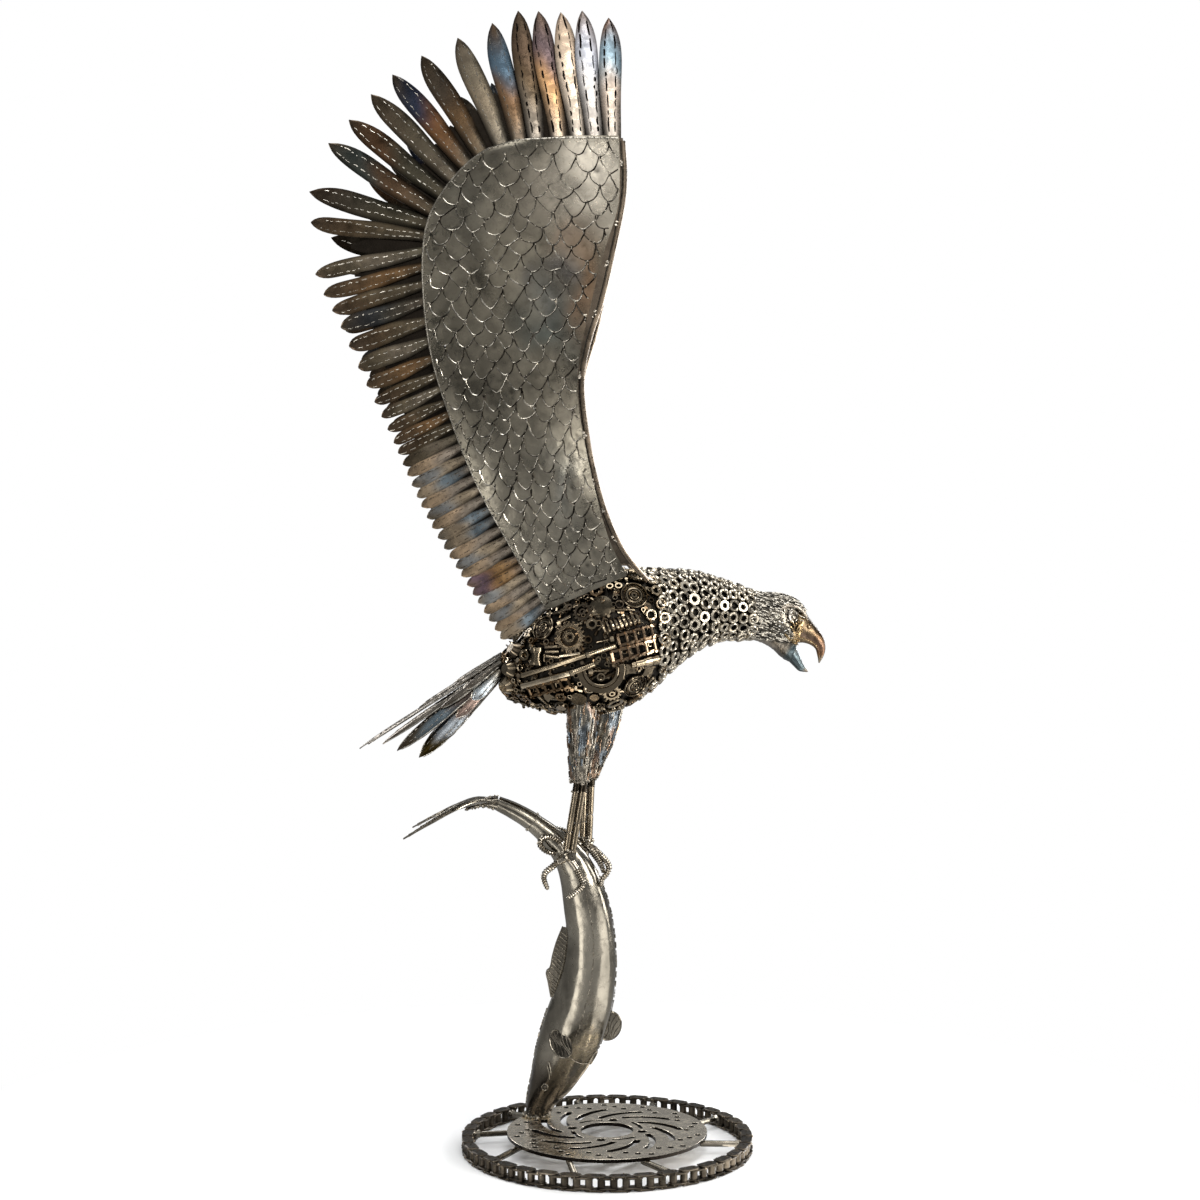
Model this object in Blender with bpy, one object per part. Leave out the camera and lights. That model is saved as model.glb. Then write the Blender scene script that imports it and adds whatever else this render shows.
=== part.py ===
"""Scrap metal eagle on a fish, on a brake disc inside a ring of roller chain.

Units are metres, +Z is up.  The eagle looks along +X, its right side faces -Y and its
middle plane is y = 0.  The origin is the middle of the footprint, on the floor.
Every sub-part is one closed solid in one named object.
"""

import math

import bmesh
import bpy
from mathutils import Vector
from mathutils.geometry import tessellate_polygon

# ---------------------------------------------------------------- driving sizes
GAP = 0.0003                    # clearance between pieces that are welded to each other

# Foot ring: a loop of roller chain laid flat, one segment for each link.
CHAIN_LINKS = 76
CHAIN_PITCH = 0.0127
CHAIN_PLATE = 0.012             # radial width of the link plates
CHAIN_HEIGHT = 0.017            # length of the pins
CHAIN_PLATES = 0.0042           # height of each pair of plates
ROLLER_WIDTH = 0.0085
RING_X = 0.035                  # middle of the foot ring
RING_RADIUS = CHAIN_LINKS * CHAIN_PITCH / (2 * math.pi)

# Brake disc.
DISC_RADIUS = 0.110
DISC_THICKNESS = 0.004
DISC_TOP = 0.0195
DISC_BORE = 0.029
BOLT_CIRCLE = 0.039
BOLT_HOLE = 0.0045
BOLT_HOLES = 4
BOLT_START = math.radians(80)
SLOTS = 12
SLOT_INNER = 0.054
SLOT_OUTER = 0.081
SLOT_WIDTH = 0.0062
SLOT_SWEEP = math.radians(-36)

# Bolts from the disc's underside to the ring: angle at the ring and angle under the disc.
SPOKES = ((31, 24), (68, 62), (104, 98), (140, 133), (176, 168), (216, 199), (257, 245),
          (297, 293), (350, 346))
SPOKE_RADIUS = 0.004
SPOKE_INNER = 0.096
SPOKE_SIDES = 8

# Wing.  Edges of the right blade as (x, z), seen square on, root first.
TRAILING_EDGE = ((-0.030, 0.592), (-0.065, 0.653), (-0.104, 0.726), (-0.136, 0.810),
                 (-0.151, 0.865), (-0.158, 0.925), (-0.1575, 0.975), (-0.149, 1.009),
                 (-0.124, 1.046), (-0.095, 1.0705), (-0.060, 1.0825))
LEADING_EDGE = ((0.056, 0.629), (0.037, 0.667), (0.022, 0.720), (0.0075, 0.789),
                (0.004, 0.832), (0.010, 0.877), (0.032, 0.966), (0.046, 1.012),
                (0.0480, 1.050), (0.0470, 1.0865))
WING_ROOT_Z = 0.600
WING_ROOT_Y = 0.063             # distance of the blade from the middle plane, at the root
WING_TIP_Y = 0.112              # the same from WING_LEVEL_Z up
WING_LEVEL_Z = 0.915
BLADE_THICKNESS = 0.002
BLADE_CAMBER = 0.007
BLADE_FLAT_ROOT = 0.25          # share of the blade over which its camber grows
BLADE_ROWS = 18
BLADE_COLUMNS = 4
LEFT_WING_BACK = math.radians(1.2)      # the left wing is swung back a little further
SHOULDER = (0.015, 0.605)               # (x, z) that it is swung about

# Rod along the leading edge, as (x, z) of its middle, foot first.
EDGE_ROD = ((0.078, 0.6235), (0.066, 0.6365), (0.0525, 0.654), (0.042, 0.674), (0.0312, 0.701),
            (0.0226, 0.731), (0.0148, 0.770), (0.0085, 0.829), (0.0155, 0.872), (0.0283, 0.912),
            (0.0396, 0.960), (0.0510, 1.015), (0.0532, 1.045), (0.0512, 1.081))
EDGE_ROD_RADIUS = 0.0026
EDGE_ROD_STEPS = 17
EDGE_ROD_SIDES = 6

# Primary feathers, from the wing tip round the corner: distance along the blade's edge from
# the leading corner, angle from +X in degrees, and free length.
PRIMARIES = ((0.007, 91.5, 0.124), (0.0255, 95.5, 0.132), (0.0425, 98.0, 0.131),
             (0.063, 99.2, 0.133), (0.0865, 98.2, 0.134), (0.104, 103.3, 0.125),
             (0.1225, 112.9, 0.120), (0.1455, 122.0, 0.119), (0.1655, 129.6, 0.121),
             (0.185, 134.6, 0.122), (0.205, 141.6, 0.123), (0.2255, 147.0, 0.128),
             (0.2405, 164.8, 0.1265))
FEATHER_WIDTH = 0.0240
FEATHER_THICKNESS = 0.0014
FEATHER_ROLL = math.radians(8)
FEATHER_TUCK = 0.006            # how far a feather runs in under the blade
FEATHER_INSET = 0.0026          # from the blade's inner face to the middle of a feather
FEATHER_ROOT_WIDTH = 0.70
FEATHER_SIDES = ((0.45, 1.0), (0.80, 0.82), (0.94, 0.40))   # share of length, of half width
WING_TIP_EDGE = (-0.020, 1.0860)        # middle of the blade's upper edge

# Trailing feathers of a wing, as one welded row: (number, base height, angle, length).
TRAILING_FEATHERS = 32
TRAILING_ROW = ((0, 0.9830, 173.5, 0.119), (1, 0.967, 192.0, 0.114), (4, 0.914, 197.0, 0.090),
                (7, 0.854, 202.0, 0.073), (10, 0.8095, 206.0, 0.0655), (13, 0.774, 207.0, 0.063),
                (21, 0.688, 209.5, 0.0610), (26, 0.6375, 208.5, 0.059), (31, 0.596, 216.0, 0.058))
TRAILING_THICKNESS = 0.0015
TRAILING_NECK = (0.92, 0.55)    # where a point starts to taper: share of length, of half width
TRAILING_NOTCH = 0.78           # how far out the seam between two of them runs
TRAILING_NOTCHES_TOP = (0.45, 0.53, 0.61, 0.69, 0.77)       # the same for the first five
TRAILING_FIRST = ((0.0, 0.45), (0.7, 0.9))                  # free side of the first one
TRAILING_INNER = 12             # steps along the tucked-in edge

# Body and neck: x, underside z, top z, half width, squareness of the section.
BODY = ((-0.083, 0.5020, 0.5370, 0.020, 2.2), (-0.070, 0.4935, 0.5560, 0.034, 2.3),
        (-0.045, 0.4860, 0.5830, 0.052, 2.5), (-0.010, 0.4800, 0.6130, 0.067, 2.7),
        (0.030, 0.4790, 0.6320, 0.073, 2.8), (0.060, 0.4890, 0.6370, 0.070, 2.7),
        (0.085, 0.5060, 0.6370, 0.061, 2.5), (0.110, 0.5290, 0.6360, 0.051, 2.3),
        (0.135, 0.5480, 0.6335, 0.042, 2.2), (0.160, 0.5585, 0.6260, 0.0345, 2.1),
        (0.191, 0.5595, 0.6150, 0.0280, 2.0))
BODY_SIDES = 24
BODY_SECTIONS = 17

# Head: middle x and z, half height, half width, lean of the section in degrees.
HEAD = ((0.1914, 0.5872, 0.0278, 0.0270, 0), (0.206, 0.5836, 0.0285, 0.0262, 2),
        (0.2200, 0.5798, 0.0318, 0.0258, 6), (0.234, 0.5722, 0.0340, 0.0238, 12),
        (0.2453, 0.5629, 0.0306, 0.0190, 17.5))
UPPER_BEAK = ((0.2500, 0.5728, 0.0198, 0.0130, 17.5), (0.2580, 0.5690, 0.0150, 0.0100, 35),
              (0.2648, 0.5612, 0.0105, 0.0072, 58), (0.2695, 0.5500, 0.0064, 0.0048, 82),
              (0.2702, 0.5412, 0.0045, 0.0032, 98), (0.2688, 0.5328, 0.0008, 0.0008, 108))
LOWER_BEAK = ((0.2410, 0.5432, 0.0104, 0.0110, 17.5), (0.2468, 0.5350, 0.0078, 0.0080, 40),
              (0.2515, 0.5272, 0.0048, 0.0052, 52), (0.2560, 0.5222, 0.0010, 0.0012, 60))

# Tail: a fan of feathers, folded down at its sides like a long roof.
TAIL_ROOT = (-0.0845, 0.5195)
TAIL_SLOPE = math.radians(38)
TAIL_FOLD = math.radians(80)        # how far the outer feathers are turned down
TAIL_FLARE = 0.10                   # outward run of the middle feather per unit of length
TAIL_SIDE_FLARE = 0.16              # what the outermost feathers have more
TAIL_FAN = 0.15                     # sideways run per unit of length and of fold
TAIL_ROOT_RADIUS = 0.0165
TAIL_ROOT_BOW = 0.002
TAIL_FEATHERS = 9
TAIL_WIDTH = 0.0180
TAIL_THICKNESS = 0.0015
TAIL_LENGTHS = (0.126, 0.142, 0.152, 0.168, 0.181)          # outer to middle
COVERTS = 7
COVERT_LENGTHS = (0.040, 0.048, 0.056, 0.060)
COVERT_WIDTH = 0.0150
COVERT_LIFT = 0.0040
TAIL_NOTCH = 0.5                # where two feathers part, as a share of the shorter one
TAIL_SHAPE = ((0.74, 1.0), (0.92, 0.55))    # share of length, of half width
TAIL_SEAM = 0.46                # no feather is wider than this share of the step each way

# Legs, as x, y, z, half depth (x), half width (y), top first; right, then left.
RIGHT_THIGH = ((0.0090, -0.031, 0.512, 0.0190, 0.0180), (0.0080, -0.030, 0.478, 0.0175, 0.0170),
               (0.0070, -0.028, 0.448, 0.0150, 0.0150), (0.0055, -0.026, 0.420, 0.0120, 0.0120),
               (0.0045, -0.025, 0.398, 0.0092, 0.0100))
LEFT_THIGH = ((0.0370, 0.031, 0.512, 0.0200, 0.0180), (0.0340, 0.030, 0.478, 0.0180, 0.0170),
              (0.0280, 0.028, 0.448, 0.0155, 0.0150), (0.0195, 0.026, 0.420, 0.0125, 0.0120),
              (0.0140, 0.025, 0.398, 0.0090, 0.0100))
THIGH_SECTIONS = 9
THIGH_SIDES = 14
SHANK_ROD = 0.0034
SHANK_SIDES = 10
RIGHT_SHANK = ((0.0050, -0.025, 0.3974), (-0.0060, -0.0225, 0.3290))
LEFT_SHANK = ((0.0140, 0.025, 0.3974), (0.0115, 0.0195, 0.3370))
TOE_RADIUS = 0.0031
TOE_TAPER = 0.35
TOE_STEPS = 8
TOE_SIDES = 6
KNUCKLE_RADIUS = 0.0080
KNUCKLE_SIDES = 10

# Feet: top of the knuckle, ankle, and the run of each bent rod from the ankle.
RIGHT_KNUCKLE = (-0.0062, -0.0225, 0.3286)
RIGHT_ANKLE = (-0.0075, -0.0220, 0.3220)
RIGHT_TOES = (((-0.0165, -0.0215, 0.3185), (-0.0255, -0.0225, 0.3115),
               (-0.0325, -0.0215, 0.3055), (-0.0340, -0.0205, 0.2990),
               (-0.0295, -0.0200, 0.2870)),
              ((-0.0020, -0.0205, 0.3150), (0.0035, -0.0185, 0.3050), (0.0085, -0.0170, 0.2920),
               (0.0010, -0.0162, 0.2835), (-0.0085, -0.0150, 0.2765)),
              ((-0.0150, -0.0205, 0.3370), (-0.0240, -0.0190, 0.3440),
               (-0.0350, -0.0170, 0.3430), (-0.0385, -0.0155, 0.3360),
               (-0.0320, -0.0145, 0.3285), (-0.0210, -0.0165, 0.3250)))
LEFT_KNUCKLE = (0.0115, 0.0195, 0.3366)
LEFT_ANKLE = (0.0112, 0.0192, 0.3300)
LEFT_TOES = (((0.0200, 0.0170, 0.3270), (0.0275, 0.0130, 0.3205), (0.0345, 0.0080, 0.3135),
              (0.0372, 0.0040, 0.3080), (0.0345, 0.0010, 0.3010), (0.0300, -0.0020, 0.2960),
              (0.0285, -0.0040, 0.2880)),
             ((0.0110, 0.0235, 0.3190), (0.0070, 0.0270, 0.3050), (0.0110, 0.0300, 0.2920),
              (0.0040, 0.0320, 0.2830)),
             ((0.0010, 0.0200, 0.3360), (-0.0130, 0.0190, 0.3460), (-0.0290, 0.0170, 0.3480),
              (-0.0360, 0.0155, 0.3400), (-0.0290, 0.0150, 0.3300)))

# Fish: x, y, z of the middle of its body, half depth of the section, squash across it.
FISH = ((-0.0440, 0.0560, 0.0198, 0.0135, 0.80), (-0.0385, 0.0530, 0.0400, 0.0180, 0.76),
        (-0.0248, 0.0490, 0.0673, 0.0268, 0.70), (-0.0130, 0.0460, 0.0950, 0.0332, 0.68),
        (-0.0014, 0.0420, 0.1253, 0.0358, 0.68), (0.0090, 0.0360, 0.1600, 0.0343, 0.70),
        (0.0155, 0.0280, 0.1960, 0.0305, 0.72), (0.0165, 0.0200, 0.2320, 0.0273, 0.76),
        (0.0120, 0.0120, 0.2650, 0.0255, 0.80), (0.0040, 0.0060, 0.2980, 0.0216, 0.84),
        (-0.0075, 0.0020, 0.3210, 0.0175, 0.90), (-0.0230, 0.0, 0.3385, 0.0140, 0.95),
        (-0.0430, 0.0, 0.3555, 0.0115, 1.0), (-0.0640, 0.0, 0.3690, 0.0100, 1.0),
        (-0.0860, 0.0, 0.3795, 0.0085, 1.0))
FISH_SIDES = 14
FISH_SECTIONS = 21
FIN_THICKNESS = 0.0018

# Fins.  The dorsal fin is an upright sheet, as (x, z).  Each pectoral fin is an oval: middle,
# half its long axis, half its short axis.
DORSAL_FIN = ((0.006, 0.236), (-0.014, 0.240), (-0.021, 0.222), (-0.0255, 0.206),
              (-0.0285, 0.192), (-0.0325, 0.188), (-0.0305, 0.176), (-0.0275, 0.158),
              (-0.006, 0.158))
NEAR_PECTORAL = ((-0.0166, 0.0200, 0.109), (-0.0075, 0.0035, 0.0150), (0.0105, -0.0005, 0.0045))
FAR_PECTORAL = ((0.0370, 0.0567, 0.121), (0.0060, 0.0, 0.0160), (0.0135, 0.004, -0.0060))
PECTORAL_SIDES = 14

# Forked tail fin, nearly level: one lobe as (distance back, sideways), then its height.
TAIL_FIN_LOBE = ((0.0, 0.009), (0.020, 0.022), (0.045, 0.037), (0.072, 0.047), (0.112, 0.052),
                 (0.083, 0.036), (0.060, 0.020), (0.050, 0.0))
TAIL_FIN_HEIGHT = ((0.0, 0.3820), (0.025, 0.3835), (0.050, 0.3760), (0.080, 0.3630),
                   (0.112, 0.3480))
TAIL_FIN_SHORTER = 0.88         # length along X for each unit of distance back
TAIL_FIN_DROOP = 0.9            # fall towards the sides, times the distance squared

# Colour and roughness of each metal.
METALS = {"chain": ((0.16, 0.14, 0.12), 0.45), "disc": ((0.46, 0.44, 0.41), 0.30),
          "bolt": ((0.20, 0.18, 0.16), 0.40), "body": ((0.22, 0.20, 0.17), 0.35),
          "head": ((0.34, 0.32, 0.29), 0.35), "upper_beak": ((0.45, 0.30, 0.18), 0.30),
          "lower_beak": ((0.25, 0.28, 0.30), 0.30), "blade": ((0.30, 0.28, 0.25), 0.35),
          "rod": ((0.20, 0.17, 0.14), 0.40), "feather": ((0.30, 0.25, 0.22), 0.35),
          "tail": ((0.40, 0.39, 0.37), 0.35), "fish": ((0.42, 0.39, 0.34), 0.25),
          "thigh": ((0.35, 0.32, 0.30), 0.35), "shank": ((0.50, 0.43, 0.35), 0.20),
          "foot": ((0.35, 0.31, 0.27), 0.40)}
SMOOTH_ANGLE = math.radians(40)


# ---------------------------------------------------------------- general helpers
def smooth(rows, t):
    """Values at t of a smooth curve through rows of (t, value, value, ...)."""
    if t <= rows[0][0]:
        return list(rows[0][1:])
    if t >= rows[-1][0]:
        return list(rows[-1][1:])
    i = max(k for k in range(len(rows) - 1) if rows[k][0] <= t)
    step = rows[i + 1][0] - rows[i][0]
    s = (t - rows[i][0]) / step
    values = []
    for c in range(1, len(rows[0])):
        a = rows[i][c]
        b = rows[i + 1][c]
        slope_a = slope(rows, i, c) * step
        slope_b = slope(rows, i + 1, c) * step
        values.append((2 * s ** 3 - 3 * s ** 2 + 1) * a + (s ** 3 - 2 * s ** 2 + s) * slope_a
                      + (3 * s ** 2 - 2 * s ** 3) * b + (s ** 3 - s ** 2) * slope_b)
    return values


def slope(rows, i, c):
    """Slope of column c at row i, from its two neighbours."""
    a = max(i - 1, 0)
    b = min(i + 1, len(rows) - 1)
    return (rows[b][c] - rows[a][c]) / (rows[b][0] - rows[a][0])


def by_length(points):
    """Rows of (distance along, coordinates...) for smooth(), and the whole length."""
    rows = [(0.0, *points[0])]
    for a, b in zip(points, points[1:]):
        rows.append((rows[-1][0] + math.dist(a, b), *b))
    return rows, rows[-1][0]


def circle(sides, start=0.0):
    """Angles of the corners of a regular polygon."""
    return [start + 2 * math.pi * i / sides for i in range(sides)]


def finish(name, metal):
    """A metal of its own for one object."""
    colour, roughness = METALS[metal]
    material = bpy.data.materials.new(name + "_metal")
    material.use_nodes = True
    shader = material.node_tree.nodes["Principled BSDF"]
    shader.inputs["Base Color"].default_value = (*colour, 1.0)
    shader.inputs["Roughness"].default_value = roughness
    shader.inputs["Metallic"].default_value = 1.0
    return material


def make_object(name, bm, metal):
    """Turn a closed bmesh into a named object with its metal."""
    bmesh.ops.recalc_face_normals(bm, faces=bm.faces)
    mesh = bpy.data.meshes.new(name)
    bm.to_mesh(mesh)
    bm.free()
    mesh.materials.append(finish(name, metal))
    mesh.shade_smooth()
    mesh.set_sharp_from_angle(angle=SMOOTH_ANGLE)
    obj = bpy.data.objects.new(name, mesh)
    bpy.context.scene.collection.objects.link(obj)
    return obj


def loft(rings, closed=False):
    """Closed bmesh through rings of points; the ends get a fan of triangles."""
    bm = bmesh.new()
    rows = [[bm.verts.new(p) for p in ring] for ring in rings]
    pairs = list(zip(rows, rows[1:]))
    if closed:
        pairs.append((rows[-1], rows[0]))
    count = len(rows[0])
    for low, high in pairs:
        for i in range(count):
            j = (i + 1) % count
            bm.faces.new((low[i], low[j], high[j], high[i]))
    if not closed:
        for row in (rows[0], rows[-1]):
            middle = bm.verts.new(sum((v.co for v in row), Vector()) / count)
            for i in range(count):
                bm.faces.new((row[i], row[(i + 1) % count], middle))
    return bm


def tube(points, radius, sides, turn=0.0):
    """Closed bmesh of a rod along points; radius is one value or one for each point."""
    points = [Vector(p) for p in points]
    radii = radius if isinstance(radius, list) else [radius] * len(points)
    last = len(points) - 1
    tangents = [(points[min(i + 1, last)] - points[max(i - 1, 0)]).normalized()
                for i in range(len(points))]
    side = tangents[0].orthogonal().normalized()
    rings = []
    for point, tangent, r in zip(points, tangents, radii):
        side = (side - tangent * side.dot(tangent)).normalized()
        up = tangent.cross(side)
        rings.append([point + (side * math.cos(a) + up * math.sin(a)) * r
                      for a in circle(sides, turn)])
    return loft(rings)


def sheet(outline, place, holes=()):
    """Closed bmesh of a flat outline given thickness.

    place(a, b, face) puts outline point (a, b) in space, on face 0 or face 1.
    """
    loops = [outline, *holes]
    flat = [point for points in loops for point in points]
    triangles = tessellate_polygon([[Vector((a, b, 0.0)) for a, b in points] for points in loops])
    bm = bmesh.new()
    faces = [[bm.verts.new(place(a, b, face)) for a, b in flat] for face in (0, 1)]
    for triangle in triangles:
        for verts in faces:
            bm.faces.new([verts[i] for i in triangle])
    start = 0
    for points in loops:
        for i in range(len(points)):
            a = start + i
            b = start + (i + 1) % len(points)
            bm.faces.new((faces[0][a], faces[0][b], faces[1][b], faces[1][a]))
        start += len(points)
    return bm


def combine(name, base, others, operation):
    """Boolean of base with each of the others, which are used up."""
    for other in others:
        modifier = base.modifiers.new(operation.lower(), "BOOLEAN")
        modifier.operation = operation
        modifier.solver = "EXACT"
        modifier.object = other
    bpy.context.view_layer.update()
    graph = bpy.context.evaluated_depsgraph_get()
    mesh = bpy.data.meshes.new_from_object(base.evaluated_get(graph))
    base.modifiers.clear()
    base.data = mesh
    mesh.name = name
    for other in others:
        bpy.data.objects.remove(other)
    keep_largest(mesh)
    return base


def keep_largest(mesh):
    """Drop every shell but the largest, such as a pocket closed off inside a union."""
    bm = bmesh.new()
    bm.from_mesh(mesh)
    left = set(bm.verts)
    shells = []
    while left:
        shell = {left.pop()}
        edge = list(shell)
        while edge:
            near = {e.other_vert(v) for v in edge for e in v.link_edges} & left
            left -= near
            shell |= near
            edge = list(near)
        shells.append(shell)
    shells.sort(key=len)
    bmesh.ops.delete(bm, geom=[v for shell in shells[:-1] for v in shell], context="VERTS")
    bm.to_mesh(mesh)
    bm.free()


def helper(bm):
    """An object for use in combine()."""
    return make_object("helper", bm, "bolt")


# ---------------------------------------------------------------- base
def chain_ring():
    """The loop of chain: two layers of plates with a narrower row of rollers between."""
    inner = RING_RADIUS - CHAIN_PLATE / 2
    outer = RING_RADIUS + CHAIN_PLATE / 2
    roller = RING_RADIUS + ROLLER_WIDTH / 2
    low = CHAIN_PLATES
    high = CHAIN_HEIGHT - CHAIN_PLATES
    section = ((inner, 0.0), (outer, 0.0), (outer, low), (roller, low), (roller, high),
               (outer, high), (outer, CHAIN_HEIGHT), (inner, CHAIN_HEIGHT))
    rings = [[Vector((RING_X + r * math.cos(a), r * math.sin(a), z)) for r, z in section]
             for a in circle(CHAIN_LINKS)]
    make_object("base_chain_ring", loft(rings, closed=True), "chain")


def slot_outline(angle):
    """One curved slot of the disc, with round ends."""
    count = 3
    middles = []
    for i in range(count + 1):
        t = i / count
        r = SLOT_INNER + (SLOT_OUTER - SLOT_INNER) * t
        a = angle + SLOT_SWEEP * t
        middles.append(Vector((r * math.cos(a), r * math.sin(a))))
    half = SLOT_WIDTH / 2
    sides = ([], [])
    for i, middle in enumerate(middles):
        along = (middles[min(i + 1, count)] - middles[max(i - 1, 0)]).normalized()
        across = Vector((-along.y, along.x)) * half
        sides[0].append(middle + across)
        sides[1].append(middle - across)
    start = (middles[0] - middles[1]).normalized() * half
    end = (middles[-1] - middles[-2]).normalized() * half
    points = sides[0] + [middles[-1] + end] + sides[1][::-1] + [middles[0] + start]
    return [(p.x, p.y) for p in points]


def brake_disc():
    """The disc with its bore, four bolt holes and a ring of curved slots."""
    def ring(x, y, radius, sides):
        return [(x + radius * math.cos(a), y + radius * math.sin(a)) for a in circle(sides)]

    def place(a, b, face):
        return Vector((RING_X + a, b, DISC_TOP - face * DISC_THICKNESS))

    holes = [ring(0.0, 0.0, DISC_BORE, 24)]
    for i in range(BOLT_HOLES):
        a = BOLT_START + 2 * math.pi * i / BOLT_HOLES
        holes.append(ring(BOLT_CIRCLE * math.cos(a), BOLT_CIRCLE * math.sin(a), BOLT_HOLE, 8))
    for i in range(SLOTS):
        holes.append(slot_outline(2 * math.pi * i / SLOTS))
    bm = sheet(ring(0.0, 0.0, DISC_RADIUS, 60), place, holes)
    make_object("brake_disc", bm, "disc")


def spokes():
    """Short bolts under the disc, out to the ring; a slanting one stops a little shorter."""
    reach = RING_RADIUS - CHAIN_PLATE / 2 - 4 * GAP
    z = DISC_TOP - DISC_THICKNESS - SPOKE_RADIUS - GAP
    for number, angles in enumerate(SPOKES, start=1):
        outer, inner = (Vector((math.cos(math.radians(a)), math.sin(math.radians(a)), 0.0))
                        for a in angles)
        run = (outer * reach - inner * SPOKE_INNER).normalized()
        end = outer * reach - run * SPOKE_RADIUS * outer.cross(run).length
        middle = Vector((RING_X, 0.0, z))
        rod = tube([middle + end, middle + inner * SPOKE_INNER], SPOKE_RADIUS, SPOKE_SIDES)
        make_object(f"base_spoke_{number}", rod, "bolt")


# ---------------------------------------------------------------- body, neck and head
def body_section(x, grow=0.0):
    """Middle z, half height, half width and squareness of the body at x."""
    low, high, width, square = smooth(BODY, x)
    return (low + high) / 2, (high - low) / 2 + grow, width + grow, square


def body_reach(x, z):
    """Half width of the body at x and height z, 0 above or below it."""
    middle, half, width, square = body_section(x)
    u = min(abs(z - middle) / half, 1.0)
    if x < BODY[0][0] or x > BODY[-1][0]:
        return 0.0
    return width * (1.0 - u ** square) ** (1.0 / square)


def body_mesh(grow=0.0):
    """Loft of the torso and neck; grow thickens it all round, for cutting neighbours."""
    rings = []
    first = BODY[0][0] - grow
    last = BODY[-1][0]
    for i in range(BODY_SECTIONS):
        x = first + (last - first) * i / (BODY_SECTIONS - 1)
        middle, half, width, square = body_section(x, grow)
        ring = []
        for a in circle(BODY_SIDES):
            c = math.cos(a)
            s = math.sin(a)
            reach = (abs(c) ** square + abs(s) ** square) ** (-1.0 / square)
            ring.append(Vector((x, width * reach * c, middle + half * reach * s)))
        rings.append(ring)
    return loft(rings)


def leaning_loft(rows, count, sides):
    """Loft of ellipses in the middle plane, each leaning forward by its own angle."""
    numbered = [(i, *row) for i, row in enumerate(rows)]
    rings = []
    for k in range(count):
        x, z, high, wide, lean = smooth(numbered, k * (len(rows) - 1) / (count - 1))
        up = Vector((math.sin(math.radians(lean)), 0.0, math.cos(math.radians(lean))))
        rings.append([Vector((x, wide * math.cos(a), z)) + up * high * math.sin(a)
                      for a in circle(sides)])
    return loft(rings)


def body_and_head():
    """Torso with neck, head, and the two halves of the beak."""
    make_object("eagle_body", body_mesh(), "body")
    for name, rows, metal, count, sides in (("eagle_head", HEAD, "head", 8, 16),
                                            ("upper_beak", UPPER_BEAK, "upper_beak", 9, 10),
                                            ("lower_beak", LOWER_BEAK, "lower_beak", 6, 10)):
        make_object(name, leaning_loft(rows, count, sides), metal)


# ---------------------------------------------------------------- wings
def wing_distance(z):
    """Distance of the wing from the middle plane at height z."""
    t = min(max((z - WING_ROOT_Z) / (WING_LEVEL_Z - WING_ROOT_Z), 0.0), 1.0)
    return WING_ROOT_Y + (WING_TIP_Y - WING_ROOT_Y) * t * (2 - t)


def swing(side, x, z):
    """(x, z) of a wing's point after the left wing's swing."""
    if side < 0:
        return x, z
    c = math.cos(LEFT_WING_BACK)
    s = math.sin(LEFT_WING_BACK)
    dx = x - SHOULDER[0]
    dz = z - SHOULDER[1]
    return SHOULDER[0] + dx * c - dz * s, SHOULDER[1] + dx * s + dz * c


def blade_mesh(side):
    """The cambered sheet between the two edges; its root lies on the shoulder."""
    trailing, trailing_length = by_length(TRAILING_EDGE)
    leading, leading_length = by_length(LEADING_EDGE)
    half = BLADE_THICKNESS / 2
    rings = []
    for j in range(BLADE_ROWS + 1):
        v = j / BLADE_ROWS
        ax, az = smooth(trailing, v * trailing_length)
        bx, bz = smooth(leading, v * leading_length)
        faces = ([], [])
        for i in range(BLADE_COLUMNS + 1):
            u = i / BLADE_COLUMNS
            x = ax + (bx - ax) * u
            z = az + (bz - az) * u
            bulge = 4 * u * (1 - u) * min(v / BLADE_FLAT_ROOT, 1.0)
            distance = wing_distance(z)
            x, z = swing(side, x, z)
            y = max(distance, body_reach(x, z) + half + 2 * GAP) + BLADE_CAMBER * bulge
            faces[0].append(Vector((x, side * (y - half), z)))
            faces[1].append(Vector((x, side * (y + half), z)))
        rings.append(faces[0] + faces[1][::-1])
    bm = bmesh.new()
    rows = [[bm.verts.new(p) for p in ring] for ring in rings]
    count = len(rows[0])
    for low, high in zip(rows, rows[1:]):
        for i in range(count):
            j = (i + 1) % count
            bm.faces.new((low[i], low[j], high[j], high[i]))
    for row in (rows[0], rows[-1]):
        for i in range(BLADE_COLUMNS):
            bm.faces.new((row[i], row[i + 1], row[count - 2 - i], row[count - 1 - i]))
    return bm


def edge_rod(side):
    """Rod that follows the leading edge, from the breast to the wing tip."""
    rows, length = by_length(EDGE_ROD)
    points = []
    for i in range(EDGE_ROD_STEPS + 1):
        x, z = smooth(rows, length * i / EDGE_ROD_STEPS)
        distance = wing_distance(z)
        x, z = swing(side, x, z)
        y = max(distance, body_reach(x, z) + EDGE_ROD_RADIUS + 3 * GAP)
        points.append((x, side * y, z))
    return tube(points, EDGE_ROD_RADIUS, EDGE_ROD_SIDES)


def feather_outline(length, width):
    """Spear-shaped outline along +a from the root: narrow root, long sides, point."""
    half = width / 2
    sides = [(-FEATHER_TUCK, FEATHER_ROOT_WIDTH)] + [(length * a, w) for a, w in FEATHER_SIDES]
    right = [(a, -half * w) for a, w in sides]
    left = [(a, half * w) for a, w in reversed(sides)]
    return right + [(length, 0.0)] + left


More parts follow.
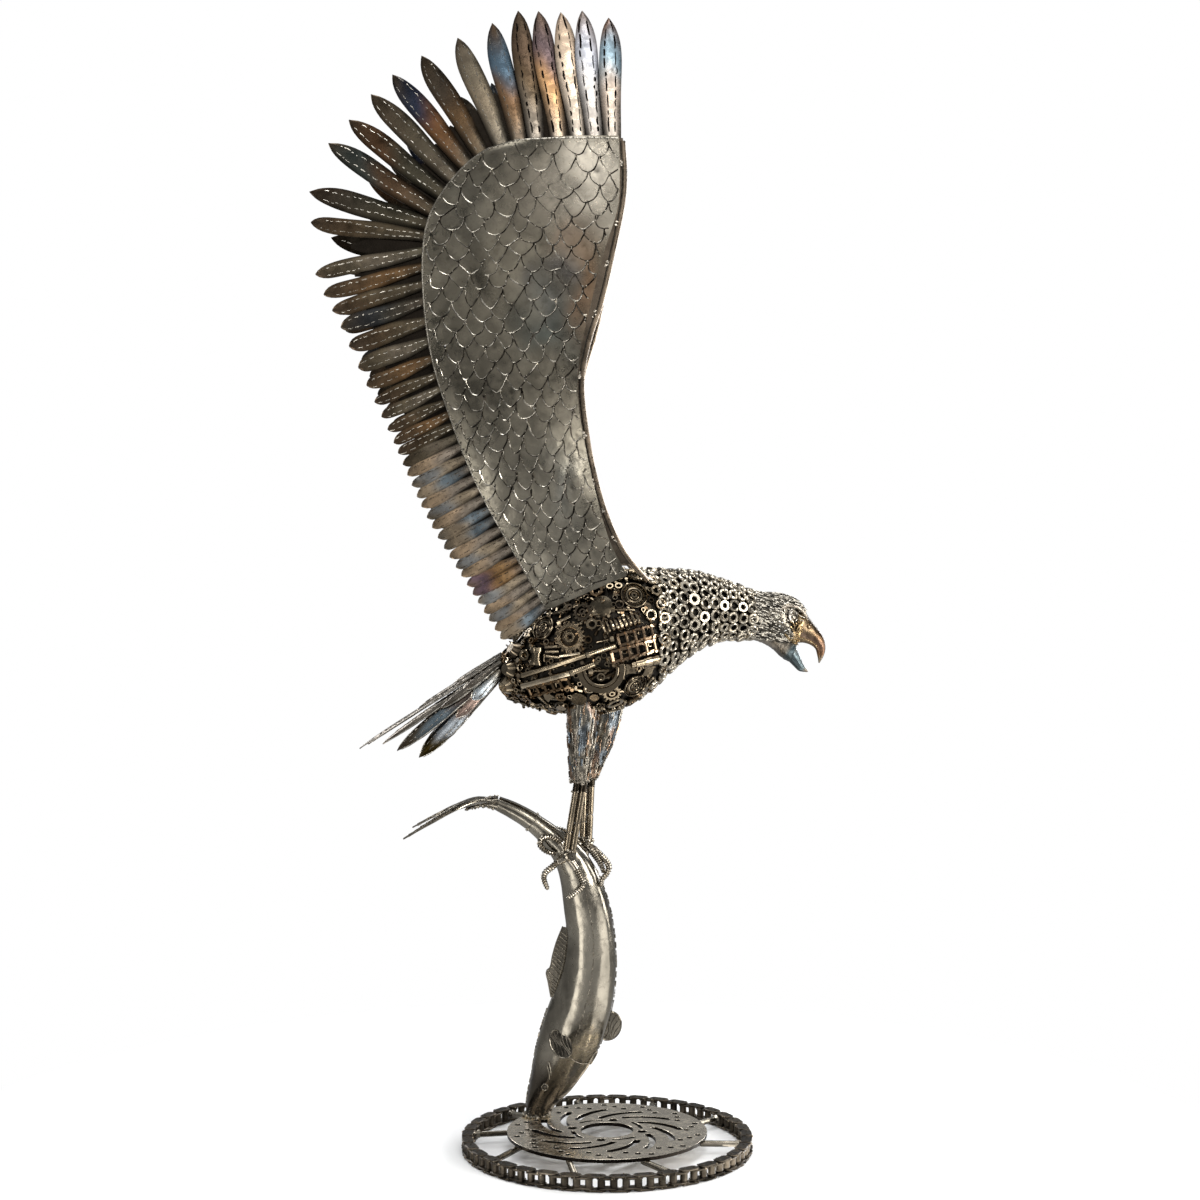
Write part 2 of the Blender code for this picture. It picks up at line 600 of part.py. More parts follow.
def feather_plane(base, angle, roll, side, distance):
    """Function that places outline points of a flat feather on one wing."""
    along = Vector((math.cos(angle), 0.0, math.sin(angle)))
    across = Vector((-math.sin(angle), 0.0, math.cos(angle)))
    out = Vector((0.0, side, 0.0))
    across = across * math.cos(roll) + out * math.sin(roll)
    normal = along.cross(across).normalized()

    def place(a, b, face):
        origin = Vector((base[0], side * distance, base[1]))
        point = origin + along * a + across * b + normal * (face - 0.5) * FEATHER_THICKNESS
        point.x, point.z = swing(side, point.x, point.z)
        return point
    return place


def blade_rim():
    """The free edge of the blade, from the leading corner round to the root."""
    rim = [LEADING_EDGE[-1], WING_TIP_EDGE, *reversed(TRAILING_EDGE)]
    return by_length(rim)


def primaries(side, suffix):
    """The long feathers round the wing tip, one object each."""
    rim, _ = blade_rim()
    for number, (distance, degrees, length) in enumerate(PRIMARIES, start=1):
        base = smooth(rim, distance)
        inside = wing_distance(base[1]) - BLADE_THICKNESS / 2 - FEATHER_INSET
        place = feather_plane(base, math.radians(degrees), FEATHER_ROLL, side, inside)
        bm = sheet(feather_outline(length, FEATHER_WIDTH), place)
        make_object(f"primary_feather_{number}_{suffix}", bm, "feather")


def trailing_base(height):
    """Point of the trailing edge at a height, below its corner."""
    rows = [(z, x) for x, z in TRAILING_EDGE[:8]]
    return Vector((smooth(rows, height)[0], height))


def trailing_outline():
    """Outline of the welded row of trailing feathers, in (x, z)."""
    feathers = []
    for k in range(TRAILING_FEATHERS):
        height, degrees, length = smooth(TRAILING_ROW, k)
        a = math.radians(degrees)
        feathers.append((trailing_base(height), Vector((math.cos(a), math.sin(a))), length))
    last = TRAILING_FEATHERS - 1
    taper, shoulder = TRAILING_NECK
    points = []
    for k, (base, along, length) in enumerate(feathers):
        before = feathers[max(k - 1, 0)]
        after = feathers[min(k + 1, last)]
        across = Vector((-along.y, along.x))
        steps = 2 if 0 < k < last else 1
        half = abs((before[0] - after[0]).dot(across)) / steps / 2
        if k == 0:
            points += [base + along * length * a - across * half * w for a, w in TRAILING_FIRST]
        points.append(base + along * length * taper - across * half * shoulder)
        points.append(base + along * length)
        points.append(base + along * length * taper + across * half * shoulder)
        if k == last:
            points.append(base + along * length / 2 + across * half)
        else:
            notch = TRAILING_NOTCHES_TOP[k] if k < len(TRAILING_NOTCHES_TOP) else TRAILING_NOTCH
            seam = (along + after[1]) / 2 * (length + after[2]) / 2
            points.append((base + after[0]) / 2 + seam * notch)
    inner = []
    for k in range(TRAILING_INNER + 1):
        base, along, _ = feathers[round(k * last / TRAILING_INNER)]
        inner.append(base - along * FEATHER_TUCK)
    return [(p.x, p.y) for p in points + inner[::-1]]


def trailing_row(side):
    """The row of trailing feathers, one sheet just inside the blade."""
    def place(a, b, face):
        inside = wing_distance(b) - BLADE_THICKNESS / 2 - 2 * GAP - face * TRAILING_THICKNESS
        x, z = swing(side, a, b)
        return Vector((x, side * inside, z))
    return sheet(trailing_outline(), place)


def wing(side, suffix):
    """Blade, leading-edge rod and feathers of one wing; side is -1 for the right one."""
    make_object(f"wing_blade_{suffix}", blade_mesh(side), "blade")
    make_object(f"leading_edge_rod_{suffix}", edge_rod(side), "rod")
    make_object(f"trailing_feathers_{suffix}", trailing_row(side), "feather")
    primaries(side, suffix)


# ---------------------------------------------------------------- tail
def tail_point(fold, distance, lift):
    """Point of the folded tail sheet: fold turns round its long axis, lift is outwards."""
    along = Vector((-math.cos(TAIL_SLOPE), 0.0, -math.sin(TAIL_SLOPE)))
    up = Vector((-math.sin(TAIL_SLOPE), 0.0, math.cos(TAIL_SLOPE)))
    across = Vector((0.0, 1.0, 0.0))
    out = across * math.sin(fold) + up * math.cos(fold)
    sideways = across * math.cos(fold) - up * math.sin(fold)
    flare = TAIL_FLARE + TAIL_SIDE_FLARE * math.sin(fold) ** 2
    run = along + out * flare + sideways * TAIL_FAN * fold
    radius = TAIL_ROOT_RADIUS + lift
    root = Vector((TAIL_ROOT[0], radius * math.sin(fold), TAIL_ROOT[1] + radius * math.cos(fold)))
    return root + run.normalized() * distance


def tail_fan(count, lengths, width, lift):
    """Closed bmesh of feathers welded side by side, split from TAIL_NOTCH outwards."""
    middle = (count - 1) / 2
    step = TAIL_FOLD / middle
    small = 0.001

    def length_of(k):
        k = min(max(k, 0), count - 1)
        return lengths[min(k, count - 1 - k)]

    def beside(fold, distance, share):
        """Point beside a feather's middle line, never past the seam with the next one."""
        step_out = tail_point(fold + small, distance, lift) - tail_point(fold, distance, lift)
        reach = min(width / 2 * small / step_out.length, step * TAIL_SEAM)
        return fold + reach * share, distance

    def place(fold, distance, face):
        here = tail_point(fold, distance, lift)
        along = tail_point(fold, distance + small, lift) - here
        across = tail_point(fold + small, distance, lift) - here
        return here + along.cross(across).normalized() * (face - 0.5) * TAIL_THICKNESS

    def root(fold):
        return fold, TAIL_ROOT_BOW * (1.0 - math.cos(fold))

    bm = bmesh.new()
    known = {}

    def vert(point, face):
        key = (*(round(c, 6) for c in point), face)
        if key not in known:
            known[key] = bm.verts.new(place(*point, face))
        return known[key]

    for k in range(count):
        fold = (k - middle) * step
        length = length_of(k)
        sides = (fold - step / 2, fold + step / 2)
        notches = [min(length, length_of(n)) * TAIL_NOTCH for n in (k - 1, k + 1)]
        left = [beside(fold, length * a, -w) for a, w in TAIL_SHAPE]
        right = [beside(fold, length * a, w) for a, w in reversed(TAIL_SHAPE)]
        outline = [root(sides[0]), (sides[0], notches[0]), *left, (fold, length), *right,
                   (sides[1], notches[1]), root(sides[1]), root(fold)]
        seams = []                      # sides shared with the next feather, left open here
        if k > 0:
            seams.append(0)
        if k < count - 1:
            seams.append(7)
        for face in (0, 1):
            bm.faces.new([vert(p, face) for p in outline])
        for i, p in enumerate(outline):
            if i in seams:
                continue
            q = outline[(i + 1) % len(outline)]
            bm.faces.new([vert(p, 0), vert(q, 0), vert(q, 1), vert(p, 1)])
    return bm


def tail():
    """Fan of long feathers, and the shorter coverts lying over its root."""
    fans = (("tail_feathers", TAIL_FEATHERS, TAIL_LENGTHS, TAIL_WIDTH, 0.0),
            ("tail_coverts", COVERTS, COVERT_LENGTHS, COVERT_WIDTH, COVERT_LIFT))
    for name, count, lengths, width, lift in fans:
        make_object(name, tail_fan(count, lengths, width, lift), "tail")


# ---------------------------------------------------------------- fish
def fish_mesh(grow=0.0):
    """Loft of the fish; its mouth is cut flat on the disc."""
    numbered = [(i, *row) for i, row in enumerate(FISH)]
    last = FISH_SECTIONS - 1
    rows = [smooth(numbered, k * (len(FISH) - 1) / last) for k in range(last + 1)]
    middles = [Vector(row[:3]) for row in rows]
    rings = []
    for k, (_, _, _, half, squash) in enumerate(rows):
        tangent = (middles[min(k + 1, last)] - middles[max(k - 1, 0)]).normalized()
        if k == 0:
            tangent = Vector((0.0, 0.0, 1.0))
        deep = Vector((0.0, 1.0, 0.0)).cross(tangent).normalized()
        wide = tangent.cross(deep).normalized()
        deep *= half + grow
        wide *= half * squash + grow
        rings.append([middles[k] + deep * math.cos(a) + wide * math.sin(a)
                      for a in circle(FISH_SIDES)])
    return loft(rings)


def dorsal_fin():
    """Closed bmesh of the upright fin along the fish's back."""
    rows = [(z, y) for _, y, z, _, _ in FISH[:10]]

    def place(a, b, face):
        return Vector((a, smooth(rows, b)[0] + (face - 0.5) * FIN_THICKNESS, b))
    return sheet(DORSAL_FIN, place)


def pectoral_fin(centre, long_axis, short_axis):
    """Closed bmesh of an oval plate."""
    centre = Vector(centre)
    long_axis = Vector(long_axis)
    short_axis = Vector(short_axis)
    normal = long_axis.cross(short_axis).normalized() * FIN_THICKNESS

    def place(a, b, face):
        return centre + long_axis * a + short_axis * b + normal * (face - 0.5)
    return sheet([(math.cos(a), math.sin(a)) for a in circle(PECTORAL_SIDES)], place)


def tail_fin():
    """Closed bmesh of the forked tail fin, curved down along its length."""
    outline = list(TAIL_FIN_LOBE) + [(a, -b) for a, b in reversed(TAIL_FIN_LOBE[:-1])]
    root = FISH[-1][0] - 3 * GAP

    def place(a, b, face):
        z = smooth(TAIL_FIN_HEIGHT, a)[0] - TAIL_FIN_DROOP * b * b
        return Vector((root - TAIL_FIN_SHORTER * a, b, z + (face - 0.5) * FIN_THICKNESS))
    return sheet(outline, place)


def fish():
    """The fish and its four fins; the three on its sides are cut to fit its skin."""
    make_object("fish_body", fish_mesh(), "fish")
    make_object("fish_tail_fin", tail_fin(), "fish")
    for name, bm in (("fish_dorsal_fin", dorsal_fin()),
                     ("fish_pectoral_fin_right", pectoral_fin(*NEAR_PECTORAL)),
                     ("fish_pectoral_fin_left", pectoral_fin(*FAR_PECTORAL))):
        fin = make_object(name, bm, "fish")
        combine(name, fin, [helper(fish_mesh(GAP))], "DIFFERENCE")


# ---------------------------------------------------------------- legs
def thigh(name, rows):
    """Tapered thigh, cut to fit the underside of the body."""
    numbered = [(i, *row) for i, row in enumerate(rows)]
    last = THIGH_SECTIONS - 1
    rings = []
    for k in range(THIGH_SECTIONS):
        x, y, z, deep, wide = smooth(numbered, k * (len(rows) - 1) / last)
        rings.append([Vector((x + deep * math.cos(a), y + wide * math.sin(a), z))
                      for a in circle(THIGH_SIDES)])
    leg = make_object(name, loft(rings), "thigh")
    combine(name, leg, [helper(body_mesh(GAP))], "DIFFERENCE")


def shank_rods(ends, grow=0.0):
    """The two rods of a shank, side by side."""
    top, bottom = (Vector(p) for p in ends)
    end = (bottom - top).normalized() * grow
    shift = Vector((SHANK_ROD * 0.94, 0.0, 0.0))        # they are welded along their length
    return [tube([top + shift * s, bottom + shift * s + end], SHANK_ROD + grow, SHANK_SIDES,
                 math.pi / SHANK_SIDES / 3)
            for s in (-1, 1)]


def shank(name, ends):
    first, second = shank_rods(ends)
    base = make_object(name, first, "shank")
    combine(name, base, [helper(second)], "UNION")


def foot(name, top, ankle, toes, shank_ends):
    """Knuckle under the shank, with toes of bent rod welded to it."""
    top = Vector(top)
    ankle = Vector(ankle)
    below = ankle + (ankle - top).normalized() * KNUCKLE_RADIUS * 0.7
    radii = [KNUCKLE_RADIUS, KNUCKLE_RADIUS, KNUCKLE_RADIUS / 2]
    base = make_object(name, tube([top, ankle, below], radii, KNUCKLE_SIDES), "foot")
    shares = [i / TOE_STEPS for i in range(TOE_STEPS + 1)]
    radii = [TOE_RADIUS * (1.0 - TOE_TAPER * t ** 3) for t in shares]
    rods = []
    for toe in toes:
        rows, length = by_length([tuple(ankle), *toe])
        points = [smooth(rows, length * t) for t in shares]
        rods.append(helper(tube(points, radii, TOE_SIDES)))
    combine(name, base, rods, "UNION")
    cutters = [helper(bm) for bm in (fish_mesh(GAP), *shank_rods(shank_ends, GAP))]
    combine(name, base, cutters, "DIFFERENCE")


def legs():
    """Thighs, shanks and feet of the eagle."""
    thigh("thigh_right", RIGHT_THIGH)
    thigh("thigh_left", LEFT_THIGH)
    shank("shank_right", RIGHT_SHANK)
    shank("shank_left", LEFT_SHANK)
    foot("foot_right", RIGHT_KNUCKLE, RIGHT_ANKLE, RIGHT_TOES, RIGHT_SHANK)
    foot("foot_left", LEFT_KNUCKLE, LEFT_ANKLE, LEFT_TOES, LEFT_SHANK)


# ---------------------------------------------------------------- whole object
def centre_length():
    """Slide the whole object along X, so that the origin is halfway along it."""
    meshes = [obj.data for obj in bpy.data.objects]
    ends = [v.co.x for mesh in meshes for v in mesh.vertices]
    slide = -(min(ends) + max(ends)) / 2
    for mesh in meshes:
        for v in mesh.vertices:
            v.co.x += slide


def main():
    for obj in list(bpy.data.objects):
        bpy.data.objects.remove(obj)
    chain_ring()
    brake_disc()
    spokes()
    fish()
    legs()
    body_and_head()
    tail()
    wing(-1, "right")
    wing(1, "left")
    centre_length()


main()
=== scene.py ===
"""Looks of the scrap metal eagle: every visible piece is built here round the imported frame.

All sizes are in metres, +Z is up and the eagle looks along +X.  The builders below work in
the design frame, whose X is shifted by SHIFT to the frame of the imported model.
"""

import math
import random

import bmesh
import bpy
import numpy as np
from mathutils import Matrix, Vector, noise
from mathutils.geometry import tessellate_polygon


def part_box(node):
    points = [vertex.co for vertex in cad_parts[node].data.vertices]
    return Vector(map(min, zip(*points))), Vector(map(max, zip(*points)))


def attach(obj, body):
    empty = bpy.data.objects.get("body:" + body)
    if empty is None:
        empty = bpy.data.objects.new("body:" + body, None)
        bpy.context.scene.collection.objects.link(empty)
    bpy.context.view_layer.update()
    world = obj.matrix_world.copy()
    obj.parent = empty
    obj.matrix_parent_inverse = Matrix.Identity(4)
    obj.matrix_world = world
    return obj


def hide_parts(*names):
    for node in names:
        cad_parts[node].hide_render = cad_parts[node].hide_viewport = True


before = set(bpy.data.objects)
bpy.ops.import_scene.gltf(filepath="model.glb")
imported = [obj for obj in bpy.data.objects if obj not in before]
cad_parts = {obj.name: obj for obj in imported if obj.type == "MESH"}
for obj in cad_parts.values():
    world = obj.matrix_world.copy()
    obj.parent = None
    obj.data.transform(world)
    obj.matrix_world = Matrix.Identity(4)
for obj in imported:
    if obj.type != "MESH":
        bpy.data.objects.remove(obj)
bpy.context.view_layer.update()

# ---------------------------------------------------------------- sizes shared with the solids
GAP = 0.0003
RING_X = 0.035
CHAIN_LINKS = 76
CHAIN_PITCH = 0.0127
CHAIN_HEIGHT = 0.017
RING_RADIUS = CHAIN_LINKS * CHAIN_PITCH / (2 * math.pi)
DISC_RADIUS = 0.110
DISC_THICKNESS = 0.004
DISC_TOP = 0.0195
DISC_BORE = 0.029
SPOKES = ((31, 24), (68, 62), (104, 98), (140, 133), (176, 168), (216, 199), (257, 245),
          (297, 293), (350, 346))
SPOKE_RADIUS = 0.004
SPOKE_INNER = 0.096

TRAILING_EDGE = ((-0.030, 0.592), (-0.065, 0.653), (-0.104, 0.726), (-0.136, 0.810),
                 (-0.151, 0.865), (-0.158, 0.925), (-0.1575, 0.975), (-0.149, 1.009),
                 (-0.124, 1.046), (-0.095, 1.0705), (-0.060, 1.0825))
LEADING_EDGE = ((0.056, 0.629), (0.037, 0.667), (0.022, 0.720), (0.0075, 0.789),
                (0.004, 0.832), (0.010, 0.877), (0.032, 0.966), (0.046, 1.012),
                (0.0480, 1.050), (0.0470, 1.0865))
WING_TIP_EDGE = (-0.020, 1.0860)
WING_ROOT_Z = 0.600
WING_ROOT_Y = 0.063
WING_TIP_Y = 0.112
WING_LEVEL_Z = 0.915
BLADE_THICKNESS = 0.002
BLADE_CAMBER = 0.007
BLADE_FLAT_ROOT = 0.25
LEFT_WING_BACK = math.radians(1.2)
SHOULDER = (0.015, 0.605)
EDGE_ROD = ((0.078, 0.6235), (0.066, 0.6365), (0.0525, 0.654), (0.042, 0.674), (0.0312, 0.701),
            (0.0226, 0.731), (0.0148, 0.770), (0.0085, 0.829), (0.0155, 0.872), (0.0283, 0.912),
            (0.0396, 0.960), (0.0510, 1.015), (0.0532, 1.045), (0.0512, 1.081))
EDGE_ROD_RADIUS = 0.0026
PRIMARIES = ((0.007, 91.5, 0.124), (0.0255, 95.5, 0.132), (0.0425, 98.0, 0.131),
             (0.063, 99.2, 0.133), (0.0865, 98.2, 0.134), (0.104, 103.3, 0.125),
             (0.1225, 112.9, 0.120), (0.1455, 122.0, 0.119), (0.1655, 129.6, 0.121),
             (0.185, 134.6, 0.122), (0.205, 141.6, 0.123), (0.2255, 147.0, 0.128),
             (0.2405, 164.8, 0.1265))
FEATHER_WIDTH = 0.0240
FEATHER_ROLL = math.radians(8)
FEATHER_TUCK = 0.006
FEATHER_INSET = 0.0026
TRAILING_FEATHERS = 32
TRAILING_ROW = ((0, 0.9830, 173.5, 0.119), (1, 0.967, 192.0, 0.114), (4, 0.914, 197.0, 0.090),
                (7, 0.854, 202.0, 0.073), (10, 0.8095, 206.0, 0.0655), (13, 0.774, 207.0, 0.063),
                (21, 0.688, 209.5, 0.0610), (26, 0.6375, 208.5, 0.059), (31, 0.596, 216.0, 0.058))

# Sections of the body: x, lowest and highest z, half width, squareness.
BODY = ((-0.083, 0.5020, 0.5370, 0.020, 2.2), (-0.070, 0.4935, 0.5560, 0.034, 2.3),
        (-0.045, 0.4860, 0.5830, 0.052, 2.5), (-0.010, 0.4800, 0.6130, 0.067, 2.7),
        (0.030, 0.4790, 0.6320, 0.073, 2.8), (0.060, 0.4890, 0.6370, 0.070, 2.7),
        (0.085, 0.5060, 0.6370, 0.061, 2.5), (0.110, 0.5290, 0.6360, 0.051, 2.3),
        (0.135, 0.5480, 0.6335, 0.042, 2.2), (0.160, 0.5585, 0.6260, 0.0345, 2.1),
        (0.191, 0.5595, 0.6150, 0.0280, 2.0))

ring_low, ring_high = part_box("base_chain_ring")
SHIFT = (ring_low.x + ring_high.x) / 2 - RING_X
NEAR = -1                       # the right side, which faces the camera
FAR = 1
SIDES = ((NEAR, "right"), (FAR, "left"))
UP = (0, 0, 1)


# ---------------------------------------------------------------- curves and colours
def slope(rows, i, c):
    """Slope of column c at row i, from its two neighbours."""
    a = max(i - 1, 0)
    b = min(i + 1, len(rows) - 1)
    return (rows[b][c] - rows[a][c]) / (rows[b][0] - rows[a][0])


def smooth(rows, t):
    """Values at t of a smooth curve through rows of (t, value, value, ...)."""
    if t <= rows[0][0]:
        return list(rows[0][1:])
    if t >= rows[-1][0]:
        return list(rows[-1][1:])
    i = max(k for k in range(len(rows) - 1) if rows[k][0] <= t)
    step = rows[i + 1][0] - rows[i][0]
    s = (t - rows[i][0]) / step
    values = []
    for c in range(1, len(rows[0])):
        a = rows[i][c]
        b = rows[i + 1][c]
        slope_a = slope(rows, i, c) * step
        slope_b = slope(rows, i + 1, c) * step
        values.append((2 * s ** 3 - 3 * s ** 2 + 1) * a + (s ** 3 - 2 * s ** 2 + s) * slope_a
                      + (3 * s ** 2 - 2 * s ** 3) * b + (s ** 3 - s ** 2) * slope_b)
    return values


def by_length(points):
    """Rows of (distance along, coordinates...) for smooth(), and the whole length."""
    rows = [(0.0, *points[0])]
    for a, b in zip(points, points[1:]):
        rows.append((rows[-1][0] + math.dist(a, b), *b))
    return rows, rows[-1][0]


def numbered(rows):
    """The rows, each with its number before its values."""
    return [(i, *row) for i, row in enumerate(rows)]


class Track:
    """A smooth curve, sampled finely once, that takes numpy arrays of t."""

    def __init__(self, rows, samples=400):
        self.t = np.linspace(rows[0][0], rows[-1][0], samples)
        self.values = np.array([smooth(rows, t) for t in self.t])

    def __call__(self, t):
        t = np.asarray(t, float)
        return np.stack([np.interp(t, self.t, column) for column in self.values.T], axis=-1)


def along(points, count):
    """count + 1 points evenly spaced on a smooth curve through points."""
    rows, length = by_length(points)
    return np.array([smooth(rows, length * i / count) for i in range(count + 1)])


def travelled(line):
    """Distance from the start of the line to each of its points."""
    return np.append(0.0, np.cumsum(np.linalg.norm(np.diff(line, axis=0), axis=1)))


def fade(t, low, high):
    """Smooth step from 0 at low to 1 at high."""
    s = np.clip((np.asarray(t, float) - low) / (high - low), 0.0, 1.0)
    return s * s * (3 - 2 * s)


def rumple(points, scale, seed=0.0):
    """Smooth noise from -1 to 1 at each point."""
    shift = Vector((seed * 7.3, seed * 3.1, -seed * 5.7))
    return np.array([noise.noise(Vector(p) * scale + shift) for p in points])


def unit(vectors):
    """The vector, or each row, scaled to length 1."""
    vectors = np.asarray(vectors, float)
    return vectors / np.linalg.norm(vectors, axis=-1, keepdims=True)


def turns(count):
    """Angles of the corners of a regular polygon."""
    return 2 * np.pi * np.arange(count) / count


def mixed(a, b, share):
    """a where share is 0, b where it is 1; share is a number or has a value for each point."""
    share = np.asarray(share, float)
    if share.ndim:
        share = share[:, None]
    return np.asarray(a) * (1 - share) + np.asarray(b) * share


def glow(point, middle, wide, high):
    """1 at the middle, given as (x, z), falling off smoothly round it."""
    return np.exp(-((point[..., 0] - middle[0]) / wide) ** 2
                  - ((point[..., 2] - middle[1]) / high) ** 2)


# ---------------------------------------------------------------- mesh building
def placed(name, data):
    """New object in the scene."""
    obj = bpy.data.objects.new(name, data)
    bpy.context.scene.collection.objects.link(obj)
    return obj


def shifted(faces, count):
    """Faces of points that come after count others."""
    return np.where(faces >= 0, faces + count, -1)


class Build:
    """Collects shapes into one mesh.  A shape is (points, faces); faces have 4 columns, and
    a triangle has -1 in the last one."""

    def __init__(self):
        self.points = []
        self.faces = []
        self.slots = []
        self.tones = []
        self.count = 0

    def add(self, shape, tone, slot=0):
        """Adds a shape in one tone or with a tone for each point; slot is its material."""
        points, faces = shape
        self.points.append(np.asarray(points, float))
        self.faces.append(shifted(faces, self.count))
        self.slots.append(np.full(len(faces), slot))
        self.tones.append(np.broadcast_to(tone, (len(points), 3)))
        self.count += len(points)

    def finish(self, name, metals, slot, *replaces, sharp=35):
        """Makes the piece: metals names its materials, slot is not used, replaces the solids it stands
        for, and edges over sharp degrees stay sharp."""
        points = np.concatenate(self.points)
        points[:, 0] += SHIFT
        faces = np.concatenate(self.faces)
        used = faces >= 0
        starts = np.append(0, np.cumsum(used.sum(1))[:-1])
        mesh = bpy.data.meshes.new(name)
        mesh.vertices.add(len(points))
        mesh.vertices.foreach_set("co", points.astype(np.float32).ravel())
        mesh.loops.add(int(used.sum()))
        mesh.loops.foreach_set("vertex_index", faces[used].astype(np.int32))
        mesh.polygons.add(len(faces))
        mesh.polygons.foreach_set("loop_start", starts.astype(np.int32))
        mesh.polygons.foreach_set("material_index", np.concatenate(self.slots).astype(np.int32))
        mesh.update(calc_edges=True)
        tones = np.clip(np.concatenate(self.tones), 0.0, 1.0)
        tones = np.column_stack([tones, np.ones(len(tones))]).astype(np.float32)
        mesh.attributes.new("tone", "FLOAT_COLOR", "POINT").data.foreach_set("color",
                                                                             tones.ravel())
        for key in metals.split():
            mesh.materials.append(METALS[key])
        bm = bmesh.new()
        bm.from_mesh(mesh)
        bmesh.ops.recalc_face_normals(bm, faces=bm.faces)
        bm.to_mesh(mesh)
        bm.free()
        mesh.shade_smooth()
        mesh.set_sharp_from_angle(angle=math.radians(sharp))
        obj = placed(name, mesh)
        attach(obj, "root")
        if replaces:
            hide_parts(*replaces)


def grid_faces(rows, columns, wrap=False):
    """Quads of a grid of points stored row by row; wrap joins its last column to its first."""
    i, j = np.meshgrid(np.arange(rows - 1), np.arange(columns if wrap else columns - 1),
                       indexing="ij")
    after = (j + 1) % columns
    return np.stack([i * columns + j, i * columns + after,
                     (i + 1) * columns + after, (i + 1) * columns + j], axis=-1).reshape(-1, 4)


def band_faces(size, start=0, step=None):
    """Quads between a closed row of points and the row that comes step points after it."""
    step = step or size
    a = start + np.arange(size)
    b = start + (np.arange(size) + 1) % size
    return np.column_stack([a, b, b + step, a + step])


def filled(loops):
    """Triangles inside flat loops of (a, b) points; loops after the first are holes."""
    corners = tessellate_polygon([[Vector((a, b, 0.0)) for a, b in loop] for loop in loops])
    return np.column_stack([corners, np.full(len(corners), -1)])


def join(*shapes):
    """One shape from several."""
    starts = np.cumsum([0] + [len(points) for points, _ in shapes])
    return (np.concatenate([points for points, _ in shapes]),
            np.concatenate([shifted(shape[1], start) for shape, start in zip(shapes, starts)]))


def fan(start, count, middle, flip=False):
    """Triangles from a ring of points to its middle point."""
    a = start + np.arange(count)
    b = start + (np.arange(count) + 1) % count
    c = np.full(count, middle)
    columns = (b, a, c) if flip else (a, b, c)
    return np.column_stack([*columns, np.full(count, -1)])


def skin(rings):
    """Closed shape through rings of points, with a fan of triangles at each end."""
    rings = np.asarray(rings, float)
    rows, columns = rings.shape[:2]
    total = rows * columns
    points = np.concatenate([rings.reshape(-1, 3), rings[:1].mean(1), rings[-1:].mean(1)])
    return points, np.concatenate([grid_faces(rows, columns, wrap=True),
                                   fan(0, columns, total, flip=True),
                                   fan(total - columns, columns, total + 1)])


def capped(tones, sides=1):
    """Tones for skin() or tube(): each for as many sides, then those of the two end points."""
    tones = np.repeat(tones, sides, axis=0)
    return np.concatenate([tones, tones[:1], tones[-1:]])


def tube(points, radius, sides=8, turn=0.0):
    """Rod along points.  radius is a number or has a value for each point."""
    points = np.asarray(points, float)
    radius = np.broadcast_to(radius, len(points))
    tangents = unit(np.gradient(points, axis=0))
    side = np.cross(tangents[0], UP if abs(tangents[0][2]) < 0.9 else (1, 0, 0))
    angles = turn + turns(sides)
    rings = []
    for point, tangent, reach in zip(points, tangents, radius):
        side = unit(side - tangent * side.dot(tangent))
        up = np.cross(tangent, side)
        rings.append(point + reach * (np.outer(np.cos(angles), side)
                                      + np.outer(np.sin(angles), up)))
    return skin(rings)


def lathe(profile, sides=16, ring=False, corners=None):
    """Solid turned about Z from (radius, height) points, bottom to top; ring closes the
    profile on itself.  corners makes the outside a polygon of that many corners where the
    profile's third value is 1."""
    angles = turns(sides)
    rings = []
    for row in profile:
        radius = row[0]
        if corners and len(row) > 2:
            half = math.pi / corners
            radius = row[0] * math.cos(half) / np.cos((angles + half) % (2 * half) - half)
        rings.append(np.column_stack([radius * np.cos(angles), radius * np.sin(angles),
                                      np.full(sides, row[1])]))
    if not ring:
        return skin(rings)
    count = len(rings) * sides
    faces = grid_faces(len(rings) + 1, sides, wrap=True)
    return np.concatenate(rings), np.where(faces >= count, faces - count, faces)


def facing(normal, lean=(1, 0, 0), spin=0.0):
    """Rotation whose Z is the normal and whose X is as near to lean as it can be."""
    z = unit(normal)
    x = lean - z * np.dot(lean, z)
    if np.linalg.norm(x) < 1e-6:
        x = np.cross(z, (0, 1, 0))
    x = unit(x)
    y = np.cross(z, x)
    c, s = math.cos(spin), math.sin(spin)
    return np.column_stack([x * c + y * s, y * c - x * s, z])


def put(shape, place, rotation=None, scale=1.0):
    """The shape scaled, turned and moved."""
    points, faces = shape
    points = np.asarray(points, float) * scale
    if rotation is not None:
        points = points @ rotation.T
    return points + np.asarray(place, float), faces


def bead(radius, height, sides=6):
    """Low dome of weld metal standing on z = 0, sunk a little into what it is on."""
    return lathe(((radius * 0.9, -height * 0.6), (radius, 0.1 * height),
                  (radius * 0.55, height)), sides)


def drop(build, place, normal, size, tone, sides=6, height=1.0, slot=1):
    """A drop of weld metal on a surface; height is a share of its size."""
    build.add(put(bead(size, size * height, sides), place, facing(normal)), tone, slot)


def weld(points, radius, seed, sides=5, lumps=0.35):
    """A weld run: a rod of uneven thickness along points."""
    rng = np.random.default_rng(seed)
    radii = radius * (1.0 + lumps * rng.uniform(-1.0, 1.0, len(points)))
    return tube(points, radii, sides)


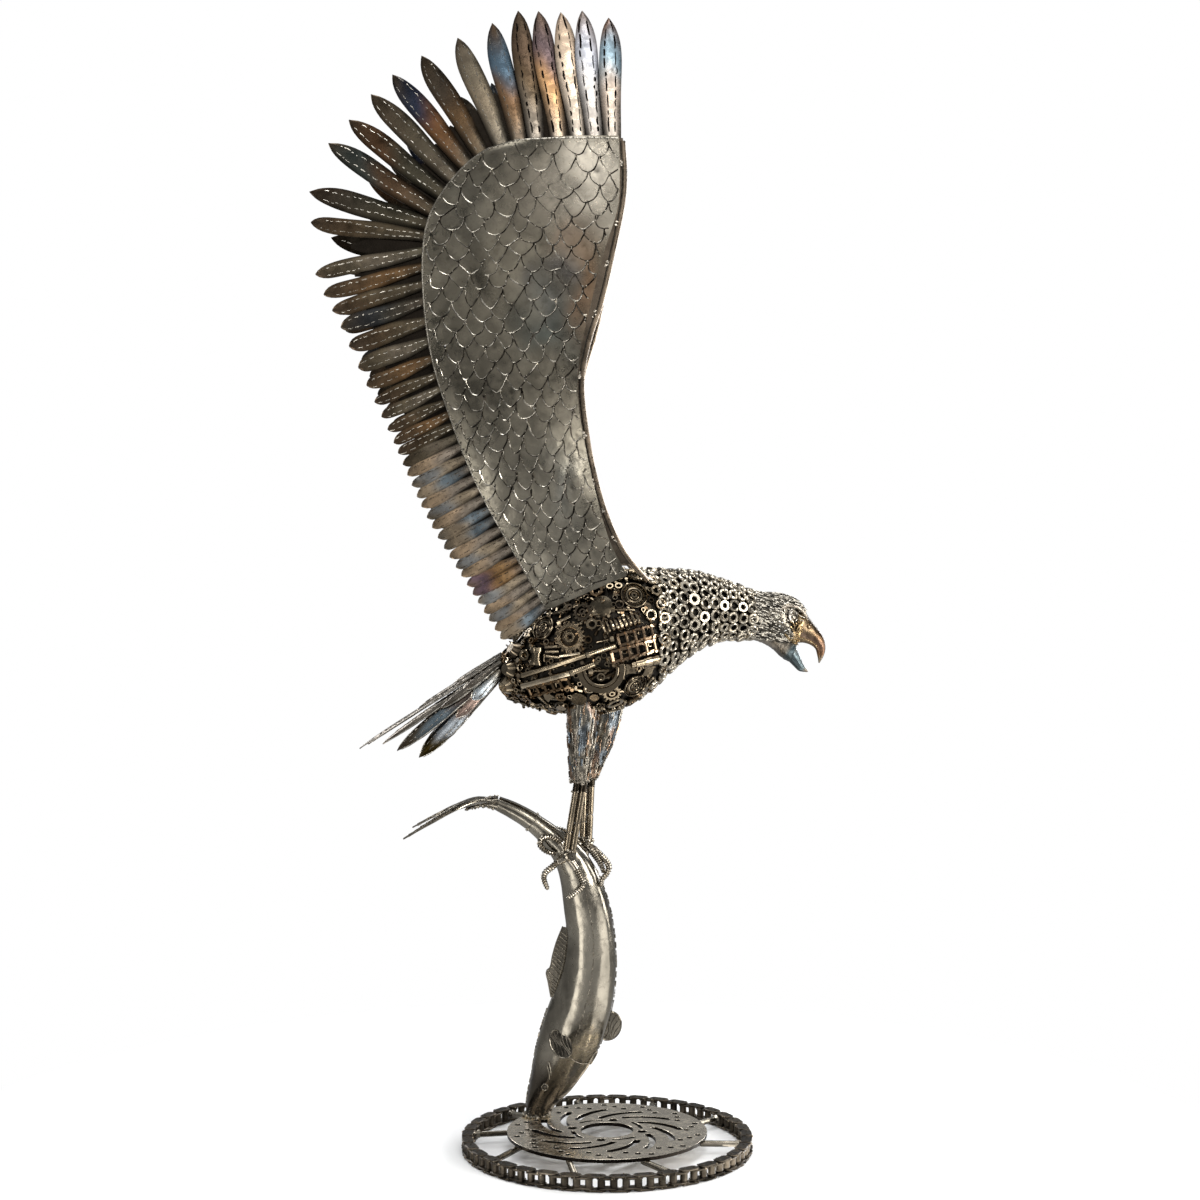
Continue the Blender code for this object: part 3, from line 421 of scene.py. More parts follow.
def plate(outline, thickness, holes=(), edge=0.0003):
    """Flat plate on z = 0 to thickness from an outline and holes, with chamfered edges."""
    loops = [np.asarray(loop, float) for loop in (outline, *holes)]
    inset = []
    for number, loop in enumerate(loops):
        after = np.roll(loop, -1, axis=0)
        run = unit(after - np.roll(loop, 1, axis=0))
        area = np.sum(loop[:, 0] * after[:, 1] - after[:, 0] * loop[:, 1])
        inward = 1.0 if (area > 0) == (number == 0) else -1.0
        inset.append(loop + np.column_stack([-run[:, 1], run[:, 0]]) * edge * inward)
    flat = np.concatenate(loops)
    small = np.concatenate(inset)
    count = len(flat)
    levels = ((small, 0.0), (flat, edge), (flat, thickness - edge), (small, thickness))
    points = np.concatenate([np.column_stack([p, np.full(count, z)]) for p, z in levels])
    face = filled(inset)
    faces = [face, shifted(face, 3 * count)]
    start = 0
    for loop in loops:
        faces += [band_faces(len(loop), start + level * count, count) for level in range(3)]
        start += len(loop)
    return points, np.concatenate(faces)


def ring_points(radius, sides, x=0.0, y=0.0):
    """Corners of a regular polygon in the plane."""
    angles = turns(sides)
    return np.column_stack([x + radius * np.cos(angles), y + radius * np.sin(angles)])


# ---------------------------------------------------------------- metals
def node(tree, kind, *sources, **settings):
    """A new shader node.  The sources go into its first inputs, and a setting named after an
    input sets that input."""
    made = tree.nodes.new("ShaderNode" + kind)
    for socket, source in zip(made.inputs, sources):
        if source is not None:
            tree.links.new(source, socket)
    for key, value in settings.items():
        if key in made.inputs:
            made.inputs[key].default_value = value
        else:
            setattr(made, key, value)
    return made


def noise_node(tree, coordinates, scale, detail, rough, distortion=0.0):
    return node(tree, "TexNoise", coordinates, Scale=scale, Detail=detail, Roughness=rough,
                Distortion=distortion).outputs["Fac"]


def scaled(tree, value, low, high, to_low, to_high):
    """The value's range from low to high stretched to another one, and cut off outside it."""
    made = node(tree, "MapRange", value)
    for socket, number in zip(made.inputs[1:5], (low, high, to_low, to_high)):
        socket.default_value = number
    return made.outputs["Result"]


def empty_tree(owner):
    """The node tree of a material or world, without its first nodes."""
    owner.use_nodes = True
    owner.node_tree.nodes.clear()
    return owner.node_tree


GRIME = (0.045, 0.036, 0.028, 1.0)
BUMP_DISTANCE = 0.0006


def metal(name, rough, uneven, patch, grain, dark, light, grime_share, bump, squeeze=1.0):
    """Worn bare steel.  Its colour is the mesh's tone, with patches, oily grime in small
    spots, fine scratches and roughness that varies."""
    material = bpy.data.materials.new(name)
    material.use_nodes = True
    tree = material.node_tree
    shader = tree.nodes["Principled BSDF"]
    shader.inputs["Metallic"].default_value = 1.0
    place = node(tree, "TexCoord").outputs["Object"]
    stretched = node(tree, "Mapping", place, Scale=(1.0, 1.0, squeeze)).outputs["Vector"]
    tone = node(tree, "Attribute", attribute_name="tone").outputs["Color"]
    patches = noise_node(tree, stretched, patch, 4.0, 0.6, 0.4)
    spots = noise_node(tree, place, grain * 0.33, 4.0, 0.7, 0.6)
    patched = node(tree, "VectorMath", tone, scaled(tree, patches, 0.3, 0.7, dark, light),
                   operation="MULTIPLY")
    soiled = node(tree, "Mix", scaled(tree, spots, 0.52, 0.74, 0.0, grime_share),
                  data_type="RGBA")
    tree.links.new(patched.outputs[0], soiled.inputs[6])
    soiled.inputs[7].default_value = GRIME
    tree.links.new(soiled.outputs[2], shader.inputs["Base Color"])
    roughness = node(tree, "Math", scaled(tree, patches, 0.25, 0.75, rough - uneven,
                                          rough + uneven),
                     scaled(tree, spots, 0.45, 0.75, -0.05, 0.18), operation="ADD")
    tree.links.new(roughness.outputs[0], shader.inputs["Roughness"])
    if bump:
        bumps = node(tree, "Bump", Strength=bump, Distance=BUMP_DISTANCE)
        tree.links.new(noise_node(tree, stretched, grain, 3.0, 0.6), bumps.inputs["Height"])
        tree.links.new(bumps.outputs["Normal"], shader.inputs["Normal"])
    return material


# Name, roughness and how uneven it is, size of the patches and of the grain, how dark and how
# light the patches are, share of grime, bumps, and how far the pattern is drawn out along Z.
METALS = {key: metal(*row) for key, *row in (
    ("blade", "wing_sheet", 0.33, 0.08, 22, 420, 0.72, 1.22, 0.35, 0.18),
    ("weld", "weld_bead", 0.26, 0.12, 160, 900, 0.45, 1.35, 0.35, 0.25),
    ("feather", "feather_steel", 0.29, 0.07, 45, 320, 0.66, 1.25, 0.24, 0.08),
    ("scrap", "oily_scrap", 0.19, 0.05, 80, 300, 0.78, 1.20, 0.22, 0.05),
    ("washer", "neck_steel", 0.27, 0.06, 90, 420, 0.72, 1.20, 0.25, 0.06),
    ("shadow", "dark_shell", 0.55, 0.10, 60, 500, 0.5, 1.2, 0.6, 0.5),
    ("fish", "polished_steel", 0.21, 0.08, 34, 260, 0.50, 1.15, 0.34, 0.14, 0.35),
    ("rods", "bright_rods", 0.26, 0.05, 30, 260, 0.75, 1.10, 0.20, 0.05),
    ("disc", "disc_steel", 0.27, 0.02, 26, 420, 0.90, 1.06, 0.05, 0.0),
    ("chain", "chain_steel", 0.38, 0.12, 90, 600, 0.5, 1.3, 0.55, 0.30),
    ("dabs", "weld_dabs", 0.28, 0.10, 120, 800, 0.6, 1.30, 0.30, 0.20),
    ("beak", "beak_steel", 0.36, 0.08, 120, 500, 0.62, 1.3, 0.35, 0.18))}


# ---------------------------------------------------------------- camera, floor and light
CAMERA = (0.0273, -2.06, 0.603)
LENS = 56.1
SENSOR = 36.0
FLOOR_RADIUS = 12.0
FLOOR_LIT = 0.30                # out to here the floor shows light and shade
FLOOR_WHITE = 0.75              # from here on it is plain white
FLOOR_GLOW = 0.34               # how bright that white is in reflections
FLOOR_PAINT = 0.88              # lightness of the floor, and of its reflection in the metal
FLOOR_DIM = 0.45
SKY_LOW = 0.12                  # brightness of the room at its horizon and overhead
SKY_HIGH = 0.55
ROOM = (0.96, 0.98, 1.0, 1.0)
WHITE = (1.0, 1.0, 1.0, 1.0)


def camera():
    data = bpy.data.cameras.new("camera")
    data.lens = LENS
    data.sensor_width = SENSOR
    obj = placed("camera", data)
    obj.location = (CAMERA[0] + SHIFT, *CAMERA[1:])
    obj.rotation_euler = (math.pi / 2, 0.0, 0.0)
    bpy.context.scene.camera = obj


def floor():
    """Pale floor that carries the shadow and turns plain white further out."""
    bm = bmesh.new()
    bmesh.ops.create_circle(bm, cap_ends=True, segments=96, radius=FLOOR_RADIUS)
    mesh = bpy.data.meshes.new("floor")
    bm.to_mesh(mesh)
    bm.free()
    material = bpy.data.materials.new("pale_floor")
    tree = empty_tree(material)
    centre = node(tree, "VectorMath", node(tree, "TexCoord").outputs["Object"],
                  operation="LENGTH").outputs["Value"]
    seen = node(tree, "LightPath").outputs["Is Camera Ray"]
    paint = node(tree, "BsdfDiffuse", scaled(tree, seen, 0.0, 1.0, FLOOR_DIM, FLOOR_PAINT))
    white = node(tree, "Emission", None, scaled(tree, seen, 0.0, 1.0, FLOOR_GLOW, 1.0),
                 Color=WHITE)
    mix = node(tree, "MixShader", scaled(tree, centre, FLOOR_LIT, FLOOR_WHITE, 0.0, 1.0),
               paint.outputs[0], white.outputs[0])
    node(tree, "OutputMaterial", mix.outputs[0])
    mesh.materials.append(material)
    obj = placed("floor", mesh)


def sky():
    """White to look at; as a light it is a dim room with a brighter ceiling."""
    world = bpy.data.worlds.new("studio")
    tree = empty_tree(world)
    split = node(tree, "SeparateXYZ", node(tree, "TexCoord").outputs["Generated"])
    height = scaled(tree, split.outputs["Z"], 0.0, 1.0, SKY_LOW, SKY_HIGH)
    room = node(tree, "Background", None, height, Color=ROOM)
    white = node(tree, "Background", Color=WHITE)
    mix = node(tree, "MixShader", node(tree, "LightPath").outputs["Is Camera Ray"],
               room.outputs[0], white.outputs[0])
    node(tree, "OutputWorld", mix.outputs[0])
    bpy.context.scene.world = world


WARM = (1.0, 0.98, 0.945)
# name, place, where it points, width, height, power, colour
LIGHTS = (("floor_left", (-0.207, -0.415, 0.035), (-0.162, -0.326, 1.0), 0.11, 0.60, 0.75, WARM),
          ("floor_right", (0.500, -0.250, 0.045), (0.410, -0.200, 1.0), 0.18, 0.80, 1.1, WARM),
          ("low_left", (-0.62, -0.98, 0.20), (0.0, 0.0, 0.20), 0.16, 0.38, 1.6, WARM),
          ("low_right", (0.98, -0.02, 0.34), (0.0, 0.0, 0.28), 0.24, 0.66, 4.0, WARM),
          ("strip_left", (-1.55, -1.75, 1.35), (0.0, 0.0, 0.7), 0.30, 0.80, 7.0, WARM),
          ("cheek", (0.17, -0.45, 0.70), (0.21, 0.0, 0.58), 0.12, 0.12, 0.42, WARM),
          ("strip_right", (1.75, -1.35, 0.90), (0.0, 0.0, 0.6), 0.40, 1.5, 32.0, WARM),
          ("front", (0.55, -3.10, 1.75), (0.0, 0.0, 0.8), 2.4, 1.5, 10.0, (1.0, 0.965, 0.92)),
          ("front_high", (1.05, -3.40, 2.30), (0.0, 0.0, 0.95), 0.5, 0.5, 5.0, WARM),
          ("top", (0.1, -0.3, 2.8), (0.0, 0.0, 0.5), 1.6, 1.6, 42.0, (1.0, 1.0, 1.0)),
          ("back_left", (-1.6, 1.6, 1.2), (0.0, 0.0, 0.6), 0.4, 1.7, 26.0, (0.97, 0.98, 1.0)),
          ("back_right", (1.5, 1.7, 1.3), (0.0, 0.0, 0.6), 0.4, 1.7, 26.0, (0.97, 0.98, 1.0)))


def lights():
    for name, place, target, width, height, power, colour in LIGHTS:
        data = bpy.data.lights.new(name, "AREA")
        data.shape = "RECTANGLE"
        data.size = width
        data.size_y = height
        data.energy = power
        data.color = colour
        obj = placed(name, data)
        obj.location = place
        aim = Vector(target) - Vector(place)
        obj.rotation_euler = aim.to_track_quat("-Z", "Y").to_euler()
        obj.visible_camera = False


# ---------------------------------------------------------------- wings
BODY_TRACK = Track(BODY)
TRAILING_ROWS, TRAILING_LENGTH = by_length(TRAILING_EDGE)
LEADING_ROWS, LEADING_LENGTH = by_length(LEADING_EDGE)
TRAILING_TRACK = Track(TRAILING_ROWS)
LEADING_TRACK = Track(LEADING_ROWS)
# height of one row of scales and width of one scale, by height
SCALE_SIZES = ((0.60, 0.0118, 0.0165), (0.68, 0.0130, 0.0172), (0.76, 0.0165, 0.0186),
               (0.84, 0.0158, 0.0200), (0.94, 0.0150, 0.0215), (1.09, 0.0162, 0.0250))
SCALES_TOP = 1.082
SCALE_WANDER = 0.0066           # how far the lines stray from a straight pattern
STRAY_SHIFTS = (2.6, 14.3)
SCALE_BEND = 0.84               # below this height the columns of scales run forward
SCALE_SLOPE = 0.20              # by so much for each unit down
SCALE_ROUNDNESS = 1.72          # 1 is a lozenge, 2 is round
BLADE_HEIGHT = 0.49
BLADE_BACK = -0.17
BLADE_FRONT = 0.065
BLADE_COLUMNS = 60
BLADE_ROWS = 150
CELL_RISE = 0.00030             # how far a scale is beaten up in its middle
DENT_DEPTH = 0.0008
UV_ROUNDS = 7
UV_STEP = 1e-3
BLADE_SPOTS = 60                # small dark pits on each face of a blade
SPOT_RADIUS = 0.0024
SPOT_DEPTH = 0.0004
INNER_FACE_SHADE = 0.55               # painted shade on the blade's inner face: its tone as a share of the outer's
RIM_TONE = (0.20, 0.18, 0.15)
GROOVE_THICKNESS = 0.0014
RIBBON = (0.13, 0.105, 0.080)
DARK_WELD = np.array((0.075, 0.068, 0.058))
WELD_SHADOW_RADIUS = 0.00085           # a near-black line beside each run of weld: painted shadow
WELD_SHADOW_SHIFT = 0.00045
WELD_SHADOW_SINK = 0.00035
WELD_SHADOW_TONE = (0.045, 0.038, 0.030)
DARK_SHARE = 0.46               # how much of the scales' weld is dark, away from the painted highlight at the tip
BRIGHT_WELD = np.array((0.62, 0.58, 0.50))
# Weld between the scales, dark and bright: tone, its range, thinnest and thickest.
WELD_KINDS = ((DARK_WELD, 0.8, 2.6, 0.00026, 0.00050), (BRIGHT_WELD, 0.5, 1.35, 0.00052, 0.00088))
EDGE_DROPS = (150, 60, 90)      # drops along the trailing edge, the tip and the root
INNER_EDGE_DROPS = 20
RIM_POINTS = 110
ROD_TONE = np.array((0.24, 0.19, 0.14))
ROD_WELD = np.array((0.46, 0.42, 0.36))
ROD_POINTS = 60
ROD_SPOTS = (0.98, 0.84, 0.76, 0.63, 0.50, 0.37, 0.27, 0.20, 0.12)

SHEET = np.array((0.172, 0.156, 0.122))
# Heat tints on a blade, and patches of painted highlight and painted shade: x, z, half width, half
# height, colour, strength.
HEAT_TINTS_AND_PAINTED_LIGHT = ((0.012, 0.935, 0.016, 0.045, (0.22, 0.125, 0.065), 0.75),
        (-0.010, 0.980, 0.018, 0.018, (0.26, 0.18, 0.125), 0.60),
        (0.010, 0.898, 0.010, 0.022, (0.25, 0.155, 0.095), 0.55),
        (-0.012, 0.950, 0.010, 0.013, (0.085, 0.085, 0.10), 0.65),
        (-0.022, 0.912, 0.022, 0.026, (0.065, 0.085, 0.095), 0.65),
        (-0.030, 0.880, 0.024, 0.020, (0.075, 0.105, 0.105), 0.60),
        (-0.046, 0.938, 0.013, 0.012, (0.08, 0.08, 0.08), 0.60),
        (0.000, 0.845, 0.012, 0.030, (0.095, 0.090, 0.085), 0.45),
        (-0.014, 0.930, 0.024, 0.045, (0.100, 0.090, 0.072), 0.50),
        (0.003, 0.750, 0.018, 0.042, (0.100, 0.092, 0.076), 0.55),
        # painted shade: dark grey that tones down a highlight in the middle of the blade
        (0.000, 0.800, 0.036, 0.070, (0.105, 0.094, 0.073), 0.70),
        (-0.012, 0.715, 0.014, 0.030, (0.11, 0.135, 0.145), 0.60),
        # painted shade: dark grey that tones down a band of highlight low by the trailing edge
        (-0.074, 0.745, 0.034, 0.055, (0.115, 0.104, 0.082), 0.38),
        (-0.090, 0.850, 0.030, 0.030, (0.16, 0.145, 0.115), 0.40),
        # painted highlight: near-white patch by the tip of the leading edge
        (0.018, 1.046, 0.036, 0.042, (0.80, 0.74, 0.63), 0.80),
        (-0.030, 1.030, 0.040, 0.030, (0.28, 0.25, 0.205), 0.50),
        (-0.110, 1.010, 0.034, 0.030, (0.15, 0.14, 0.115), 0.45),
        # painted light: pale patches that lighten the root of the blade
        (-0.015, 0.640, 0.085, 0.060, (0.36, 0.33, 0.27), 0.65),
        (-0.050, 0.730, 0.075, 0.060, (0.26, 0.24, 0.195), 0.50))


def wing_distance(z):
    """Distance of the wing from the middle plane at height z."""
    t = np.clip((np.asarray(z, float) - WING_ROOT_Z) / (WING_LEVEL_Z - WING_ROOT_Z), 0.0, 1.0)
    return WING_ROOT_Y + (WING_TIP_Y - WING_ROOT_Y) * t * (2 - t)


def swing(side, x, z):
    """(x, z) of a wing's point after the left wing's swing."""
    if side == NEAR:
        return x, z
    c = math.cos(LEFT_WING_BACK)
    s = math.sin(LEFT_WING_BACK)
    dx = x - SHOULDER[0]
    dz = z - SHOULDER[1]
    return SHOULDER[0] + dx * c - dz * s, SHOULDER[1] + dx * s + dz * c


def body_reach(x, z):
    """Half width of the body at x and height z, 0 above or below it."""
    low, high, width, square = np.moveaxis(BODY_TRACK(x), -1, 0)
    u = np.minimum(np.abs(z - (low + high) / 2) / ((high - low) / 2), 1.0)
    reach = width * (1.0 - u ** square) ** (1.0 / square)
    return np.where((x < BODY[0][0]) | (x > BODY[-1][0]), 0.0, reach)


def blade_plan(u, v):
    """(x, z) of the unswung blade: u runs from trailing to leading edge, v from root to tip."""
    a = TRAILING_TRACK(np.asarray(v) * TRAILING_LENGTH)
    b = LEADING_TRACK(np.asarray(v) * LEADING_LENGTH)
    u = np.asarray(u, float)[..., None]
    plan = a + (b - a) * u
    return plan[..., 0], plan[..., 1]


def blade_point(side, u, v, lift):
    """Point of the blade's middle sheet, lift further from the middle plane."""
    x, z = blade_plan(u, v)
    bulge = 4 * u * (1 - u) * np.minimum(v / BLADE_FLAT_ROOT, 1.0)
    away = wing_distance(z)
    x, z = swing(side, x, z)
    y = np.maximum(away, body_reach(x, z) + BLADE_THICKNESS / 2 + 2 * GAP)
    y = y + BLADE_CAMBER * bulge + lift
    return np.stack([x, side * y, z], axis=-1)


def blade_uv(x, z):
    """(u, v) of points of the unswung blade given as (x, z), found step by step."""
    x = np.asarray(x, float)
    z = np.asarray(z, float)
    v = np.clip((z - WING_ROOT_Z) / BLADE_HEIGHT, 0.0, 1.0)
    u = np.full(x.shape, 0.5)
    for _ in range(UV_ROUNDS):
        px, pz = blade_plan(u, v)
        ux, uz = blade_plan(u + UV_STEP, v)
        vx, vz = blade_plan(u, v - UV_STEP)
        a, b = (ux - px) / UV_STEP, (px - vx) / UV_STEP
        c, d = (uz - pz) / UV_STEP, (pz - vz) / UV_STEP
        scale = a * d - b * c
        scale[np.abs(scale) < 1e-9] = 1e-9
        u = np.clip(u + (d * (x - px) - b * (z - pz)) / scale, -0.2, 1.2)
        v = np.clip(v + (a * (z - pz) - c * (x - px)) / scale, -0.02, 1.0)
    return u, v


def stray(x, z):
    """How far the pattern of scales is shifted at (x, z), along x and along z."""
    flat = np.column_stack([x, z, np.zeros(len(x))])
    return SCALE_WANDER * np.array([rumple(flat, 26.0, shift)
                                    + 0.45 * rumple(flat, 80.0, shift + 5.3)
                                    for shift in STRAY_SHIFTS])


def off_blade(x, z):
    """(u, v) of points given as (x, z), and how far they lie from the blade."""
    u, v = blade_uv(x, z)
    px, pz = blade_plan(u, v)
    return u, v, np.hypot(px - x, pz - z)


def scale_rows():
    """Scales of the blade as (x, z, half width, row pitch), top row first."""
    rng = random.Random(11)
    sizes = Track(SCALE_SIZES)
    scales = []
    z = SCALES_TOP
    row = 0
    while z > WING_ROOT_Z:
        pitch, width = sizes(z)
        shift = SCALE_SLOPE * max(SCALE_BEND - z, 0.0)
        for k in range(-12, 16):
            x = (k + 0.5 * (row % 2)) * width + shift + rng.uniform(-0.06, 0.06) * width
            here = z + rng.uniform(-0.07, 0.07) * pitch
            half = width / 2 * rng.uniform(0.94, 1.08)
            if BLADE_BACK < x < BLADE_FRONT:
                scales.append((x, here, half, pitch))
        z -= pitch
        row += 1
    scales = np.array(scales)
    u, _, off = off_blade(scales[:, 0], scales[:, 1])
    return scales[(u > -0.06) & (u < 1.06) & (off < 0.012)]


SCALES = scale_rows()


def scale_arc(scale, count):
    """(u, v) points of one scale's pointed lower edge."""
    x, z, half, pitch = scale
    angles = np.radians(np.linspace(0, 180, count))
    power = 2 / SCALE_ROUNDNESS
    c = np.cos(angles)
    xs = x + half * np.sign(c) * np.abs(c) ** power
    zs = z - pitch * 1.04 * np.sin(angles) ** power
    dx, dz = stray(xs, zs)
    u, v, off = off_blade(xs + dx, zs + dz)
    inside = (u > 0.012) & (u < 0.99) & (v > 0.010) & (v < 0.993) & (off < 0.0004)
    return u[inside], v[inside]


def tinted(x, z):
    """The sheet's colour at (x, z), with its heat tints and its patches of painted highlight and
    painted shade.
    """
    colour = SHEET
    wave = 0.010 * np.sin(x * 90 + 1.3) * np.cos(z * 70)
    for hx, hz, rx, rz, tint, strength in HEAT_TINTS_AND_PAINTED_LIGHT:
        d = ((x - hx + wave) / rx) ** 2 + ((z - hz - wave) / rz) ** 2
        colour = mixed(colour, tint, strength * np.exp(-d * 0.9))
    return colour


def blade_sheet(build, side, outward, rng):
    """One face of a beaten blade; outward is 1 for its outer face, -1 for the inner one."""
    u, v = (a.ravel() for a in np.meshgrid(np.linspace(0, 1, BLADE_COLUMNS + 1),
                                           np.linspace(0, 1, BLADE_ROWS + 1)))
    x, z = blade_plan(u, v)
    tones = np.array([rng.uniform(0.84, 1.16) for _ in SCALES])
    distance = np.full(len(x), 9.0)
    owner = np.zeros(len(x), int)
    dx, dz = stray(x, z)
    for i, (cx, cz, half, pitch) in enumerate(SCALES):
        d = np.hypot((x - dx - cx) / half, (z - dz - cz + pitch * 0.05) / pitch)
        nearer = d < distance
        distance[nearer] = d[nearer]
        owner[nearer] = i
    pillow = CELL_RISE * np.clip(1.0 - distance ** 2, 0.0, 1.0)
    flat = np.column_stack([x, np.zeros(len(x)), z])
    dents = DENT_DEPTH * (rumple(flat, 30.0, 1.0) + 0.35 * rumple(flat, 90.0, 2.0))
    shade = tones[owner] * (1.0 - 0.30 * fade(distance, 0.86, 1.05))
    for _ in range(BLADE_SPOTS):
        sx, sz, _, _ = SCALES[rng.randrange(len(SCALES))]
        spot = np.exp(-(np.hypot(x - sx, z - sz) / SPOT_RADIUS) ** 2)
        dents -= SPOT_DEPTH * spot
        shade *= 1.0 - 0.45 * spot
    # painted shade: the inner face is darker than the outer one
    shade *= 1.0 if outward > 0 else INNER_FACE_SHADE
    edge = np.clip(np.minimum(np.minimum(u, 1 - u) * 12, np.minimum(v, 1 - v) * 25), 0, 1)
    lift = outward * (BLADE_THICKNESS / 2 - 0.0002 + (pillow + dents) * edge)
    points = blade_point(side, u, v, lift)
    build.add((points, grid_faces(BLADE_ROWS + 1, BLADE_COLUMNS + 1)),
              tinted(x, z) * shade[:, None])
    return rim_of(points.reshape(BLADE_ROWS + 1, BLADE_COLUMNS + 1, 3))


def rim_of(grid):
    """The border of a grid of points, once round."""
    return np.concatenate([grid[0, :-1], grid[:-1, -1], grid[-1, :0:-1], grid[:0:-1, 0]])


def rim_band(build, rims, tone):
    """Closes the edge between the two faces of a sheet."""
    build.add((np.concatenate(rims), band_faces(len(rims[0]))), tone)


def scale_weld(build, line, dull, rng):
    """A run of weld in short lengths, dark or bright, each of its own size."""
    tones = []
    sizes = []
    while len(tones) < len(line):
        base, low, high, thin, thick = WELD_KINDS[rng.random() > dull]
        tone = base * rng.uniform(low, high)
        size = rng.uniform(thin, thick)
        for _ in range(rng.randrange(1, 4)):
            tones.append(tone * rng.uniform(0.85, 1.15))
            sizes.append(size * rng.uniform(0.8, 1.2))
    build.add(tube(line, sizes[:len(line)], 4), capped(tones[:len(line)], 4), 1)


def blade_welds(build, side, outward, seed):
    """The scale pattern: runs of weld, dark with bright drops; the inner face is plainer."""
    rng = random.Random(seed)
    outer = outward > 0
    normal = np.array((0, side * outward, 0))
    lift = outward * (BLADE_THICKNESS / 2 + 0.0001)
    for scale in SCALES:
        u, v = scale_arc(scale, 13 if outer else 8)
        if len(u) < 3:
            continue
        line = blade_point(side, u, v, lift)
        dull = DARK_SHARE + (1.0 - DARK_SHARE) * 0.8 * math.exp(
            -((scale[0] - 0.02) / 0.05) ** 2 - ((scale[1] - 1.03) / 0.06) ** 2)
        if outer:
            # painted shadow: a near-black line just beside and below each run of weld
            weld_shadow_line = line + (WELD_SHADOW_SHIFT, 0.0, -WELD_SHADOW_SHIFT) - normal * WELD_SHADOW_SINK
            build.add(tube(weld_shadow_line, WELD_SHADOW_RADIUS, 3), WELD_SHADOW_TONE, 1)
        scale_weld(build, line, dull, rng)
        for _ in range(3 if outer else 0):
            if rng.random() < 0.75:
                place = line[rng.randrange(len(u))]
                tone = BRIGHT_WELD * rng.uniform(0.9, 1.7)
                drop(build, place, normal, rng.uniform(0.0007, 0.0012), tone, 5, 0.9)
    # denser weld along the trailing edge, the tip and the root
    for edge, drops in enumerate(EDGE_DROPS):
        count = drops if outer else INNER_EDGE_DROPS
        for k in range(count):
            t = (k + rng.random()) / count
            inset = min(abs(rng.gauss(0.0, 0.014)) + 0.008, 0.10)
            u, v = ((inset, t), (t, 1.0 - inset * 0.5), (t, inset * 0.9))[edge]
            tone = BRIGHT_WELD * rng.uniform(0.3, 1.2)
            drop(build, blade_point(side, u, v, lift), normal, rng.uniform(0.0006, 0.0012),
                 tone, 5, 0.9)
    # a rounded rim of weld along the trailing edge and round the tip
    t = np.linspace(0.01, 0.99, RIM_POINTS)
    for u, v in ((np.full(RIM_POINTS, 0.006), t), (t, np.full(RIM_POINTS, 0.994))):
        line = blade_point(side, u, v, outward * BLADE_THICKNESS * 0.3)
        build.add(weld(line, 0.0008, seed + 7, 5, 0.3), BRIGHT_WELD * 0.55, 1)


def wing_blade(side, suffix):
    build = Build()
    rng = random.Random(5 if side == NEAR else 6)
    rim_band(build, [blade_sheet(build, side, outward, rng) for outward in (1, -1)], RIM_TONE)
    blade_welds(build, side, 1, 21 + side)
    blade_welds(build, side, -1, 31 + side)
    build.finish(f"blade_{suffix}", "blade weld", "wing_blades", f"wing_blade_{suffix}",
                 sharp=50)


def edge_rod(side, suffix):
    """The leading-edge rod, with the weld spots that hold it."""
    build = Build()
    x, _, z = along([(x, 0.0, z) for x, z in EDGE_ROD], ROD_POINTS).T
    away = wing_distance(z)
    x, z = swing(side, x, z)
    y = np.maximum(away, body_reach(x, z) + EDGE_ROD_RADIUS + 3 * GAP)
    line = np.column_stack([x, side * y, z])
    shade = ROD_TONE * (1 + 0.25 * rumple(line, 60))[:, None]
    build.add(tube(line, EDGE_ROD_RADIUS, 10), capped(shade, 10))
    # the strip between the rod and the edge of the blade, and a near-black line beside the rod that
    # paints its shadow
    edge = blade_point(side, np.full(60, 0.995), np.linspace(0.03, 0.995, 60), 0.0)
    order = line[np.argsort(line[:, 2])]
    far_edge = np.column_stack([np.interp(edge[:, 2], order[:, 2], order[:, 0]),
                                np.interp(edge[:, 2], order[:, 2], order[:, 1]), edge[:, 2]])
    thick = (0.0, GROOVE_THICKNESS / 2, 0.0)
    ribbon = [edge - thick, edge + thick, far_edge + thick, far_edge - thick]
    build.add(skin(np.stack(ribbon, axis=1)), RIBBON)
    # painted shadow: near-black line along the back of the rod
    rod_shadow = line + (-EDGE_ROD_RADIUS - 0.0002, side * 0.0008, 0.0)
    build.add(tube(rod_shadow, 0.0006, 4), DARK_WELD * 0.3)
    rng = random.Random(77 + side)
    for t in ROD_SPOTS:
        k = int(t * (len(line) - 2))
        run = unit(line[k + 1] - line[k])
        for _ in range(5):
            place = line[k] + (-0.0022, 0.0, 0.0) + run * rng.uniform(-0.004, 0.004)
            place += (rng.uniform(-0.0015, 0.001), side * rng.uniform(-0.001, 0.0026), 0.0)
            drop(build, place, (-0.4, side, 0.0), rng.uniform(0.0012, 0.0022),
                 ROD_WELD * rng.uniform(0.6, 1.2), 7)
    build.finish(f"edge_rod_{suffix}", "feather weld", "wing_rods",
                 f"leading_edge_rod_{suffix}")


# ---------------------------------------------------------------- feathers
FEATHER_STATIONS = 20
FEATHER_ACROSS = 7
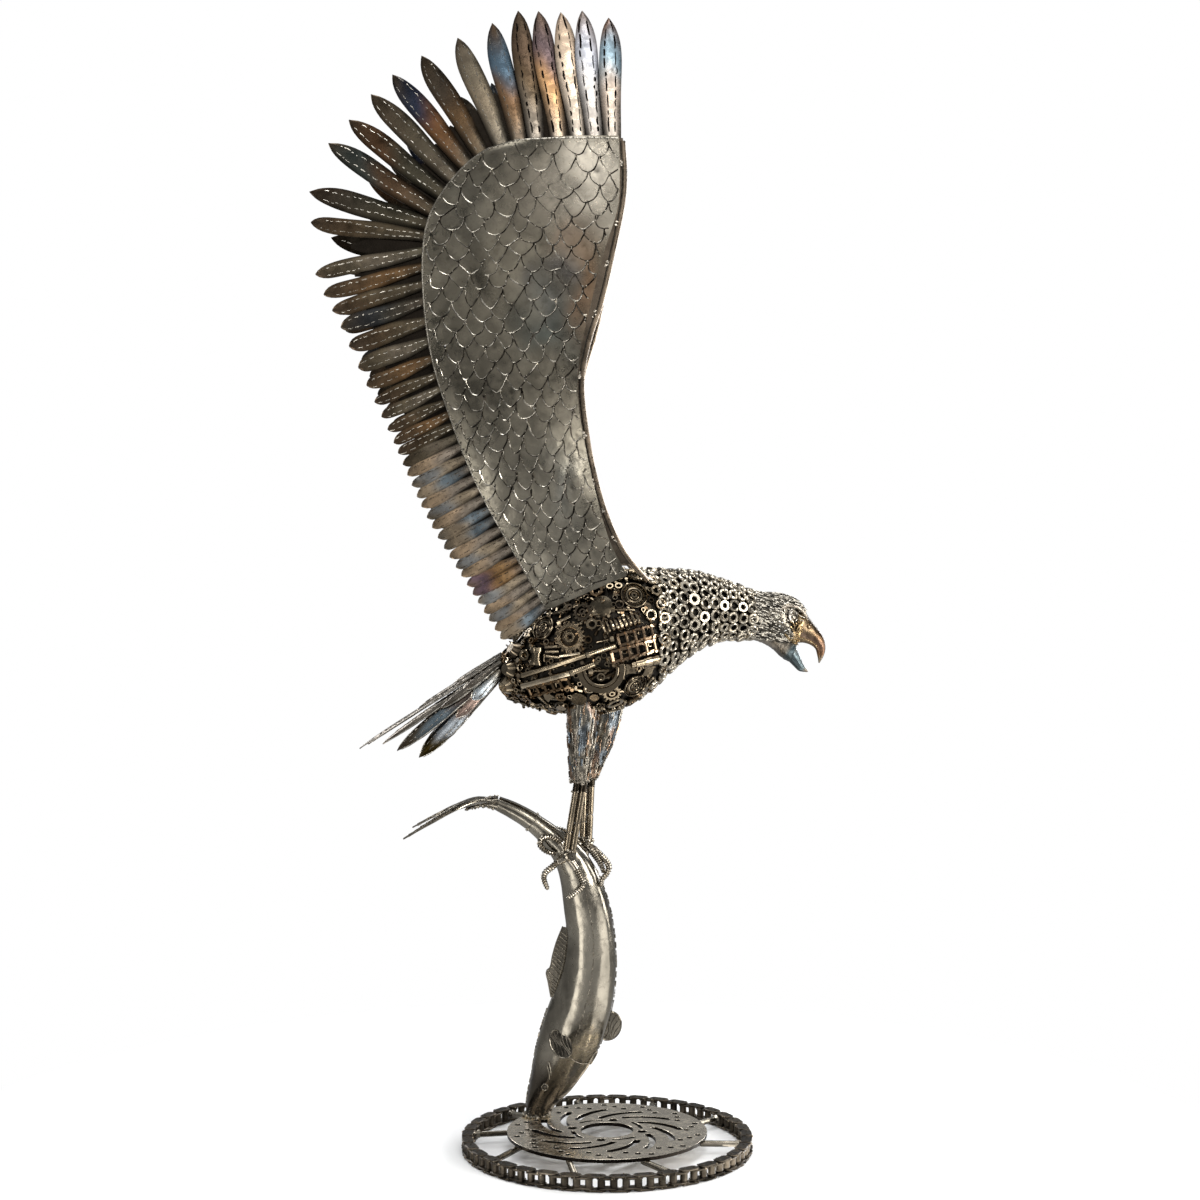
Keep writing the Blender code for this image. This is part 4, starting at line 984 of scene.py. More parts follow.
# Half width of a feather along its length, as a share: pointed, and blunt.
FEATHER_SHAPE = Track([(0.0, 0.72), (0.25, 0.84), (0.48, 0.97), (0.65, 1.0), (0.78, 0.92),
                       (0.88, 0.70), (0.95, 0.40), (1.0, 0.02)])
BLUNT_SHAPE = Track([(0.0, 0.60), (0.15, 0.70), (0.32, 0.86), (0.5, 0.98), (0.7, 1.0), (0.84, 0.94),
                     (0.92, 0.76), (0.97, 0.46), (1.0, 0.08)])
FEATHER_THICKNESS = 0.0013
GAP_SHADOW_SINK = 0.0034           # the near-black strips of painted shadow lie so far behind the feathers' middle
GAP_SHADOW_THICKNESS = 0.0006
# outline of a strip of painted shadow, as (share of its length, inset from the feathers' middles)
GAP_SHADOW_OUTLINE = ((0.0, 0.25), (0.62, 0.25), (0.86, 0.34), (1.0, 0.46))
# painted shadow: near-black, for the strips behind the gaps between feathers
GAP_SHADOW_TONE = (0.022, 0.018, 0.014)
# how far out the strip of painted shadow reaches behind each long feather, as a share of its length
GAP_SHADOW_REACH = (0.55, 0.58, 0.58, 0.58, 0.52, 0.48, 0.42, 0.38, 0.34, 0.30, 0.28, 0.26, 0.22)
SHORT_GAP_SHADOW = 0.66
STITCH_SPACING = 0.0082
STITCH_LINES = ((1, -0.52), (1, 0.52), (-1, 0.0))      # outer or inner face, place across it
BRIGHT_STITCH = (0.66, 0.62, 0.54)
DARK_STITCH = (0.020, 0.015, 0.012)
BROWN_STITCH = (0.085, 0.065, 0.048)
THIN_STITCH = 0.00042
DARK_LOOKS = {"stitch": DARK_STITCH, "stitch_size": 0.00095, "dash_scale": 2.4}
BRIGHT_ROWS = 13                # so many short feathers, from the top, have bright stitches
ROOT_GAP_SHADE = 0.82              # painted shade: how dark a feather is just inside its edges near the root, where the gap to its neighbour lies in shade
INNER_SHADE = 0.45              # how much darker a feather's inner face is
# Colours of the long feathers, front to back: root, middle, the tinted part, tip. The pale roots of the
# fifth to the ninth feathers are a painted highlight.
TINT_STATIONS = (0.0, 0.42, 0.68, 1.0)
LONG_TINTS_AND_ROOT_SHEEN = (((0.56, 0.51, 0.45), (0.60, 0.50, 0.42), (0.24, 0.33, 0.39), (0.24, 0.14, 0.095)),
              ((0.54, 0.49, 0.44), (0.60, 0.57, 0.55), (0.50, 0.52, 0.58), (0.30, 0.23, 0.19)),
              ((0.54, 0.48, 0.41), (0.64, 0.53, 0.42), (0.58, 0.46, 0.35), (0.36, 0.27, 0.20)),
              ((0.50, 0.44, 0.37), (0.50, 0.30, 0.15), (0.15, 0.105, 0.10), (0.12, 0.085, 0.065)),
              ((0.38, 0.34, 0.29), (0.12, 0.09, 0.06), (0.08, 0.055, 0.037), (0.06, 0.044, 0.03)),
              ((0.24, 0.21, 0.17), (0.15, 0.09, 0.05), (0.065, 0.10, 0.135), (0.08, 0.055, 0.036)),
              ((0.22, 0.195, 0.155), (0.19, 0.155, 0.11), (0.13, 0.11, 0.08), (0.10, 0.08, 0.058)),
              ((0.16, 0.135, 0.10), (0.12, 0.075, 0.04), (0.055, 0.042, 0.03), (0.06, 0.045, 0.03)),
              ((0.13, 0.11, 0.08), (0.14, 0.07, 0.033), (0.03, 0.034, 0.055), (0.06, 0.045, 0.03)),
              ((0.12, 0.1, 0.075), (0.09, 0.075, 0.052), (0.07, 0.055, 0.038), (0.06, 0.045, 0.03)),
              ((0.1, 0.085, 0.06), (0.075, 0.065, 0.045), (0.1, 0.055, 0.03), (0.06, 0.045, 0.03)),
              ((0.1, 0.08, 0.055), (0.095, 0.058, 0.034), (0.045, 0.05, 0.045), (0.06, 0.045, 0.03)),
              ((0.09, 0.075, 0.052), (0.075, 0.065, 0.045), (0.065, 0.055, 0.04), (0.06, 0.042, 0.028)))
DARK_STITCHED = 5               # so many feathers, from the front, have dark stitches
SHORT_ANGLE = math.radians(255)                        # lie of the trailing edge they overlap on
SHORT_WIDTHS = (0.0135, 0.0240)
# Kinds of colour of the short feathers, and the kind of each from the top down.
SHORT_TINTS = (((0.17, 0.14, 0.10), (0.18, 0.14, 0.09), (0.145, 0.10, 0.06), (0.10, 0.072, 0.05)),
               ((0.18, 0.145, 0.1), (0.3, 0.175, 0.085), (0.19, 0.12, 0.066), (0.12, 0.085, 0.055)),
               ((0.18, 0.145, 0.11), (0.13, 0.115, 0.09), (0.072, 0.075, 0.078), (0.11, 0.085, 0.06)),
               ((0.2, 0.175, 0.125), (0.23, 0.19, 0.14), (0.18, 0.145, 0.096), (0.1, 0.072, 0.05)),
               ((0.42, 0.36, 0.29), (0.46, 0.38, 0.30), (0.56, 0.41, 0.27), (0.24, 0.18, 0.12)),
               ((0.40, 0.34, 0.27), (0.26, 0.32, 0.36), (0.52, 0.41, 0.29), (0.20, 0.17, 0.13)),
               ((0.44, 0.38, 0.30), (0.55, 0.44, 0.31), (0.34, 0.34, 0.33), (0.24, 0.20, 0.15)),
               ((0.40, 0.32, 0.25), (0.62, 0.36, 0.16), (0.23, 0.15, 0.17), (0.20, 0.14, 0.10)))
SHORT_ORDER = "03102031030103465464554647764645"


def tints(rows):
    """Function that gives a feather's colour at a share of its length."""
    return Track([(t, *row) for t, row in zip(TINT_STATIONS, rows)], 60)


def feather(build, length, width, place, palette, seed, root=FEATHER_TUCK, crown=0.05,
            stitch=BRIGHT_STITCH, stitch_size=THIN_STITCH, outline=FEATHER_SHAPE,
            dash_scale=1.0):
    """One feather: a crowned, pointed sheet with two stitched lines of weld on its outer face
    and one on its inner face.

    place(a, b, c) puts a point a along the feather, b across it and c out of it in space.
    """
    rng = np.random.default_rng(seed)
    t = 1.0 - (1.0 - np.linspace(0.0, 1.0, FEATHER_STATIONS)) ** 1.25
    half = outline(t)[:, 0] * width / 2
    s = np.linspace(-1.0, 1.0, FEATHER_ACROSS)
    a = -root + (length + root) * t
    waver = 0.0006 * np.sin(np.linspace(0, 9, FEATHER_STATIONS) + seed)
    gain = rng.uniform(0.85, 1.15)
    uneven = 0.05 * np.sin(2.5 * s + seed) + 0.06 * np.outer(np.sin(9.0 * t + 1.7 * seed), s)
    colours = palette(np.clip(t[:, None] + uneven + rng.uniform(-0.06, 0.06), 0, 1)) * gain
    # Darker along both edges; near the root a painted shade, almost black at the edges (outer) and just
    # inside them (inside), where the gaps between feathers lie in shade.
    edge = np.abs(s) > 0.9
    outer = np.clip(1.0 - t / 0.74, 0.0, 1.0)[:, None] ** 0.5
    inside = np.clip(1.0 - t / 0.50, 0.0, 1.0)[:, None] ** 0.6
    shade = (1.0 - 0.36 * edge) * (1.0 - 0.97 * outer * edge)
    shade = shade * (1.0 - ROOT_GAP_SHADE * inside * ((np.abs(s) > 0.6) & ~edge))
    rims = []
    for up in (1, -1):
        rise = up * FEATHER_THICKNESS / 2 * (1 - 0.5 * s ** 6)
        points = np.array([[place(along_it, reach * q + sway * abs(q), h)
                            for q, h in zip(s, crown * reach * (1 - s ** 2) + rise)]
                           for along_it, reach, sway in zip(a, half, waver)])
        tones = colours * shade[:, :, None] * (1.0 if up > 0 else INNER_SHADE)
        build.add((points.reshape(-1, 3), grid_faces(FEATHER_STATIONS, FEATHER_ACROSS)),
                  tones.reshape(-1, 3))
        rims.append(rim_of(points))
    rim_band(build, rims, colours.mean((0, 1)) * 1.2)
    for up, line in STITCH_LINES:
        drift = 0.0
        run = length * 0.04
        while run < length * 0.90:
            dash = rng.uniform(0.20, 0.85) * STITCH_SPACING * dash_scale
            ts = np.array([run, run + dash * 0.5, run + dash]) / length
            halves = outline(ts)[:, 0] * width / 2
            drift = 0.6 * drift + rng.uniform(-0.09, 0.09)
            q = line * (0.80 + 0.25 * ts) + drift
            q[1] += rng.uniform(-0.08, 0.08)
            c = crown * halves * (1 - q ** 2) + up * FEATHER_THICKNESS / 2
            points = [place(r * length, w * z, h) for r, w, z, h in zip(ts, halves, q, c)]
            size = stitch_size * rng.uniform(0.5, 1.35)
            build.add(tube(points, [size * 0.7, size, size * 0.7], 4),
                      np.array(stitch) * rng.uniform(0.6, 1.2), 1)
            run += dash + rng.uniform(0.2, 0.55) * STITCH_SPACING


def wing_frame(base, angle, roll, side):
    """Function that places points of a flat feather on one wing, at base given as (x, z)."""
    away = wing_distance(base[1]) - BLADE_THICKNESS / 2 - FEATHER_INSET
    run = np.array((math.cos(angle), 0.0, math.sin(angle)))
    across = np.array((-math.sin(angle), 0.0, math.cos(angle)))
    across = across * math.cos(roll) + (0.0, side * math.sin(roll), 0.0)
    normal = np.cross(run, across)
    if normal[1] * side < 0:
        normal = -normal
    origin = np.array((base[0], side * away, base[1]))

    def place(a, b, c):
        point = origin + run * a + across * b + normal * c
        x, z = swing(side, point[0], point[2])
        return (x, point[1], z)
    return place


def gap_shadow_ring(place, high):
    """Four points round the edge of the strip of painted shadow behind one feather."""
    front = -GAP_SHADOW_SINK
    back = -GAP_SHADOW_SINK - GAP_SHADOW_THICKNESS
    return np.array([place(a, 0.0, c) for a, c in ((-FEATHER_TUCK, front), (-FEATHER_TUCK, back),
                                                   (high, back), (high, front))])


def primaries(side, suffix):
    """The long feathers round the wing's tip; returns the rings of their strips of painted shadow."""
    gap_shadows = []
    rim, _ = by_length([LEADING_EDGE[-1], WING_TIP_EDGE, *reversed(TRAILING_EDGE)])
    for k, (distance, degrees, length) in enumerate(PRIMARIES):
        build = Build()
        place = wing_frame(smooth(rim, distance), math.radians(degrees), FEATHER_ROLL, side)
        gap_shadows.append(gap_shadow_ring(place, length * GAP_SHADOW_REACH[k]))
        feather(build, length, FEATHER_WIDTH, place, tints(LONG_TINTS_AND_ROOT_SHEEN[k]),
                100 * (k + 1) + side, **(DARK_LOOKS if k < DARK_STITCHED else {}))
        build.finish(f"long_feather_{k + 1}_{suffix}", "feather weld", "wing_feathers",
                     f"primary_feather_{k + 1}_{suffix}", sharp=40)
    return gap_shadows


def trailing_feathers(side, suffix):
    """The row of shorter feathers down the trailing edge, each lapping over the next; returns the rings
    of their strips of painted shadow."""
    build = Build()
    gap_shadows = []
    edge = Track([(z, x) for x, z in TRAILING_EDGE[:8]])
    rows = [smooth(TRAILING_ROW, k) for k in range(TRAILING_FEATHERS)]
    bases = [(edge(row[0])[0], row[0]) for row in rows]
    for k, (_, degrees, length) in enumerate(rows):
        angle = math.radians(degrees)
        n = min(k + 1, TRAILING_FEATHERS - 1)
        m = max(k - 1, 0)
        spacing = math.dist(bases[n], bases[m]) / (n - m) * abs(math.sin(angle - SHORT_ANGLE))
        width = min(max(spacing * 1.12, SHORT_WIDTHS[0]), SHORT_WIDTHS[1])
        place = wing_frame(bases[k], angle, -FEATHER_ROLL, side)
        gap_shadows.append(gap_shadow_ring(place, length * SHORT_GAP_SHADOW))
        feather(build, length, width, place, tints(SHORT_TINTS[int(SHORT_ORDER[k])]),
                3000 + 10 * k + side, outline=BLUNT_SHAPE,
                stitch=BRIGHT_STITCH if k < BRIGHT_ROWS else BROWN_STITCH)
    build.finish(f"short_feathers_{suffix}", "feather weld", "wing_feathers",
                 f"trailing_feathers_{suffix}", sharp=40)
    return gap_shadows


def gap_shadow_strip(first, second):
    """Narrow pointed near-black strip behind the gap between two neighbouring feathers: a painted
    shadow.
    """
    rings = []
    for share, inset in GAP_SHADOW_OUTLINE:
        a, b = (ring[:2] + (ring[3:1:-1] - ring[:2]) * share for ring in (first, second))
        rings.append([*(a + (b - a) * inset), *(b + (a - b) * inset)[::-1]])
    return skin(rings)


def wings():
    for side, suffix in SIDES:
        wing_blade(side, suffix)
        edge_rod(side, suffix)
        build = Build()
        # near-black strips behind the gaps between feathers paint their shadow
        for rings in (primaries(side, suffix), trailing_feathers(side, suffix)):
            for first, second in zip(rings, rings[1:]):
                build.add(gap_shadow_strip(first, second), GAP_SHADOW_TONE)
        build.finish(f"feather_backing_{suffix}", "feather", "wing_feathers")


# ---------------------------------------------------------------- shapes of scrap
HOLLOW_GRIME_AND_SHADE = 0.10                    # grime and painted shade: how dark the lowest parts of a piece of scrap are
OILY = np.array((1.00, 0.90, 0.76))
SUNK = -0.002                   # pieces of scrap reach this far into what they lie on


def oily_with_painted_shade(points, tone, fall=1.9, cast=OILY):
    """Tones of a piece of scrap from its heights: its oily tint, with grime and painted shade that
    darken its hollows and lower sides, and a painted highlight that lightens its top.
    """
    low = max(points[:, 2].min(), -0.25 * points[:, 2].max())
    share = np.clip((points[:, 2] - low) / (points[:, 2].max() - low), 0.0, 1.0)
    return np.asarray(tone) * cast * (HOLLOW_GRIME_AND_SHADE + (1.25 - HOLLOW_GRIME_AND_SHADE) * share ** fall)[:, None]


def washer(outer, inner, height, sides=18):
    """Flat ring with rounded edges, standing on z = 0."""
    return lathe(((inner, SUNK), (outer * 0.97, SUNK), (outer, height * 0.4),
                  (outer * 0.86, height), (inner * 1.35, height), (inner, height * 0.5)),
                 sides, ring=True)


def domed(outer, inner, height, sides):
    """Ring with a rounded upper face, standing on z = 0."""
    wall = outer - inner
    return lathe(((inner, SUNK), (outer * 0.97, SUNK), (outer, height * 0.3),
                  (outer - wall * 0.20, height * 0.80), (outer - wall * 0.5, height),
                  (inner + wall * 0.18, height * 0.70), (inner, height * 0.2)), sides, ring=True)


def hex_nut(radius, hole, height):
    """Six-sided nut standing on z = 0, its upper corners turned down."""
    return lathe(((hole, SUNK), (radius, SUNK, 1), (radius, height * 0.75, 1),
                  (radius * 0.86, height), (hole * 1.2, height), (hole, height * 0.8)),
                 24, ring=True, corners=6)


# Section of a bearing's shield, as shares of the bearing's radius and height.
SHIELD = ((0.91, 0.10), (0.70, 0.10), (0.68, 0.15), (0.62, 0.15), (0.60, 0.60), (0.50, 0.70),
          (0.48, 0.20), (0.30, 0.20))


def bearing(r, height):
    """Ball bearing: two races, a recessed shield with a groove, balls and a nut in the bore."""
    shield = [(r * 0.30, SUNK), (r * 0.92, SUNK)]
    shield += [(r * a, height * b) for a, b in SHIELD]
    balls = [put(bead(r * 0.055, r * 0.06), (x, y, height * 0.45))
             for x, y in ring_points(r * 0.81, 9)]
    return join(domed(r, r * 0.86, height, 32), domed(r * 0.76, r * 0.64, height * 0.8, 28),
                lathe(shield, 32, ring=True), domed(r * 0.42, r * 0.26, height * 1.1, 24),
                *balls, hex_nut(r * 0.25, r * 0.08, height * 0.8))


def polar(radius, angle):
    """Point of the plane at an angle, or row of points at several."""
    return np.stack([radius * np.cos(angle), radius * np.sin(angle)], axis=-1)


def gear(radius, teeth, height):
    """Spur gear with a rim, a raised hub ring and a nut in its middle."""
    valley = radius * 0.86
    outline = [polar(reach, 2 * math.pi * (k + share) / teeth) for k in range(teeth)
               for share, reach in ((-0.29, valley), (-0.21, radius), (0.21, radius),
                                    (0.29, valley))]
    return join(plate(outline, height, (ring_points(radius * 0.60, 24),)),
                washer(radius * 0.62, radius * 0.10, height * 0.12, 24),
                domed(radius * 0.64, radius * 0.55, height + 0.0004, 24),
                hex_nut(radius * 0.38, radius * 0.15, height + 0.0008))


def screw(length, radius, head, pitch=0.0010, smooth_share=0.0):
    """Bolt lying along X: hex head first, then a plain part, then thread."""
    start = head * 1.1
    xs = [start, start + (length - start) * smooth_share]
    radii = [radius, radius]
    while xs[-1] < length:
        xs.append(xs[-1] + pitch / 2)
        radii.append(radius * (1.0 if len(xs) % 2 == 0 else 0.84))
    xs = np.array(xs)
    keep = np.append(True, np.diff(xs) > 1e-6)
    line = xs[keep][:, None] * (1, 0, 0)
    return join(tube([(0, 0, 0), (start, 0, 0)], head, 6, math.pi / 6),
                tube(line, np.array(radii)[keep], 10))


def coil(length, radius, wire, rounds):
    """Coil spring along X."""
    count = rounds * 12 + 1
    around = polar(radius, np.linspace(0.0, 2 * math.pi * rounds, count))
    return tube(np.column_stack([np.linspace(0.0, length, count), around]), wire, 6)


def chain_strip(length, width, pitch):
    """Piece of small chain lying along X: rails, rollers and their riveted ends."""
    half = width / 2
    count = max(int(length / pitch) * 2 + 1, 3)
    parts = []
    for side in (-1, 1):
        for layer, reach in ((0, 0.0), (1, 0.0012)):
            line = [(x, side * (half - reach), 0.0012 - 0.0006 * layer)
                    for x in np.linspace(0.0, length, count)]
            parts.append(tube(line, [0.0011 if (k + layer) % 2 else 0.0022
                                     for k in range(count)], 6))
    for x in pitch * np.arange(int(length / pitch) + 1):
        parts.append(tube([(x, -half, 0.0012), (x, half, 0.0012)], 0.0020, 8))
        parts += [put(bead(0.0024, 0.0030, 7), (x, side * half, 0.0016)) for side in (-1, 1)]
    return join(*parts)


def stepped(shares, radii, length, radius):
    """Turned cylinder along X whose radius changes in steps, given as shares."""
    line = []
    x = 0.0
    for share in shares:
        line += [(x, 0.0, 0.0), (x + length * share, 0.0, 0.0)]
        x += length * share + 0.00005
    return tube(line, radius * np.repeat(radii, 2), 16)


def star_plate(size, thickness=0.0018):
    """Four-pointed plate with hollow sides."""
    return plate([polar(size * reach, (k + share) * math.pi / 2) for k in range(4)
                  for share, reach in ((0.0, 1.0), (0.28, 0.66), (0.5, 0.62), (0.72, 0.66))],
                 thickness)


def arc_band(radius, width, start, end, thickness):
    """Part of a flat ring, between two angles in degrees."""
    angles = np.radians(np.linspace(start, end, 22))
    return plate([*polar(radius, angles), *polar(radius - width, angles[::-1])], thickness,
                 edge=0.0004)


# ---------------------------------------------------------------- body and neck
STEEL = np.array((0.27, 0.243, 0.198))
DARK = np.array((0.115, 0.102, 0.085))
BRIGHT = np.array((0.52, 0.485, 0.42))
BRASS = np.array((0.165, 0.125, 0.085))
GEAR = np.array((0.40, 0.345, 0.27))
CHAIN_BROWN = np.array((0.33, 0.26, 0.20))
SHELL_SIDES = 96
SHELL_STATIONS = 90
SHELL_DEPTH = 0.0045
RUBBLE = 360                    # small bits on each flank
RUBBLE_DEPTH = 0.0026
RUBBLE_ENDS = (-0.074, 0.084)
SOCKET = 0.0012                 # how far a piece of scrap sits in the body, and a long one
RUN_SOCKET = 0.0015
SCRAP_END = 0.0815              # the flank's scrap ends here and the washers begin
FLANK_LOW = 0.500               # between these heights the scrap on the flanks is laid one by one
FLANK_HIGH = 0.626
NECK_START = 0.0735
NECK_END = 0.1935
WASHER_SIZES = (0.0072, 0.0063) # radius of the washers on the breast and at the head
WASHER_SPACING = 1.86
WASHER_ROWS = 1.56
NUT_SHARE = 0.22                # so many of them are nuts
DOUBLE_SHARE = 0.25             # and so many have a second ring in them
LOOSE_SIZES = (0.0105, 0.0085, 0.0068, 0.0052, 0.0040, 0.0030)
LOOSE_TRIES = 900
LOOSE_END = 0.092
WASHERS_FROM = 0.0715           # past this the back and the belly have washers only
LOOSE_KINDS = ("nut", "ring", "gear", "bearing", "bolt", "nut", "ring", "disc", "knob")
LOOSE_TONES = (STEEL, STEEL, DARK * 1.6, BRASS, BRIGHT)
BACK_RODS = 70
BELLY_TEETH = 44
BELLY_PITCH = 0.0022

# Scrap on the flank: kind, x, z, size, turn in degrees, lift, colour.
FLANK = (("bearing", 0.0637, 0.6080, 0.0150, 0, 0.0000, STEEL * 1.0),
         ("disc", 0.0284, 0.5966, 0.0123, 0, -0.0020, (0.075, 0.070, 0.058)),
         ("nut", 0.0380, 0.6170, 0.0044, 10, 0.0, STEEL * 0.8),
         ("nut", 0.0472, 0.6175, 0.0046, 30, 0.0, STEEL * 0.8),
         ("nut", 0.0187, 0.5773, 0.0068, 5, 0.0012, STEEL * 1.1),
         ("gear", -0.0048, 0.5634, 0.0171, 4, -0.0008, GEAR),
         ("gear", 0.0085, 0.5905, 0.0110, 12, -0.0020, DARK),
         ("bearing", -0.0337, 0.5731, 0.0140, 0, -0.0005, STEEL * 0.8),
         ("ring", -0.0583, 0.5303, 0.0043, 0, 0.0012, STEEL * 1.3),
         ("bearing", 0.0647, 0.5110, 0.0138, 0, 0.0, STEEL * 0.8),
         ("star", 0.0605, 0.5292, 0.0085, 45, -0.0012, STEEL * 0.9),
         ("star", 0.0800, 0.5262, 0.0095, 20, -0.0012, STEEL * 1.0),
         ("ring", 0.0818, 0.5870, 0.0068, 0, 0.0010, BRIGHT * 1.15),
         ("ring", 0.0963, 0.5837, 0.0066, 0, 0.0014, BRIGHT * 1.15),
         ("ring", 0.0925, 0.5987, 0.0062, 0, 0.0008, STEEL * 1.2),
         ("nut", 0.0872, 0.6126, 0.0068, 12, 0.0008, STEEL * 1.1),
         ("ring", 0.0829, 0.6240, 0.0060, 0, 0.0005, STEEL),
         ("ring", 0.0979, 0.5581, 0.0064, 0, 0.0010, BRIGHT),
         ("nut", 0.0040, 0.6060, 0.0052, 0, -0.0010, DARK * 1.3),
         ("nut", -0.0060, 0.5950, 0.0048, 20, -0.0010, DARK * 1.3),
         ("nut", 0.0150, 0.5610, 0.0048, 8, 0.0, BRASS),
         ("ring", 0.0480, 0.5985, 0.0052, 0, 0.0, DARK * 1.4),
         ("nut", -0.0460, 0.5590, 0.0040, 0, 0.0, BRASS * 1.2),
         ("nut", 0.0284, 0.5215, 0.0052, 18, 0.0, STEEL * 0.9),
         ("star", -0.0300, 0.4990, 0.0090, 10, -0.0010, STEEL * 0.6),
         ("disc", 0.0040, 0.4960, 0.0090, 0, -0.0010, (0.08, 0.07, 0.055)))

# Rods and strips that lie along the flank: kind, start, end, radius or width, lift, colour.
FLANK_RUNS = (("screw", (0.0391, 0.5925), (0.0637, 0.5925), 0.0019, 0.0015, STEEL * 1.1),
              ("coil", (0.0294, 0.5731), (0.0700, 0.5840), 0.0062, 0.0022, STEEL * 1.1),
              ("strip", (0.0466, 0.5600), (0.0880, 0.5712), 0.0125, 0.0012, CHAIN_BROWN),
              ("strip", (0.0401, 0.5425), (0.0883, 0.5555), 0.0125, 0.0012, CHAIN_BROWN),
              ("rod", (-0.0560, 0.5215), (0.0131, 0.5442), 0.0032, 0.0026, STEEL * 0.95),
              ("thread", (0.0131, 0.5442), (0.0440, 0.5545), 0.0033, 0.0034, STEEL * 1.2),
              ("rod", (-0.0560, 0.5105), (-0.0037, 0.5252), 0.0036, 0.0028, BRIGHT * 0.8),
              ("thread", (-0.0037, 0.5252), (0.0225, 0.5350), 0.0035, 0.0034, STEEL * 1.2),
              ("plug", (0.0600, 0.5340), (0.0880, 0.5402), 0.0056, 0.0036, STEEL * 1.3),
              ("screw", (0.0155, 0.5275), (0.0370, 0.5280), 0.0021, 0.0016, STEEL * 1.15),
              ("screw", (0.0420, 0.5620), (0.0235, 0.5580), 0.0019, 0.0014, STEEL * 1.1),
              ("rod", (-0.0155, 0.5431), (0.0065, 0.5465), 0.0017, 0.0022, BRIGHT * 0.9),
              ("strip", (-0.0480, 0.5040), (-0.0016, 0.5165), 0.0105, 0.0006, BRASS * 0.9),
              ("spool", (-0.0415, 0.5330), (-0.0405, 0.5515), 0.0082, 0.0010, STEEL * 0.9),
              ("rod", (-0.0300, 0.5430), (-0.0150, 0.5415), 0.0018, 0.0022, STEEL),
              ("rod", (-0.0305, 0.5475), (-0.0160, 0.5480), 0.0018, 0.0022, STEEL),
              ("rod", (-0.0310, 0.5525), (-0.0175, 0.5535), 0.0018, 0.0022, STEEL),
              ("coil", (0.0968, 0.5330), (0.0940, 0.5230), 0.0040, 0.0, DARK * 1.5),
              ("rod", (-0.0240, 0.5885), (0.0060, 0.5990), 0.0016, 0.0000, DARK * 1.4),
              ("screw", (-0.0180, 0.5780), (-0.0040, 0.5860), 0.0018, 0.0008, STEEL * 0.8))
# Half rings round the small bolt: radius, width, first and last degree, thickness, colour.
BOLT_MIDDLE = (0.0284, 0.5292)
HALF_RINGS = ((0.0257, 0.0058, 185, 375, 0.0030, STEEL * 0.55),
              (0.0190, 0.0030, 180, 370, 0.0042, STEEL * 0.75))
# Turned pieces, as shares of their length and radius.
PLUG = ((0.16, 0.30, 0.04, 0.22, 0.05, 0.23), (0.55, 0.74, 0.90, 1, 0.86, 0.98))
SPOOL = ((0.14, 0.10, 0.46, 0.10, 0.20), (1, 0.84, 0.62, 0.84, 1))


def lay(build, shape, place, rotation, tone, *shade_and_tint):
    """A piece of scrap on the body, with its oily tint and painted shade from its heights."""
    build.add(put(shape, place, rotation), oily_with_painted_shade(shape[0], tone, *shade_and_tint))


def body_point(x, angle, lift=0.0):
    """Point of the body's surface at x and an angle from +Y over the top."""
    low, high, width, square = np.moveaxis(BODY_TRACK(x), -1, 0)
    c = np.cos(angle)
    s = np.sin(angle)
    reach = (np.abs(c) ** square + np.abs(s) ** square) ** (-1.0 / square)
    y = (width + lift) * reach * c
    z = (low + high) / 2 + ((high - low) / 2 + lift) * reach * s
    return np.stack([np.broadcast_to(x, y.shape), y, z], axis=-1)


def body_normal(point):
    """Outward direction of the body's surface at a point on it."""
    def level(p):
        low, high, width, square = BODY_TRACK(p[0])
        u = abs(p[1]) / width
        v = abs(p[2] - (low + high) / 2) / ((high - low) / 2)
        return u ** square + v ** square
    steps = 0.0004 * np.eye(3)
    return unit([level(point + step) - level(point - step) for step in steps])


def flank_point(side, x, z, lift=0.0):
    """Point on one flank at x and z, and the outward direction there."""
    point = np.array((x, side * float(body_reach(x, z)), z))
    normal = body_normal(point)
    return point + normal * lift, normal


def body_shell():
    """The dark lumpy inside that shows between the pieces of scrap; its near-black tone is painted
    shadow.
    """
    build = Build()
    stations = np.linspace(BODY[0][0] + 0.003, BODY[-1][0], SHELL_STATIONS)
    rings = np.array([body_point(np.full(SHELL_SIDES, x), turns(SHELL_SIDES), -SHELL_DEPTH)
                      for x in stations])
    flat = rings.reshape(-1, 3)
    lumps = 0.0012 * rumple(flat, 160) + 0.0008 * rumple(flat, 420, 3)
    away = flat * (0, 1, 1)
    away[:, 2] -= np.repeat(rings[..., 2].mean(1), SHELL_SIDES)
    flat = flat + unit(away) * lumps[:, None]
    # painted shadow: near-black
    build.add(skin(flat.reshape(rings.shape)), DARK * 0.25)
    build.finish("body_shell", "shadow", "body_scrap", "eagle_body")


